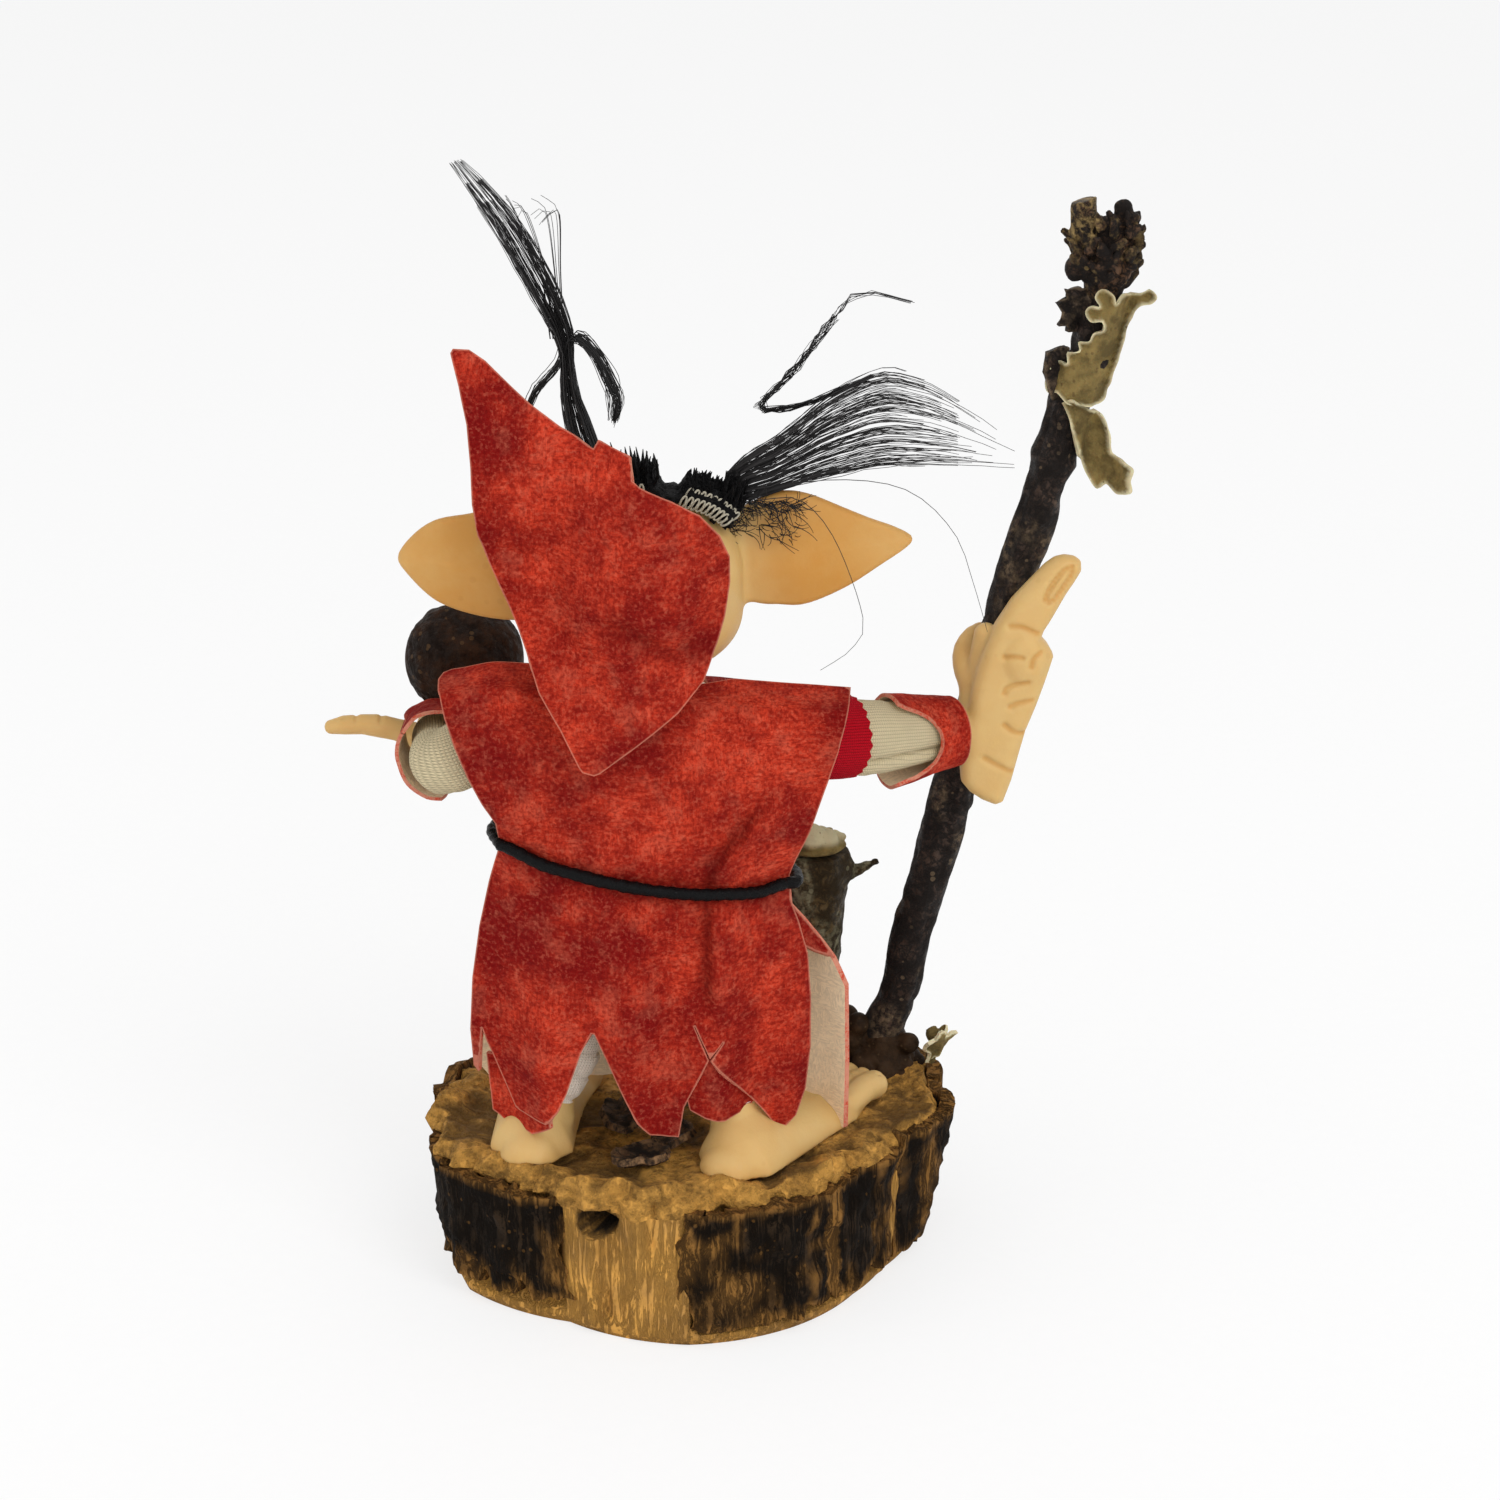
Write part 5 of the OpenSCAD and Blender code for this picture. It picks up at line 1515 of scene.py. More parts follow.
def wrapped(at, along, turn):
    """Relief of a cloth strip wound on a stuffed limb"""
    strip = (along / 3.4 + turn / (2 * pi)) % 1
    return 0.35 * smooth(0, 0.25, strip) - 0.35 * smooth(0.88, 1, strip) + 0.3 * rough(at, 3.5, 3, 84)


def make_body():
    for name, (low, high) in LEGS.items():
        low, high = array(low, float), array(high, float)
        aim = unit(high - low)
        path = low + linspace(6.9, 18, 50)[:, None] / aim[2] * aim
        size = 3.9 * interp(linspace(0, 1, 50), [0, 0.15, 0.5, 0.85, 1], [0.72, 0.85, 1, 0.9, 0.66])
        made = tube(path, size, None, 40, (0, 1, 0), relief=wrapped)
        piece = add_piece(f"{name}_leg_wrap", made, "stuffing", "wrapped_cloth", f"{name}_leg")
    level = linspace(0, 1, 70)
    key = [0, 0.06, 0.25, 0.43, 0.7, 0.87, 0.95, 1]
    wide = 15.6 * interp(level, key, [0.55, 0.88, 0.94, 0.82, 0.94, 1, 0.84, 0.5])
    deep = 7.1 * interp(level, key, [0.6, 0.9, 1, 0.88, 0.95, 0.92, 0.72, 0.5])
    path = SPINE + array([0, 0, TOP + 19.2]) + level[:, None] * array([0, 0, 41.1])
    made = tube(path, deep, wide, 72, (1, 0, 0), relief=lambda *at: 0.6 * wrapped(*at) - 0.2)
    piece = add_piece("torso_wrap", made, "stuffing", "wrapped_cloth", "torso")


class ELF_OT_body(bpy.types.Operator):
    """Stuffed torso and wrapped legs under the tunic"""

    bl_idname = "elf.body"
    bl_label = "Body"

    def execute(self, context):
        make_body()
        return {"FINISHED"}


def round_frame(aim, face):
    """Two directions square to aim, the first as near as can be to face"""
    first = unit(asarray(face, float) - (asarray(face, float) @ aim) * aim)
    return first, np.cross(aim, first)


def declare_sheet(outline):
    """Works out the area of a sheet's outline, which nothing uses"""
    x, y = transpose(outline)
    area = abs(np.sum(x * roll(y, -1) - y * roll(x, -1))) / 2 * MM * MM


def make_undersleeves():
    """Bands with a cut zigzag edge"""
    for name, shoulder, aim, end in (
            ("left", LEFT_SHOULDER, UPPER_ARM, 3.5), ("right", RIGHT_SHOULDER, RIGHT_ARM, 8.4)):
        first, second = round_frame(aim, (0, -1, 0))
        half = pi * 5.1
        teeth = linspace(-half, half, 45)
        edge = end + 0.4 * (arange(45) % 2) + 0.3 * noise(xyz(teeth, teeth, teeth), 5, 86)
        outline = [(-half, end - 10.3), (half, end - 10.3)] + list(zip(teeth[::-1], edge[::-1]))

        def place(flat):
            x, along = flat.T
            turn = x / half * pi * 0.999
            reach = 5.12 - 0.05 * clip(end - along - 4, 0, 9) ** 1.2
            reach = reach + 0.1 * rough(xyz(x, along, 0 * x), 3, 3, 87)
            ring = cos(turn)[:, None] * first + sin(turn)[:, None] * second
            return shoulder + along[:, None] * aim + reach[:, None] * ring

        made = sheet(outline, 0.5, place, 0.4)
        piece = add_piece(
            f"{name}_undersleeve_band", made, "undersleeve_knit", "crimson_knit", f"{name}_undersleeve")
        declare_sheet(outline)


def make_arms():
    share = linspace(0, 1, 110)
    path = RIGHT_SHOULDER + share[:, None] * 0.965 * (RIGHT_WRIST - RIGHT_SHOULDER)
    size = interp(share, [0, 0.08, 0.22, 0.42, 0.58, 0.76, 0.93, 1], [2.3, 4.0, 4.6, 4.6, 4.3, 3.8, 3.2, 2.8])

    def folds(at, along, turn):
        far = along / along.max()
        out = (at - path[:, None]) / size[:, None, None]
        low = out[..., 2] + 0.42 + 0.12 * sin(far * 5)
        dent = (0.5 * bell(low + 0.3, 0.2) - 1.0 * bell(low, 0.09)) * smooth(0, 0.4, -out[..., 1])
        return dent * smooth(0.3, 0.45, far) * smooth(1.0, 0.85, far) + 0.22 * rough(at, 4, 3, 90)

    made = tube(path, size, None, 56, relief=folds)
    piece = add_piece("right_arm_sleeve", made, "cream_knit", "cream_knit", "right_arm")

    path = curve(
        [LEFT_SHOULDER, LEFT_SHOULDER + 4.5 * UPPER_ARM, ELBOW + (0.5, 0.5, 0.9), ELBOW + 5 * FOREARM,
                  ELBOW + 10 * FOREARM, WRIST - 0.5 * FOREARM], 120)
    far = linspace(0, 1, 120)
    size = interp(far, [0, 0.1, 0.25, 0.42, 0.6, 0.8, 0.95, 1], [2.4, 4.0, 4.2, 4.0, 3.6, 3.2, 3.1, 2.7])

    def bend(at, along, turn):
        level = along / along.max()
        rings = bell(level - 0.36, 0.02) + bell(level - 0.42, 0.018) + bell(level - 0.48, 0.02)
        inner = 0.5 + 0.5 * cos(turn - 0.3)
        return -0.35 * rings * inner + 0.2 * rough(at, 4, 3, 91)

    made = tube(path, size, None, 52, relief=bend)
    piece = add_piece(
        "left_arm_sleeve", made, "cream_knit", "cream_knit", "left_upper_arm left_forearm", None)
    reach = 3.6 * unit(UPPER_ARM + FOREARM)
    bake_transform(piece)


class ELF_OT_sleeves(bpy.types.Operator):
    """Cream knit sleeves over the stuffed arms, and crimson knit bands at the shoulders"""

    bl_idname = "elf.sleeves"
    bl_label = "Sleeves"

    def execute(self, context):
        make_arms()
        make_undersleeves()
        return {"FINISHED"}


def make_cuffs():
    thick = settings().leather.thickness / MM
    for name, end, aim, face, body, arm in (
            ("right", RIGHT_SHOULDER + 0.985 * (RIGHT_WRIST - RIGHT_SHOULDER), unit(RIGHT_ARM + (0, 0, 0.08)),
             (-0.35, -1, 0.1), "base", "right_arm_sleeve"),
            ("left", ELBOW + 1.035 * 16 * FOREARM, FOREARM, (0.9, 0, -0.5), "left_forearm",
            "left_arm_sleeve")):
        first, second = round_frame(aim, face)
        turn = linspace(-pi, pi, 61) * 0.995
        cut = abs(turn)
        bay = sqrt(maximum(1 - (cut / 0.95) ** 2, 0))
        rim = 10.1 - 5.6 * bay - 1.4 * smooth(0.95, 3.1, cut)
        outline = [(t * 5, 0) for t in linspace(-pi, pi, 31) * 0.995] + list(zip(turn[::-1] * 5, rim[::-1]))

        def place(flat):
            around, back = flat[:, 0] / 5, flat[:, 1]
            reach = 4.45 + (1.2 if name == "right" else 1.1) * (back / 9) ** 1.3
            spot = stack([*flat.T, 0 * back], -1)
            reach = reach + 0.22 * rough(spot, 4, 3, 94) + 0.35 * bell(abs(around) - 0.95, 0.5) * back / 9
            ring = cos(around)[:, None] * first - sin(around)[:, None] * second
            return end - back[:, None] * aim + reach[:, None] * ring

        add_leather(
            f"{name}_cuff_leather", outline, 0.5, place, 0.6 * thick, f"{name}_cuff", "stretched", body)


class ELF_OT_cuffs(bpy.types.Operator):
    """Flared leather cuffs with a rounded cut and two points"""

    bl_idname = "elf.cuffs"
    bl_label = "Cuffs"

    def execute(self, context):
        make_cuffs()
        return {"FINISHED"}


def flat_distance(p, outline):
    """Distance of flat points from a closed outline, below 0 inside it"""
    outline = asarray(outline, float)
    best = full(p.shape[:-1], 1e9)
    for a, b in zip(outline, roll(outline, -1, 0)):
        d = b - a
        t = clip(((p - a) @ d) / (d @ d), 0, 1)
        best = minimum(best, norm(p - a - t[..., None] * d, axis=-1))
    hit = inside(p.reshape(-1, 2), outline).reshape(best.shape)
    return np.where(hit, -best, best)


def slab(p, outline, middle, half, rim):
    """Distance from an upright slab cut to an outline, whose rim is rounded. middle(p, edge) and
    half(p, edge) give the place of its middle along Y and half of its thickness"""
    flat = stack([p[:, 0, :, 0], p[:, 0, :, 2]], -1)
    edge = flat_distance(flat, outline)[:, None, :]
    a, b = edge + rim, abs(p[..., 1] - middle(p, edge)) - half(p, edge) + rim
    return hypot(maximum(a, 0), maximum(b, 0)) + minimum(maximum(a, b), 0) - rim


def make_right_hand():
    """One long finger up, with creases and a nail"""
    outline = [
        (47.7, 93), (46.4, 93.2), (45.2, 92.9), (44, 92), (42.2, 90), (40.0, 87.5), (38.0, 84.2),
        (36.9, 81.6), (36.0, 79), (35.4, 76.5), (35.0, 73.6), (34.6, 70), (34.0, 66.6), (34.2, 63.8),
        (35.3, 62.4), (36.9, 61.3), (38.6, 60.6), (39.6, 61), (40.6, 64), (41.3, 67), (42.2, 70.6),
        (43.4, 73.8), (44.3, 76.6), (44.9, 78.6), (45.4, 80.4), (44.6, 81.8), (43.8, 82.7), (44.1, 83.6),
        (44.9, 84.9), (45.8, 86.5), (46.8, 88.3), (47.8, 89.8), (48.6, 91.2), (48.5, 92.4)
    ]
    low, high = array([29.5, -2.0, 57.0]), array([52.0, 15.0, 96.0])
    clay = Clay(low, high, 0.24)
    e_z = GRIP_DIR
    e_x = unit(array([1.0, 0, 0]) - e_z[0] * e_z)
    e_y = np.cross(e_z, e_x)

    def middle(p, edge):
        return 3.15 + 0.5 * smooth(80, 93, p[..., 2]) - 0.35 * smooth(66, 60, p[..., 2])

    def half(p, edge):
        return 2.25 - 0.55 * smooth(82, 93, p[..., 2]) - 0.4 * smooth(66, 60, p[..., 2])

    clay.shape(low, high, lambda p: slab(p, outline, middle, half, 1.7), 0.3)
    clay.limb([RIGHT_WRIST - 4.0 * RIGHT_ARM, RIGHT_WRIST + 1.5 * RIGHT_ARM], [2.7, 2.9], 1.4)
    clay.ball((41.8, 1.0, 80.4), (2.0, 0.8, 2.6), 1.2)
    clay.ball((43.6, 3.2, 80.0), (1.1, 1.6, 1.4), 0.6)

    def around(first, last, bottom, top, r=4.2):
        spots = []
        for k in range(9):
            a = math.radians(first + (last - first) * k / 8)
            high = bottom + (top - bottom) * k / 8
            spots.append(GRIP + r * math.cos(a) * e_x + r * math.sin(a) * e_y + high * e_z)
        return spots

    for height in (-6.2, -2.6, 1.0, 4.6):
        clay.limb(around(-48, 100, height, height + 1.2, 4.0),
                  [1.4, 1.45, 1.4, 1.4, 1.4, 1.35, 1.35, 1.3, 1.1], 0.25)
    clay.limb(around(-116, -236, 3.2, 8.4, 3.4), [1.6, 1.65, 1.65, 1.6, 1.6, 1.6, 1.55, 1.5, 1.3], 0.4)
    clay.limb(around(-112, -126, 1.0, 10.2, 3.5), 1.5, 0.6)
    clay.limb([(35.3, 4.5, 73.0), (35.7, 6.4, 76.6), (36.4, 8.0, 79.0)], [1.4, 1.45, 1.4], 0.8)
    clay.limb([GRIP - 17 * e_z, GRIP + 15 * e_z], 2.72, 0.15, carve=True)

    creases = [
        [(39.8, 84.6), (41.2, 84.5), (42.3, 84.1), (43.2, 83.7)],
        [(39.2, 80.7), (40.3, 80.9), (41.4, 80.8)],
        [(39.3, 76), (39.6, 76.6), (40.7, 77.1), (42.2, 77.4)],
        [(40.1, 74.1), (41.1, 74.6), (42.8, 75)],
        [(39.4, 71.7), (40.4, 70.9), (41.9, 70.5)],
        [(37, 67.3), (38.4, 66.5), (40.5, 65.4)],
        [(42.5, 79.6), (42.8, 80.7), (43.6, 81.4)]
    ]
    for line in creases:
        clay.limb(
            [(x, clay.front(x, z), z) for x, z in curve(line, 9)], linspace(0.42, 0.28, 9), 0.3, carve=True)
    nail = curve([
        (47.3, 92.0), (46.2, 91.5), (44.9, 89.8), (44.1, 88.0), (44.9, 87.7), (46.1, 89.2), (47.2, 91.0),
        (47.3, 92.0)
    ], 26)
    clay.limb([(x, clay.front(x, z), z) for x, z in nail], 0.4, 0.12, carve=True)
    made = clay.skin(0.5)
    points = made[0]
    groove = np.min(
        [norm(points[:, [0, 2]] - c, axis=1) for line in creases + [nail] for c in curve(line, 20)], axis=0)
    # Painted shade in the creases, round the nail and on the hand's far side (+Y), with random tint
    tint = 0.5 * smooth(0.5, 0.1, groove) * (points[:, 1] < 2.6) + 0.25 * smooth(3.5, 7, points[:, 1])
    tint = tint + 0.12 * noise(points, 5, 98)
    add_piece("right_hand_cast", made, "skin", "rubber", "right_hand", tint=tint)


def make_left_hand():
    """One finger pointing out"""
    palm = array([-31.7, 11.6, 66.6])
    clay = Clay((-49, 4.5, 61.5), (-22, 27, 78), 0.26)
    clay.limb([WRIST + 0.4 * FOREARM, WRIST + 2.4 * FOREARM, palm + (0, -1.5, 0)], [2.5, 2.5, 2.3], 0.8)
    flesh = palm + [(-0.6, -1.8, 0), (0.6, 1.4, 0), (1.2, 4.2, 0)]
    clay.limb(flesh, [4.3, 4.8, 4.3], 0.9, flat=(0, 0, 1), press=2.6)
    clay.ball(palm + (-2.4, -1.0, 0.1), (2.4, 2.6, 1.7), 0.8)
    root = palm + (-2.6, -1.6, 0.3)
    finger = [
        (0, 0, 0), (-3.4, 0.2, 1.0), (-5.6, 0.2, 1.5), (-7.6, 0.2, 1.7), (-10.0, 0.2, 1.6),
        (-11.6, 0.2, 1.35)]
    clay.limb(root + finger, [1.75, 1.42, 1.5, 1.3, 1.24, 0.95], 0.5)
    far = array([NUT[0], NUT[1] + 7.5 + 1.25 + 0.5, palm[2]])
    for k in (-1, 0, 1):
        bend = far + [(3.1 * k, -2.6, 0.4), (3.3 * k, -0.4, 2.6), (3.3 * k, 0.3, 6.6)]
        line = [palm + (1.1 + 2.9 * k, 3.6, 0), *bend]
        size = interp(linspace(0, 1, 12), [0, 0.3, 0.55, 0.8, 1], [1.5, 1.35, 1.42, 1.25, 1.0])
        clay.limb(curve(line, 12), size, 0.4)
        for high in (2.2, 4.6):
            clay.limb(
                [far + (3.3 * k - 1, 1.55, high), far + (3.3 * k + 1, 1.55, high)], 0.2, 0.2, carve=True)
    for reach in (5.2, 8.4):
        spot = root + (-reach, 0.2, 1.5)
        clay.limb([spot + (0, -1.3, 0.8), spot + (0, 0, 1.5), spot + (0, 1.3, 0.8)], 0.2, 0.2, carve=True)
    nail = [root + (-10.7 + 0.9 * math.cos(a), 0.2 + 0.6 * math.sin(a), 2.45 - 0.12 * math.cos(a))
            for a in linspace(0, 2 * pi, 13)]
    clay.limb(nail, 0.14, 0.1, carve=True)
    clay.ball(NUT, (7.9, 7.62, 7.62), 0.1, carve=True)
    made = clay.skin(0.5)
    # Painted shade on the underside of the hand, with random tint
    tint = 0.15 + 0.2 * noise(made[0], 5, 99) + 0.3 * smooth(67.5, 65, made[0][:, 2])
    add_piece("left_hand_cast", made, "skin", "rubber", "left_hand", "left_hand", tint=tint)


class ELF_OT_hands(bpy.types.Operator):
    """Cast hands, the right one round the staff and the left one under the nut"""

    bl_idname = "elf.hands"
    bl_label = "Hands"

    def execute(self, context):
        make_right_hand()
        make_left_hand()
        return {"FINISHED"}


def make_nut():
    lean = linspace(-1, 1, 90)
    ends = sin(lean * pi / 2)
    path = NUT + ends[:, None] * array([7.6, 0, 0.0])
    size = maximum(7.35 * sqrt(maximum(1 - abs(ends) ** 2.3, 0)), 0.02)

    def shell(at, along, turn):
        level = np.repeat(ends[:, None], at.shape[1], 1)
        seam = bell((at[..., 2] - NUT[2] + 0.6 * sin(at[..., 0] * 0.4)) / 0.7, 1)
        pits = 0.55 * cracks(at, 3.4, 3, 101) - 0.45 + 0.15 * rough(at, 1.2, 2, 103)
        return (pits + 0.3 * seam) * smooth(0, 0.12, 1 - abs(level))

    add_piece(
        "nut_shell", tube(path, size, size, 80, relief=shell), "nut", "nutshell", "carried_nut", "left_hand")


class ELF_OT_nut(bpy.types.Operator):
    """Rough nut that lies on the left palm"""

    bl_idname = "elf.nut"
    bl_label = "Nut"

    def execute(self, context):
        make_nut()
        return {"FINISHED"}


# Tunic, belt, head, hair and hood

# Tunic depths from the spine: height, at the middle, at the edge
TUNIC_ROWS = [
    (20, 12.8, 2.4), (26, 12.4, 2.4), (35, 11, 2.2), (45, 9.8, 1.8), (52, 8.9, 1.4), (57, 8.5, 1.2),
    (63, 8.6, 4.2), (70.5, 8.8, 6), (76.5, 8.6, 6), (80.5, 6.4, 4.6), (82.1, 0.2, 0.2)
]
# Widths: length up the leather, left edge, right edge
BACK_SIDES = [
    (20, -26.2, 14.2), (26, -26.5, 14.6), (36, -27.4, 15.3), (45, -26.7, 15), (52, -25.3, 13.2),
    (57, -23.6, 12.5), (62, -23, 14.2), (66, -24.2, 15.8), (71, -26.6, 17.1), (76, -28.5, 18.5),
    (82, -29.8, 19.5), (87.5, -30, 19.8)
]
FRONT_SIDES = [
    (20, -27, 20.1), (41, -27, 20), (51, -24.5, 12.8), (57, -22.6, 12.5), (66, -22.8, 13.5),
    (76, -21.7, 11.3), (87.5, -22, 12.2)
]
BACK_CUT = [
    (-28.4, 87.4), (-29.4, 86.7), (-29.9, 85.2), (-29.8, 82), (-29, 78), (-27.9, 74.5), (-26.4, 70.6),
    (-24.8, 67.3), (-23.3, 64.7), (-23, 61.7), (-23.4, 59.8), (-24.7, 55.2), (-25.9, 49.9), (-26.9, 43.2),
    (-27.3, 36.4), (-27, 31.5), (-26.4, 30.8), (-25.8, 36.8), (-25.2, 35), (-21.7, 27), (-21.2, 26.8),
    (-17.7, 26.6), (-16.1, 28.6), (-15, 30.9), (-13.2, 36), (-11.9, 38.7), (-11.5, 38.7), (-9.6, 35),
    (-7.8, 31.3), (-6, 27.9), (-4.7, 26.4), (-2.5, 25.6), (-1.2, 25.4), (-0.5, 29.4), (1.1, 32.7),
    (2.55, 35.4), (0.75, 39.7), (0.85, 39.75), (2.68, 35.62), (4.28, 37.45), (4.36, 37.38), (2.8, 35.35),
    (6.4, 30.9), (9.2, 26.8), (10.6, 24.6), (12.1, 24.1), (13.4, 25.2), (14.6, 28.4), (15.2, 34.1),
    (15.2, 40.9), (14.8, 46.3), (13.7, 50.3), (12.6, 53.5), (12.5, 56.3), (13.1, 58.3), (14.9, 63.5),
    (17, 70.7), (18.2, 75.2), (19.4, 81), (19.8, 87.4)
]
UNDER_FLAPS = [
    [(-2, 36), (0.2, 28.6), (2.1, 27.6), (4.5, 26.8), (7, 27.1), (8.5, 28.2), (9, 31), (7, 36), (2.6, 40)],
    [(-25.4, 33), (-24.8, 25.2), (-23.2, 24.1), (-19.6, 23.9), (-17.2, 25.7), (-17.6, 30), (-21, 33)]
]
# The front panel's corner, folded out below the belt
FRONT_FOLD = [(12.1, 52.3), (14.7, 48.6), (18.2, 44.1), (15.9, 45), (14.1, 46), (13, 48)]
FRONT_CUT = [
    (-22, 87.4), (-21.8, 80), (-21.6, 74), (-22.4, 68), (-22.8, 62), (-22.6, 57), (-24, 52), (-26.3, 45),
    (-27.1, 36), (-26.8, 28), (-24.6, 24.6), (-20, 24), (-17, 23.4), (-12, 23.4), (-7.5, 23.8),
    (-3.5, 24.4), (-1, 25.4), (1.5, 34.8), (4.4, 26), (9, 23.6), (14, 22.4), (17.6, 20.9), (20.1, 20.6),
    (20.2, 30), (20, 40.6), (18.4, 44), (15.4, 47.6), (12.9, 51), (12.5, 56), (13, 60), (13.4, 66),
    (11.8, 72), (11.2, 78), (12, 84), (12.2, 87.4), (3, 87.4), (1.2, 84), (-1, 80.5), (-5, 79), (-9, 80.5),
    (-11.2, 84), (-13, 87.4)
]
PLEAT = [(11.5, 70), (8.2, 66), (5.2, 62), (3.4, 59), (3, 55.8), (2.9, 49.8), (3, 43.2), (3.1, 38)]


def belt_z(x):
    return 57.6 - 0.165 * (x + 5) + 0.9 * smooth(8, 13, x) + 1.0 * smooth(-17, -23, x)


def tunic_depth(x, up, sides):
    """Height above the floor and depth from the spine of a point of the tunic, without its thickness"""
    z = interp(up, [0, 76.5, 81.07, 87.47], [0, 76.5, 80.5, 82.1])
    left, right = table(sides, 1, up), table(sides, 2, up)
    u = clip((2 * x - left - right) / (right - left), -1.08, 1.08)
    middle, edge = table(TUNIC_ROWS, 1, z), table(TUNIC_ROWS, 2, z)
    depth = middle + (edge - middle) * u ** 2
    depth = depth + 0.9 * clip((54 - z) / 20, 0, 1) * cos(4 * pi * u + 0.7)
    depth = depth + 5 * clip((z - 80.5) / 1.6, 0, 1) * maximum(0, 1 - (u / 0.42) ** 2)
    lift = 1.6 - 0.078 * (x + 20) - 1.6 * smooth(-22, -30, x)
    return z + lift * smooth(66, 82, z), depth


def creased(x, z, seed):
    """Small dents and bends of worn leather, and the pull of the belt"""
    spot = xyz(x, z, 0 * x + seed)
    slant = xyz(0.5 * x + 0.7 * z, 2.2 * (0.7 * x - 0.5 * z), 0 * x + seed)
    press = -0.55 * bell(z - belt_z(x), 1.5)
    pull = 0.35 * sin(x * 1.15 + seed) * bell(z - belt_z(x) + 4, 4.5)
    return 0.36 * rough(spot, 11, 4, 110) + 0.2 * rough(slant, 9, 4, 113) + press + pull


def make_tunic():
    thick = settings().leather.thickness / MM

    def back(flat, deeper=0.0):
        x, up = flat.T
        z, depth = tunic_depth(x, up, BACK_SIDES)
        far = x - interp(up, *transpose(PLEAT[::-1])[::-1])
        fold = 1.9 * smooth(-0.7, 0.5, far) * np.exp(-maximum(far, 0) / 4) - 0.6 * bell(far + 1.3, 1.0)
        fold = fold * smooth(38, 46, up) * smooth(71, 64, up) * (1 - 0.85 * bell(up - belt_z(x), 2.0))
        calm = smooth(72, 66, up) + smooth(84, 90, up)
        depth = depth + thick + creased(x, z, 1) * maximum(calm, 0.4) + fold - deeper
        return xyz(x, SPINE[1] - depth, z)

    # Painted shade along the pleat's line and just under the belt, kept as the leather's crease mark
    def pleat(x, z):
        far = x - interp(z, *transpose(PLEAT[::-1])[::-1])
        return bell(far + 0.6, 0.9) * smooth(41, 46, z) * smooth(71, 65, z) + 0.5 * bell(
            z - belt_z(x) + 1.2, 0.9)

    add_leather(
        "tunic_back_leather", BACK_CUT, 0.7, back, thick, "tunic_back", "hung", crease=pleat)
    for number, outline in enumerate(UNDER_FLAPS):
        held = "hung" if np.ptp(outline, axis=0).min() > 10 else ""
        add_leather(f"tunic_flap_{number + 1}", outline, 0.6, lambda flat: back(flat, 1.0), 0.7, held=held)

    def front(flat):
        x, up = -flat[:, 0], flat[:, 1]
        z, depth = tunic_depth(x, up, FRONT_SIDES)
        depth = depth - 2.6 * smooth(12, 20, x) * smooth(50, 40, z)
        lap = smooth(85.4, 87.4, up)
        y = SPINE[1] + (0.97 * depth + thick) * (1 - lap) - 1.6 * lap + creased(x, z, 3) * (1 - lap)
        return xyz(x, y, z - 1.3 * smooth(76, 82, z))

    outline = [(-x, up) for x, up in FRONT_CUT]
    add_leather("tunic_front_leather", outline, 0.85, front, thick, "tunic_front", "hung")

    def turned_out(flat):
        first, run = array(FRONT_FOLD[0]), unit(np.subtract(FRONT_FOLD[2], FRONT_FOLD[0]))
        foot = first + ((flat - first) @ run)[:, None] * run
        back = norm(flat - foot, axis=1)
        return xyz(flat[:, 0], front(foot * (-1, 1))[:, 1] - thick - 0.7 * back, flat[:, 1])

    add_leather("tunic_front_fold", FRONT_FOLD, 0.5, turned_out, thick)


class ELF_OT_tunic(bpy.types.Operator):
    """Two leather panels joined at the shoulders, with a cut hem and flaps under it"""

    bl_idname = "elf.tunic"
    bl_label = "Tunic"

    def execute(self, context):
        make_tunic()
        return {"FINISHED"}


def make_belt():
    line = []
    for x in linspace(-22.8, 12, 40):
        z, depth = tunic_depth(array([x]), array([belt_z(x)]), BACK_SIDES)
        line.append((x, SPINE[1] - depth[0] - 1.2, belt_z(x)))
    line += [(13.2, -11, belt_z(13.2)), (13.4, -9, belt_z(13.4)), (13, -7, belt_z(13))]
    for x in linspace(12.2, -22.6, 36):
        z, depth = tunic_depth(array([x]), array([belt_z(x)]), FRONT_SIDES)
        line.append((x, SPINE[1] + 0.97 * depth[0] + 1.35, belt_z(x)))
    line += [(-23.7, -7.2, belt_z(-23.7)), (-24.1, -9, belt_z(-24)), (-23.9, -10.6, belt_z(-23.9))]
    path = curve(line + [line[0]], 261)[:-1]

    def lay(at, along, turn):
        return 0.05 * sin(along * 4.2 + 2 * turn) + 0.05 * rough(at, 1.5, 2, 116)

    add_piece("belt", tube(path, 0.76, None, 16, loop=True, relief=lay), "belt", "waxed_cord", "belt_cord")
    z = belt_z(-5.0)
    depth = tunic_depth(array([-5.0]), array([z]), FRONT_SIDES)[1][0]
    middle = array([-5.0, SPINE[1] + 0.97 * depth + 3.1, z])
    turn = linspace(0, 2 * pi, 60, endpoint=False)
    knot = middle + xyz(1.55 * sin(turn) + 0.5 * sin(2 * turn), 0.55 * sin(3 * turn),
                        1.25 * cos(turn) - 0.35 * cos(2 * turn))
    parts = [tube(knot, 0.82, None, 14, (0, 1, 0), loop=True, relief=lay)]
    for s in (-1, 1):
        tail = middle + [
            (0.5 * s, -0.4, 0.2), (1.2 * s, 0.2, -1.6), (1.7 * s, 0.3, -5), (2.8 * s, 0.2, -10.4)]
        parts.append(tube(curve(tail, 40), 0.8, None, 14, (0, 1, 0), relief=lay))
    add_piece("belt_bow", join(parts), "belt", "waxed_cord", "belt_knot")


class ELF_OT_belt(bpy.types.Operator):
    """Waxed cord round the waist, knotted at the front"""

    bl_idname = "elf.belt"
    bl_label = "Belt"

    def execute(self, context):
        make_belt()
        return {"FINISHED"}


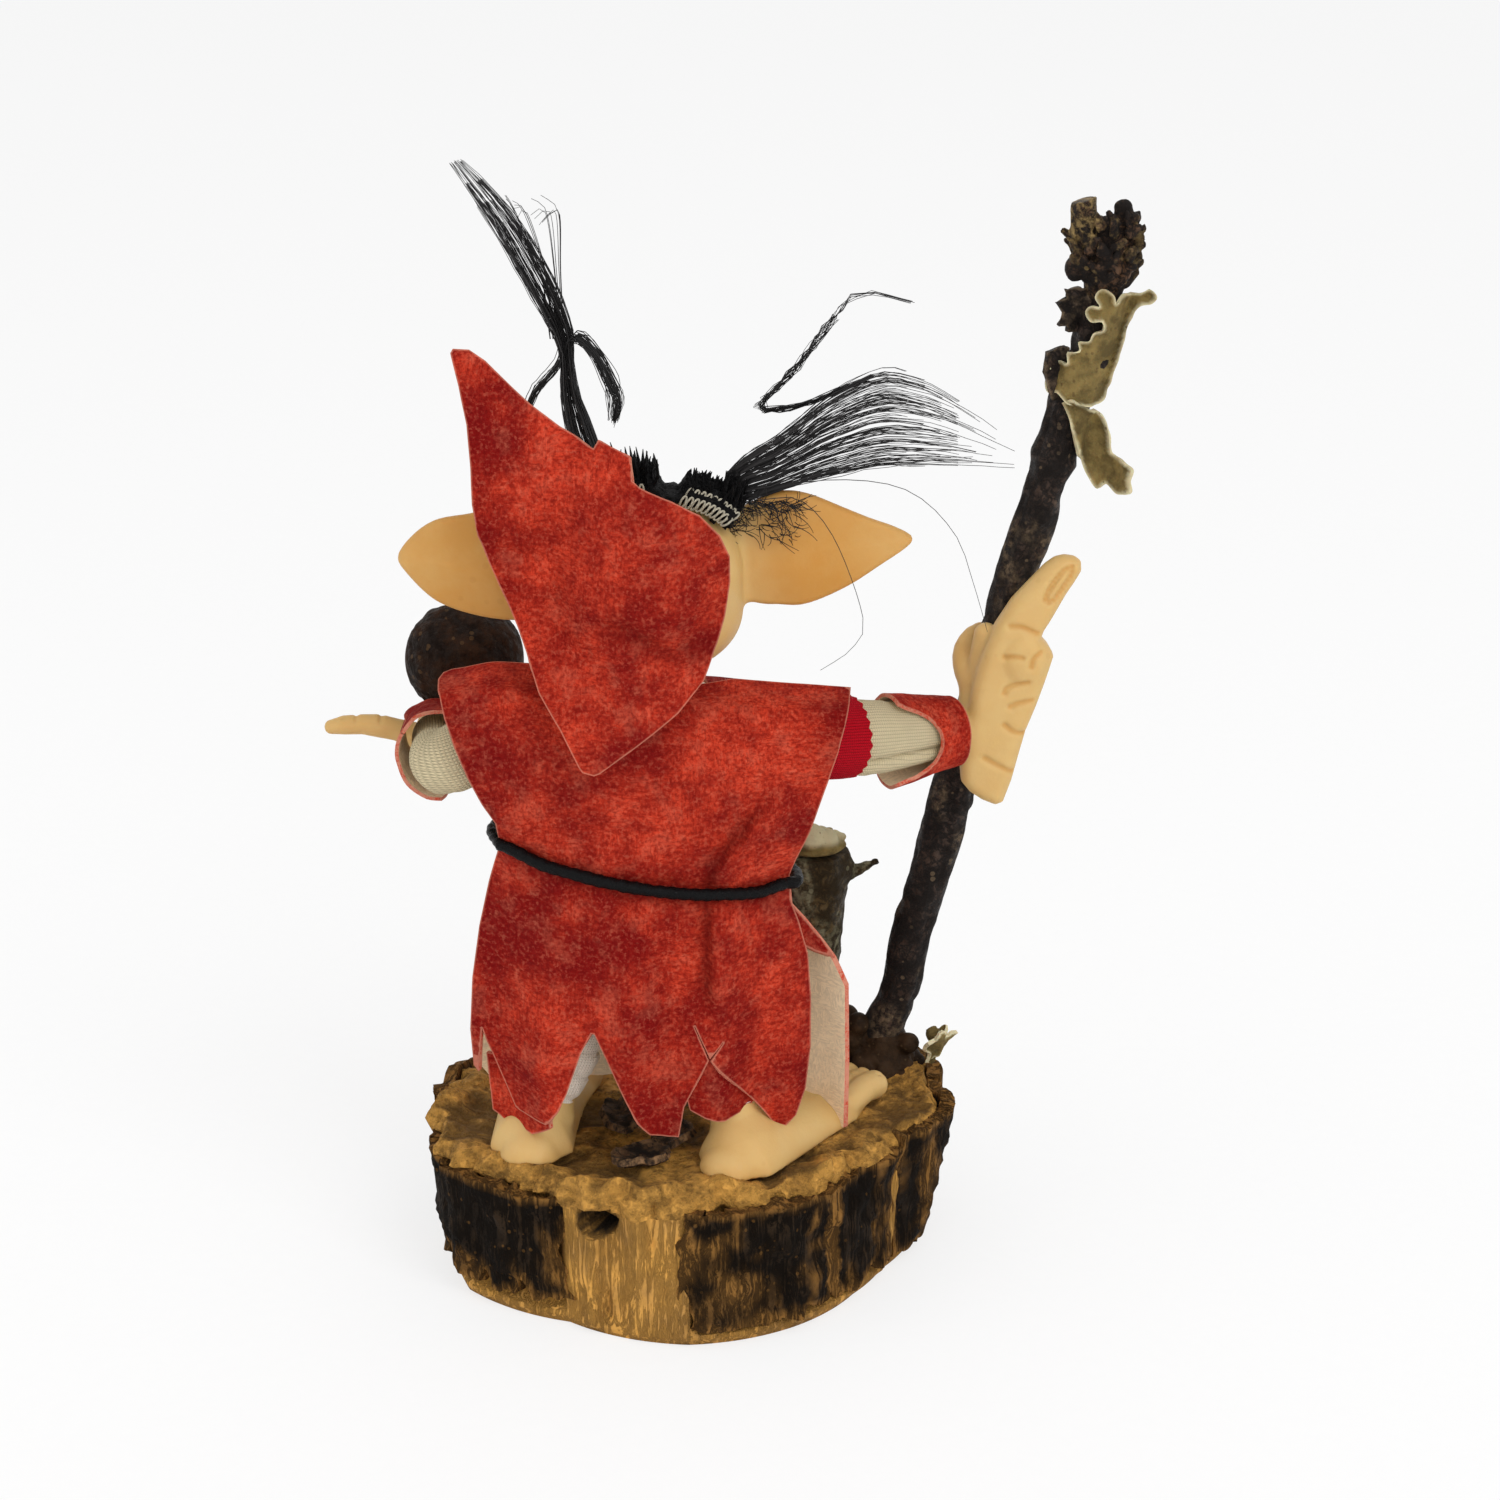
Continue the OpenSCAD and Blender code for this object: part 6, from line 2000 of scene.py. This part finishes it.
EAR_RIGHT = [
    (3, 100.5), (7, 102.6), (10, 104.1), (12.4, 104.4), (14.8, 103.9), (17.2, 102.9), (22, 100.7),
    (25, 99.4), (27.2, 98.0), (26.6, 96.9), (23.3, 94.8), (19.7, 92.5), (16.1, 90.8), (13.6, 90.1),
    (11.2, 90.2), (8.6, 90.4), (4, 92)
]
EAR_LEFT = [
    (-13, 100.5), (-17, 102), (-20.5, 102.6), (-23.4, 102.2), (-25.9, 101.4), (-30.1, 100.4), (-33.2, 98.2),
    (-34.9, 95.8), (-34, 93.9), (-31.1, 90.9), (-28.1, 89.4), (-23.9, 88.4), (-20, 88.2), (-16.6, 89),
    (-13.6, 91)
]


def make_head():
    at = lambda x, y, z: HEAD + (x, y, z)
    clay = Clay((-37.5, -22, 80.2), (29.5, 7.5, 109.5), 0.25)
    clay.ball(at(0, -0.4, -0.4), (10.8, 10.9, 9.3))
    for s in (-1, 1):
        clay.ball(at(4.2 * s, -0.6, 0.1), (7.2, 9.8, 8.3), 2)
    clay.ball(at(0, 1.0, -6.0), (11.6, 9.0, 7.6), 3)
    clay.ball(at(0, 6.8, -9.8), (2.9, 2.7, 2.3), 2)
    clay.limb([at(0, -1, -8), at(0, -0.4, -14.1)], [4.6, 4.1], 2)
    for s in (-1, 1):
        clay.ball(at(4.7 * s, 6.9, -3.2), (3.1, 2.7, 2.8), 2)
        clay.limb([at(6.4 * s, 7.0, 3.6), at(4.2 * s, 9.0, 4.5), at(1.5 * s, 9.9, 3.8)], [0.9, 1.0, 0.8], 1.4)
        clay.ball(at(4.2 * s, 10.4, 1.6), (2.5, 1.5, 1.6), 0.9, carve=True)
    clay.limb([at(0, 9.2, 3.4), at(0, 10.8, 0.6), at(0, 11.7, -1.6)], [0.9, 1.05, 1.45], 1.0)
    for s in (-1, 1):
        clay.ball(at(1.25 * s, 10.7, -2.1), (0.9, 1.0, 0.75), 0.5)
        clay.ball(at(0.75 * s, 11.6, -3.0), (0.4, 0.5, 0.35), 0.25, carve=True)
        # Lids and the crease over them: angles, width, depth and bulge, height and rise, size, softness
        for first, last, wide, y, bulge, z, tall, size, soft, carve in (
                (0.25, 2.9, 1.75, 9.75, 0.75, 1.6, 1.35, 0.5, 0.35, False),
                (-0.15, -3.0, 1.7, 9.7, -0.45, 1.55, 1.3, 0.36, 0.35, False),
                (0.5, 2.6, 2.3, 9.75, 0.6, 2.0, 1.7, 0.16, 0.25, True)):
            lid = [at(4.2 * s + wide * math.cos(a), y + bulge * math.sin(a), z + tall * math.sin(a))
                   for a in linspace(first, last, 9)]
            clay.limb(lid, size, soft, carve)

    def across(*half):
        """A line over the face, from its left end to the middle and back out to the right"""
        return [at(-x, y, z) for x, y, z in half] + [at(x, y, z) for x, y, z in half[-2::-1]]

    clay.limb(
        across((2.7, 9.2, -6.3), (1.0, 10.1, -5.8), (0, 10.15, -6.0)), [0.3, 0.62, 0.55, 0.62, 0.3], 0.7)
    clay.limb(across((2.3, 9.2, -6.7), (0, 10.0, -7.1)), [0.35, 0.75, 0.35], 0.7)
    clay.limb(across((2.9, 9.5, -6.35), (1.2, 10.55, -6.42), (0, 10.75, -6.5)), 0.2, 0.25, carve=True)
    clay.limb([at(0, 11.0, -4.0), at(0, 10.75, -5.0)], 0.3, 0.5, carve=True)

    for outline, way, tip, inner in (
            (EAR_RIGHT, 1, 27.2, (95.6, 96.2, 96.6, 96.8)), (EAR_LEFT, -1, -34.9, (94.6, 95, 95.2, 95.6))):
        outline = [tuple(p) for p in curve(outline + outline[:1], 90)[:-1]]
        xs = [x for x, z in outline]
        low, high = array([min(xs) - 2, -14.0, 86.0]), array([max(xs) + 2, -0.5, 107.0])

        def reach(p):
            return clip(1 - abs(p[..., 0] - tip) / 22, 0, 1)

        def middle(p, edge):
            rib = 0.9 * bell(p[..., 2] - 96 - 0.1 * p[..., 0] * way, 2.6) * reach(p)
            return -7.3 + 1.5 * reach(p) ** 2 - 0.12 * maximum(-edge, 0) + rib

        def half(p, edge):
            return 0.75 + 0.16 * clip(-edge, 0, 5) * (1 - 0.6 * reach(p))

        clay.shape(low, high, lambda p: slab(p, outline, middle, half, 0.7), 1.2)
        start = HEAD[0] + 10.5 * way
        spots = [(start + share * (tip - start), -4.2 + 1.2 * share, z)
                 for share, z in zip((0.25, 0.45, 0.68, 0.86), inner)]
        clay.limb(spots, [3.6, 3.7, 2.5, 0.8], 0.9, carve=True, flat=(0, 1, 0), press=2.2)
    made = clay.skin(0.5)
    points = made[0]
    reach = abs(points[:, 0] - HEAD[0])
    tint = 0.8 * smooth(10, 17, reach) * (1 - 0.35 * smooth(22, 31, reach)) + 0.12 * noise(points, 6, 120)
    lips = bell(norm((points - at(0, 10.2, -6.5)) / (2.8, 1.6, 1.2), axis=1), 0.8)
    add_piece("head_cast", made, "skin", "rubber", "head", "head", tint=tint + 0.7 * lips)

    parts, kind = [], []
    for s in (-1, 1):
        rings = np.radians(concatenate([[1], linspace(6, 174, 29)]))
        path = at(4.2 * s, 9.2, 1.6) + xyz(0 * rings, 1.4 * cos(rings) + 0.12 * bell(rings, 0.5), 0 * rings)
        bead = tube(path, 1.4 * sin(rings), None, 32)
        parts.append((bead[0], [tuple(reversed(face)) for face in bead[1]], bead[2]))
        steps = np.degrees(rings[:-1])
        kind += [2 if step < 17 else 1 if step < 38 else 0 for step in steps for _ in range(32)] + [2, 0] * 32
    add_piece("eye_beads", (*join(parts), kind), "eye", "eye_white eye_iris eye_pupil", "eyes", "head")


class ELF_OT_head(bpy.types.Operator):
    """Cast head with leaf-shaped ears, and glass bead eyes"""

    bl_idname = "elf.head"
    bl_label = "Head"

    def execute(self, context):
        make_head()
        return {"FINISHED"}


def strands(paths, radius):
    """Thin three-sided hairs along many paths of the same count of points"""
    paths = asarray(paths, float)
    n, m = paths.shape[:2]
    ahead = np.gradient(paths, axis=1)
    ahead /= norm(ahead, axis=2)[..., None] + 1e-9
    side = np.cross(ahead, (0.31, 0.92, 0.23))
    side /= norm(side, axis=2)[..., None] + 1e-9
    over = np.cross(ahead, side)
    radius = broadcast_to(radius, (n, m))[..., None]
    rings = [paths + radius * (math.cos(a) * side + math.sin(a) * over) for a in (0, 2.0944, 4.1888)]
    points = stack(rings, 2).reshape(-1, 3)
    faces, flat = [], []
    for i in range(n):
        for j in range(m - 1):
            a = (i * m + j) * 3
            for k in range(3):
                l = (k + 1) % 3
                faces.append((a + k, a + l, a + 3 + l, a + 3 + k))
                flat += [(k, j), (k + 1, j), (k + 1, j + 1), (k, j + 1)]
        first, last = i * m * 3, (i * m + m - 1) * 3
        faces += [(first + 2, first + 1, first), (last, last + 1, last + 2)]
        flat += [(0, 0)] * 6
    return points, faces, array(flat, float)


def crown(turn, out):
    """Points over the head from ear to ear"""
    a = np.radians(turn)
    return HEAD + xyz((11 + out) * abs(sin(a)) ** 0.8 * np.sign(a), -1.6 + 0 * a, (9.3 + out) * cos(a) ** 0.6)


HAIR_POINTS = 18


def add_tuft(side, paths, shade):
    """A tuft of hairs, with a shade for each hair"""
    made = strands(paths, settings().hair.strand / MM / 2 * linspace(1, 0.55, HAIR_POINTS))
    shade = np.repeat(shade, HAIR_POINTS * 3)
    add_piece(f"{side}_tuft_hairs", made, "hair", "hair", f"hair_{side}_tuft", "head", shade=shade)


# Points of the left tuft's middle line: x, its spread sideways and in depth, height
LEFT_TUFT = [
    (-10.6, 1.6, 0.5, 106.4), (-12.5, 1.6, 1, 112), (-13.6, 1.1, 0.6, 116.4), (-13.9, 0.7, 0.4, 120),
    (-14.1, 1.2, 0.4, 123), (-16.6, 1.9, 0.6, 129), (-20.6, 1.9, 0.7, 136.4), (-24.4, 1.4, 0.6, 141.6),
    (-27.6, 0.5, 0.5, 145.4)
]


def make_hair():
    own = settings().hair
    pick = np.random.default_rng(41)
    turn = linspace(-44, 56, 110)
    pile = interp(turn, [-44, -16, 2, 8, 16, 22, 56], [1.0, 1.3, 1.3, 0.7, 0.7, 1.4, 1.4])
    path = crown(turn, pile - 0.2)
    band = tube(path, pile, 3.6, 36, (0, 1, 0),
                relief=lambda at, along, turn: 0.4 * rough(at, 1.1, 3, 130) + 0.2 * sin(along * 2.6))
    bristles = []
    for _ in range(420):
        angle = pick.uniform(-20, 4) if pick.uniform() < 0.4 else pick.uniform(18, 58)
        across = pick.uniform(-3.4, 3.2)
        spot = crown(array([angle]), 1.9 - 0.12 * across ** 2)[0] + (0, across, 0)
        out = unit(spot - HEAD) + (0, 0, 1.2) + pick.normal(0, 0.25, 3)
        reach = pick.uniform(0.5, 2.0) + 3.0 * pick.uniform() ** 2 * (angle < 4 or angle > 42)
        bristles.append([spot + unit(out) * reach * t + pick.normal(0, 0.12, 3) for t in (-0.4, 0.2, 0.6, 1)])
    spikes = strands(bristles, array([0.5, 0.42, 0.28, 0.05]))
    add_piece("hair_band_weft", join([band, spikes]), "hair_band", "band_weft", "hair_band", "head")

    loops = []
    for k, angle in enumerate(concatenate([linspace(19, 54, 10), linspace(-12, -2, 3)])):
        for row in (-3.75, -2.9):
            spot = crown(array([angle + 1.8 * (row > -3)]), 2.6 - 0.14 * row ** 2)[0] + (0, row, 0)
            up = unit(spot - HEAD - (0, row, 0))
            swing = linspace(0, 2 * pi, 18, endpoint=False)[:, None]
            ring = spot + 0.28 * cos(swing) * unit(np.cross(up, (0, 1, 0))) + 0.8 * sin(swing) * up
            ring = ring - (0.15 + 0.1 * cos(2 * swing)) * array([0, 1, 0])
            loops.append(tube(ring, 0.13, None, 7, (0, 1, 0), loop=True))
    add_piece("hair_band_loops", join(loops), "hair_band", "loop_thread", "", "head")

    left, shade = [], []
    for _ in range(own.left_count):
        t, d, end = pick.uniform(-1, 1), pick.normal(0, 1.1), pick.uniform(0.62, 1.0) ** 0.7
        x, aside, deep, z = transpose(LEFT_TUFT)
        whole = curve(xyz(x + aside * t, -8 + deep * d, z), 60)
        left.append(curve(whole[: int(60 * end)][::4], HAIR_POINTS) + pick.normal(0, 0.05, (HAIR_POINTS, 3)))
        shade.append(pick.uniform(0, 0.9))
    for _ in range(60):
        d = pick.normal(0, 0.35, 3)
        keys = array([
            (-14.2, -8, 120.4), (-13.4, -8.2, 123), (-12.3, -8.4, 123.2), (-10.5, -8.4, 121.2),
            (-9.0, -8.4, 118.2), (-8.2, -8.4, 116.0), (-8.5, -8.4, 113.4)
        ])
        loose = array([0.3, 0.6, 1, 1, 1.1, 1.3, 0.8])[:, None]
        left.append(curve(keys + d * loose + pick.normal(0, 0.14, (7, 3)), HAIR_POINTS))
        shade.append(pick.uniform(0, 0.3))
    for _ in range(30):
        d = pick.normal(0, 0.25, 3)
        keys = array([
            (-18.6, -8, 114.8), (-17.6, -8, 116.8), (-16.1, -8, 118.5), (-14.7, -8, 120.4), (-14.4, -8, 123),
            (-15.4, -8, 127)
        ])
        left.append(curve(keys + d, HAIR_POINTS) + pick.normal(0, 0.05, (HAIR_POINTS, 3)))
        shade.append(pick.uniform(0, 0.4))
    for _ in range(14):
        d = pick.uniform(-1, 1)
        keys = [(-15 + d, -8, 123), (-15.6 + 1.5 * d, -8, 131), (-17 + 3.2 * d, -8, 138),
                (-18.5 + 2.6 * d, -8.4, pick.uniform(136, 140))]
        left.append(curve(keys, HAIR_POINTS))
        shade.append(pick.uniform(0.4, 1))
    add_tuft("left", left, shade)
    right, shade = [], []
    for _ in range(own.right_count):
        t = clip(pick.beta(1.1, 1.1), 0, 1)
        d, end = pick.normal(0, 1.0), pick.uniform(0.55, 1.0) ** 0.6
        rows = [
            (4.8, 103.2, 106.4), (7.4, 103.4, 109.0), (10.4, 104.1, 110.8), (14, 105.3, 113.6),
            (17.1, 106, 116.2), (22.7, 107.2, 119.0), (26.4, 107.4, 118.6), (29.8, 107.5, 117.2),
            (33.8, 107.6, 114.6)
        ]
        keys = [(x, -7.4 + 0.12 * k + d * (0.5 + 0.2 * k), low + (high - low) * t)
                for k, (x, low, high) in enumerate(rows)]
        if pick.uniform() < 0.1:
            keys.append((41.0, -6.0 + 0.8 * d, 106.9 + 2.0 * t))
        whole = curve(keys, 60)
        right.append(curve(whole[: int(60 * end)][::4], HAIR_POINTS) + pick.normal(0, 0.06, (HAIR_POINTS, 3)))
        shade.append(pick.uniform(0, 0.75))
    for k in range(26):
        phase, d = pick.uniform(0, 6.28), pick.normal(0, 0.16, 3)
        keys = array([
            (21.9, -5, 117.6), (18.3, -5, 116.1), (13.6, -5.4, 114.3), (9.4, -5.6, 113.8),
            (8.4, -5.6, 114.2), (10.6, -5.6, 116.3), (13.5, -5.6, 119.5), (17.1, -5.6, 124.4),
            (19.2, -5.6, 127), (21.2, -5.6, 128), (24.1, -5.6, 127.5), (26.7, -5.6, 126.8)
        ])
        line = curve(keys + d, 60)
        s = linspace(0, 1, 60)
        waves = xyz(sin(40 * s + phase), cos(40 * s + phase), sin(36 * s + phase))
        line = line + 0.3 * waves * smooth(1, 0.75, s)[:, None]
        right.append(line[linspace(0, 59 if k < 8 else 43, HAIR_POINTS).astype(int)])
        shade.append(pick.uniform(0, 0.4))
    strays = [
        [
            (8.8, -10, 104), (13.5, -10, 104), (17.7, -10, 99.1), (21.2, -10, 89.1), (19.7, -10, 85.3),
            (16.1, -10, 82.7)
        ],
        [(6.4, -8, 103.6), (16, -8.5, 106), (26, -5, 104), (32.4, -1, 97.4), (35.2, 0, 90), (36.9, 0, 84.3)]
    ]
    for keys in strays:
        right.append(curve(keys, HAIR_POINTS))
        shade.append(0.5)
    for _ in range(420):
        x = 2.4 + 11 * pick.uniform() ** 2.2
        spot = array([x, -9.8 + pick.normal(0, 0.3), 104.6 - 0.1 * (x - 3) - 4.6 * pick.uniform() ** 2.4])
        spin, reach, bow = pick.normal(-0.5, 0.6), pick.uniform(0.6, 3.4), pick.uniform(-0.9, 0.9)
        s = linspace(0, 1, HAIR_POINTS)
        bent = spin + bow * s
        right.append(spot + xyz(reach * s * cos(bent), -0.5 * sin(3 * s), reach * s * sin(bent)))
        shade.append(pick.uniform(0, 0.3))
    add_tuft("right", right, shade)


class ELF_OT_hair(bpy.types.Operator):
    """Stitched hair band and loose tufts of hair"""

    bl_idname = "elf.hair"
    bl_label = "Hair"

    def execute(self, context):
        make_hair()
        return {"FINISHED"}


# Hood rows: height, depth behind the spine at the middle, least depth at the edges
HOOD_ROWS = [
    (122.4, 2, 1.5), (117.4, 5, 3.5), (111.9, 8, 5), (106.9, 10.6, 6), (101.9, 12.2, 6), (96.4, 12.6, 6),
    (90.4, 12.6, 7), (85.4, 12.5, 10.2), (79.9, 12.9, 12.7), (74.0, 13.2, 13.2)
]
HOOD_CUT = [
    (-27.3, 122.1), (-27.0, 122.6), (-25.1, 122.5), (-23.2, 121.3), (-20.4, 118.8), (-18, 116.7),
    (-14.5, 114.1), (-11.2, 112.1), (-10.6, 111.9), (-10, 112.9), (-6.3, 111.6), (-6.0, 109.0),
    (-5.2, 108.4), (-1.5, 106.6), (1.8, 104.5), (4.1, 101.7), (5.25, 99), (5.3, 96), (4.7, 92), (3.7, 88.5),
    (2.2, 84.9), (-0.8, 81.5), (-6.4, 77.1), (-10.1, 74.2), (-10.8, 73.9), (-12.2, 74.3), (-12.6, 74.9),
    (-14.7, 79.4), (-17.3, 83.5), (-18.8, 87.6), (-20.1, 90.8), (-21.3, 93.8), (-22.8, 97.4),
    (-24.3, 101.3), (-24.9, 105.1), (-25, 109.5), (-25.4, 114.3), (-26.3, 118.5)
]


def make_hood():
    thick = settings().leather.thickness / MM

    def valley(x, z):
        return bell(z - 89.4 + 0.3 * (x + 2) - 0.5 * sin(0.7 * x), 1.2) * smooth(-14, -6, x)

    def place(flat):
        x, z = flat.T
        middle, edge = table(HOOD_ROWS, 1, z), table(HOOD_ROWS, 2, z)
        bow = middle - 0.06 * (x + 5) ** 2
        depth = 0.5 * (bow + edge + sqrt((bow - edge) ** 2 + 1.2))
        spot = xyz(x, z, 0 * x)
        slant = xyz(0.6 * x + 0.5 * z, 1.8 * (0.5 * x - 0.6 * z), 0 * x)
        dents = 0.4 * rough(spot, 10, 3, 140) + 0.22 * rough(slant, 6, 3, 143)
        crease = -1.1 * valley(x, z) + 0.9 * bell((z - 95) / 4, 1) * bell((x + 1) / 6, 1)
        crease = crease - 0.4 * bell(z - 99 + 0.35 * (x + 20), 0.9) * smooth(-12, -20, x)
        pleats = sin(3.0 * (z + 0.45 * x) + 1.5 * noise(spot, 5, 146))
        crease = crease + 0.26 * pleats * bell((x + 14.5) / 4, 1) * bell((z - 92) / 6, 1)
        crease = crease + 0.5 * bell(z - 106 - 0.5 * (x + 16), 2.2) * smooth(-8, -14, x)
        depth = depth + (dents + crease) * smooth(78, 86, z)
        # The hood lies outside the balls of the skull
        for middle, half in (
                ((0, -0.4, -0.4), (10.8, 10.9, 9.3)), ((0, 1.0, -6.0), (11.6, 9.0, 7.6)),
                ((-4.2, -0.6, 0.1), (7.2, 9.8, 8.3))):
            u, v = (x - HEAD[0] - middle[0]) / half[0], (z - HEAD[2] - middle[2]) / half[2]
            depth = maximum(depth, 0.5 - middle[1] + half[1] * sqrt(maximum(1 - u ** 2 - v ** 2, 0)))
        return xyz(x, SPINE[1] - depth - thick, z)

    # The crease mark here is painted shade along the hood's valley fold
    add_leather("hood_leather", HOOD_CUT, 0.75, place, thick, "hood", "draped", "head",
                lambda x, z: 0.7 * valley(x, z + 0.6))


class ELF_OT_hood(bpy.types.Operator):
    """Pointed leather hood on the back of the head, with its tail over the tunic"""

    bl_idname = "elf.hood"
    bl_label = "Hood"

    def execute(self, context):
        make_hood()
        return {"FINISHED"}


class ELF_OT_wires(bpy.types.Operator):
    """Finish of the armature wires, whose shapes come from the frame"""

    bl_idname = "elf.wires"
    bl_label = "Wires"

    def execute(self, context):
        steel = FINISHES["bare_wire"]()
        for name in ("leg_wires", "spine_wire", "left_upper_arm_wire", "right_arm_wire", "left_wrist_wire"):
            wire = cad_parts[name]
            for piece in wire if isinstance(wire, (list, tuple)) else [wire]:
                piece.data.materials.clear()
                piece.data.materials.append(steel)
        return {"FINISHED"}


# Panel and registration

class ELF_PT_looks(bpy.types.Panel):
    """Sizes, colours and steps of the elf figurine"""

    bl_idname = "ELF_PT_looks"
    bl_label = "Elf figurine"
    bl_space_type = "VIEW_3D"
    bl_region_type = "UI"
    bl_category = "Elf"

    def draw(self, context):
        own = context.scene.elf
        for name in ("leather", "skin", "knit", "hair", "wood", "stage"):
            box = self.layout.box()
            box.label(text=name.capitalize())
            part = getattr(own, name)
            for key in part.__annotations__:
                box.prop(part, key)
        for step in STEPS:
            self.layout.operator(step.bl_idname)


GROUPS = (ElfLeather, ElfSkin, ElfKnit, ElfHair, ElfWood, ElfStage, ElfSettings)
STEPS = (
    ELF_OT_stage, ELF_OT_wood_slice, ELF_OT_bark, ELF_OT_stump, ELF_OT_staff, ELF_OT_lichen, ELF_OT_glue,
    ELF_OT_feet, ELF_OT_body, ELF_OT_sleeves, ELF_OT_cuffs, ELF_OT_hands, ELF_OT_nut, ELF_OT_tunic,
    ELF_OT_belt, ELF_OT_head, ELF_OT_hair, ELF_OT_hood, ELF_OT_wires
)


def register():
    for kind in (*GROUPS, *STEPS, ELF_PT_looks):
        bpy.utils.register_class(kind)
    bpy.types.Scene.elf = PointerProperty(type=ElfSettings)


def unregister():
    del bpy.types.Scene.elf
    for kind in reversed((*GROUPS, *STEPS, ELF_PT_looks)):
        bpy.utils.unregister_class(kind)


def main():
    register()
    for step in STEPS:
        getattr(bpy.ops.elf, step.bl_idname.split(".")[1])()


if __name__ == "__main__":
    main()
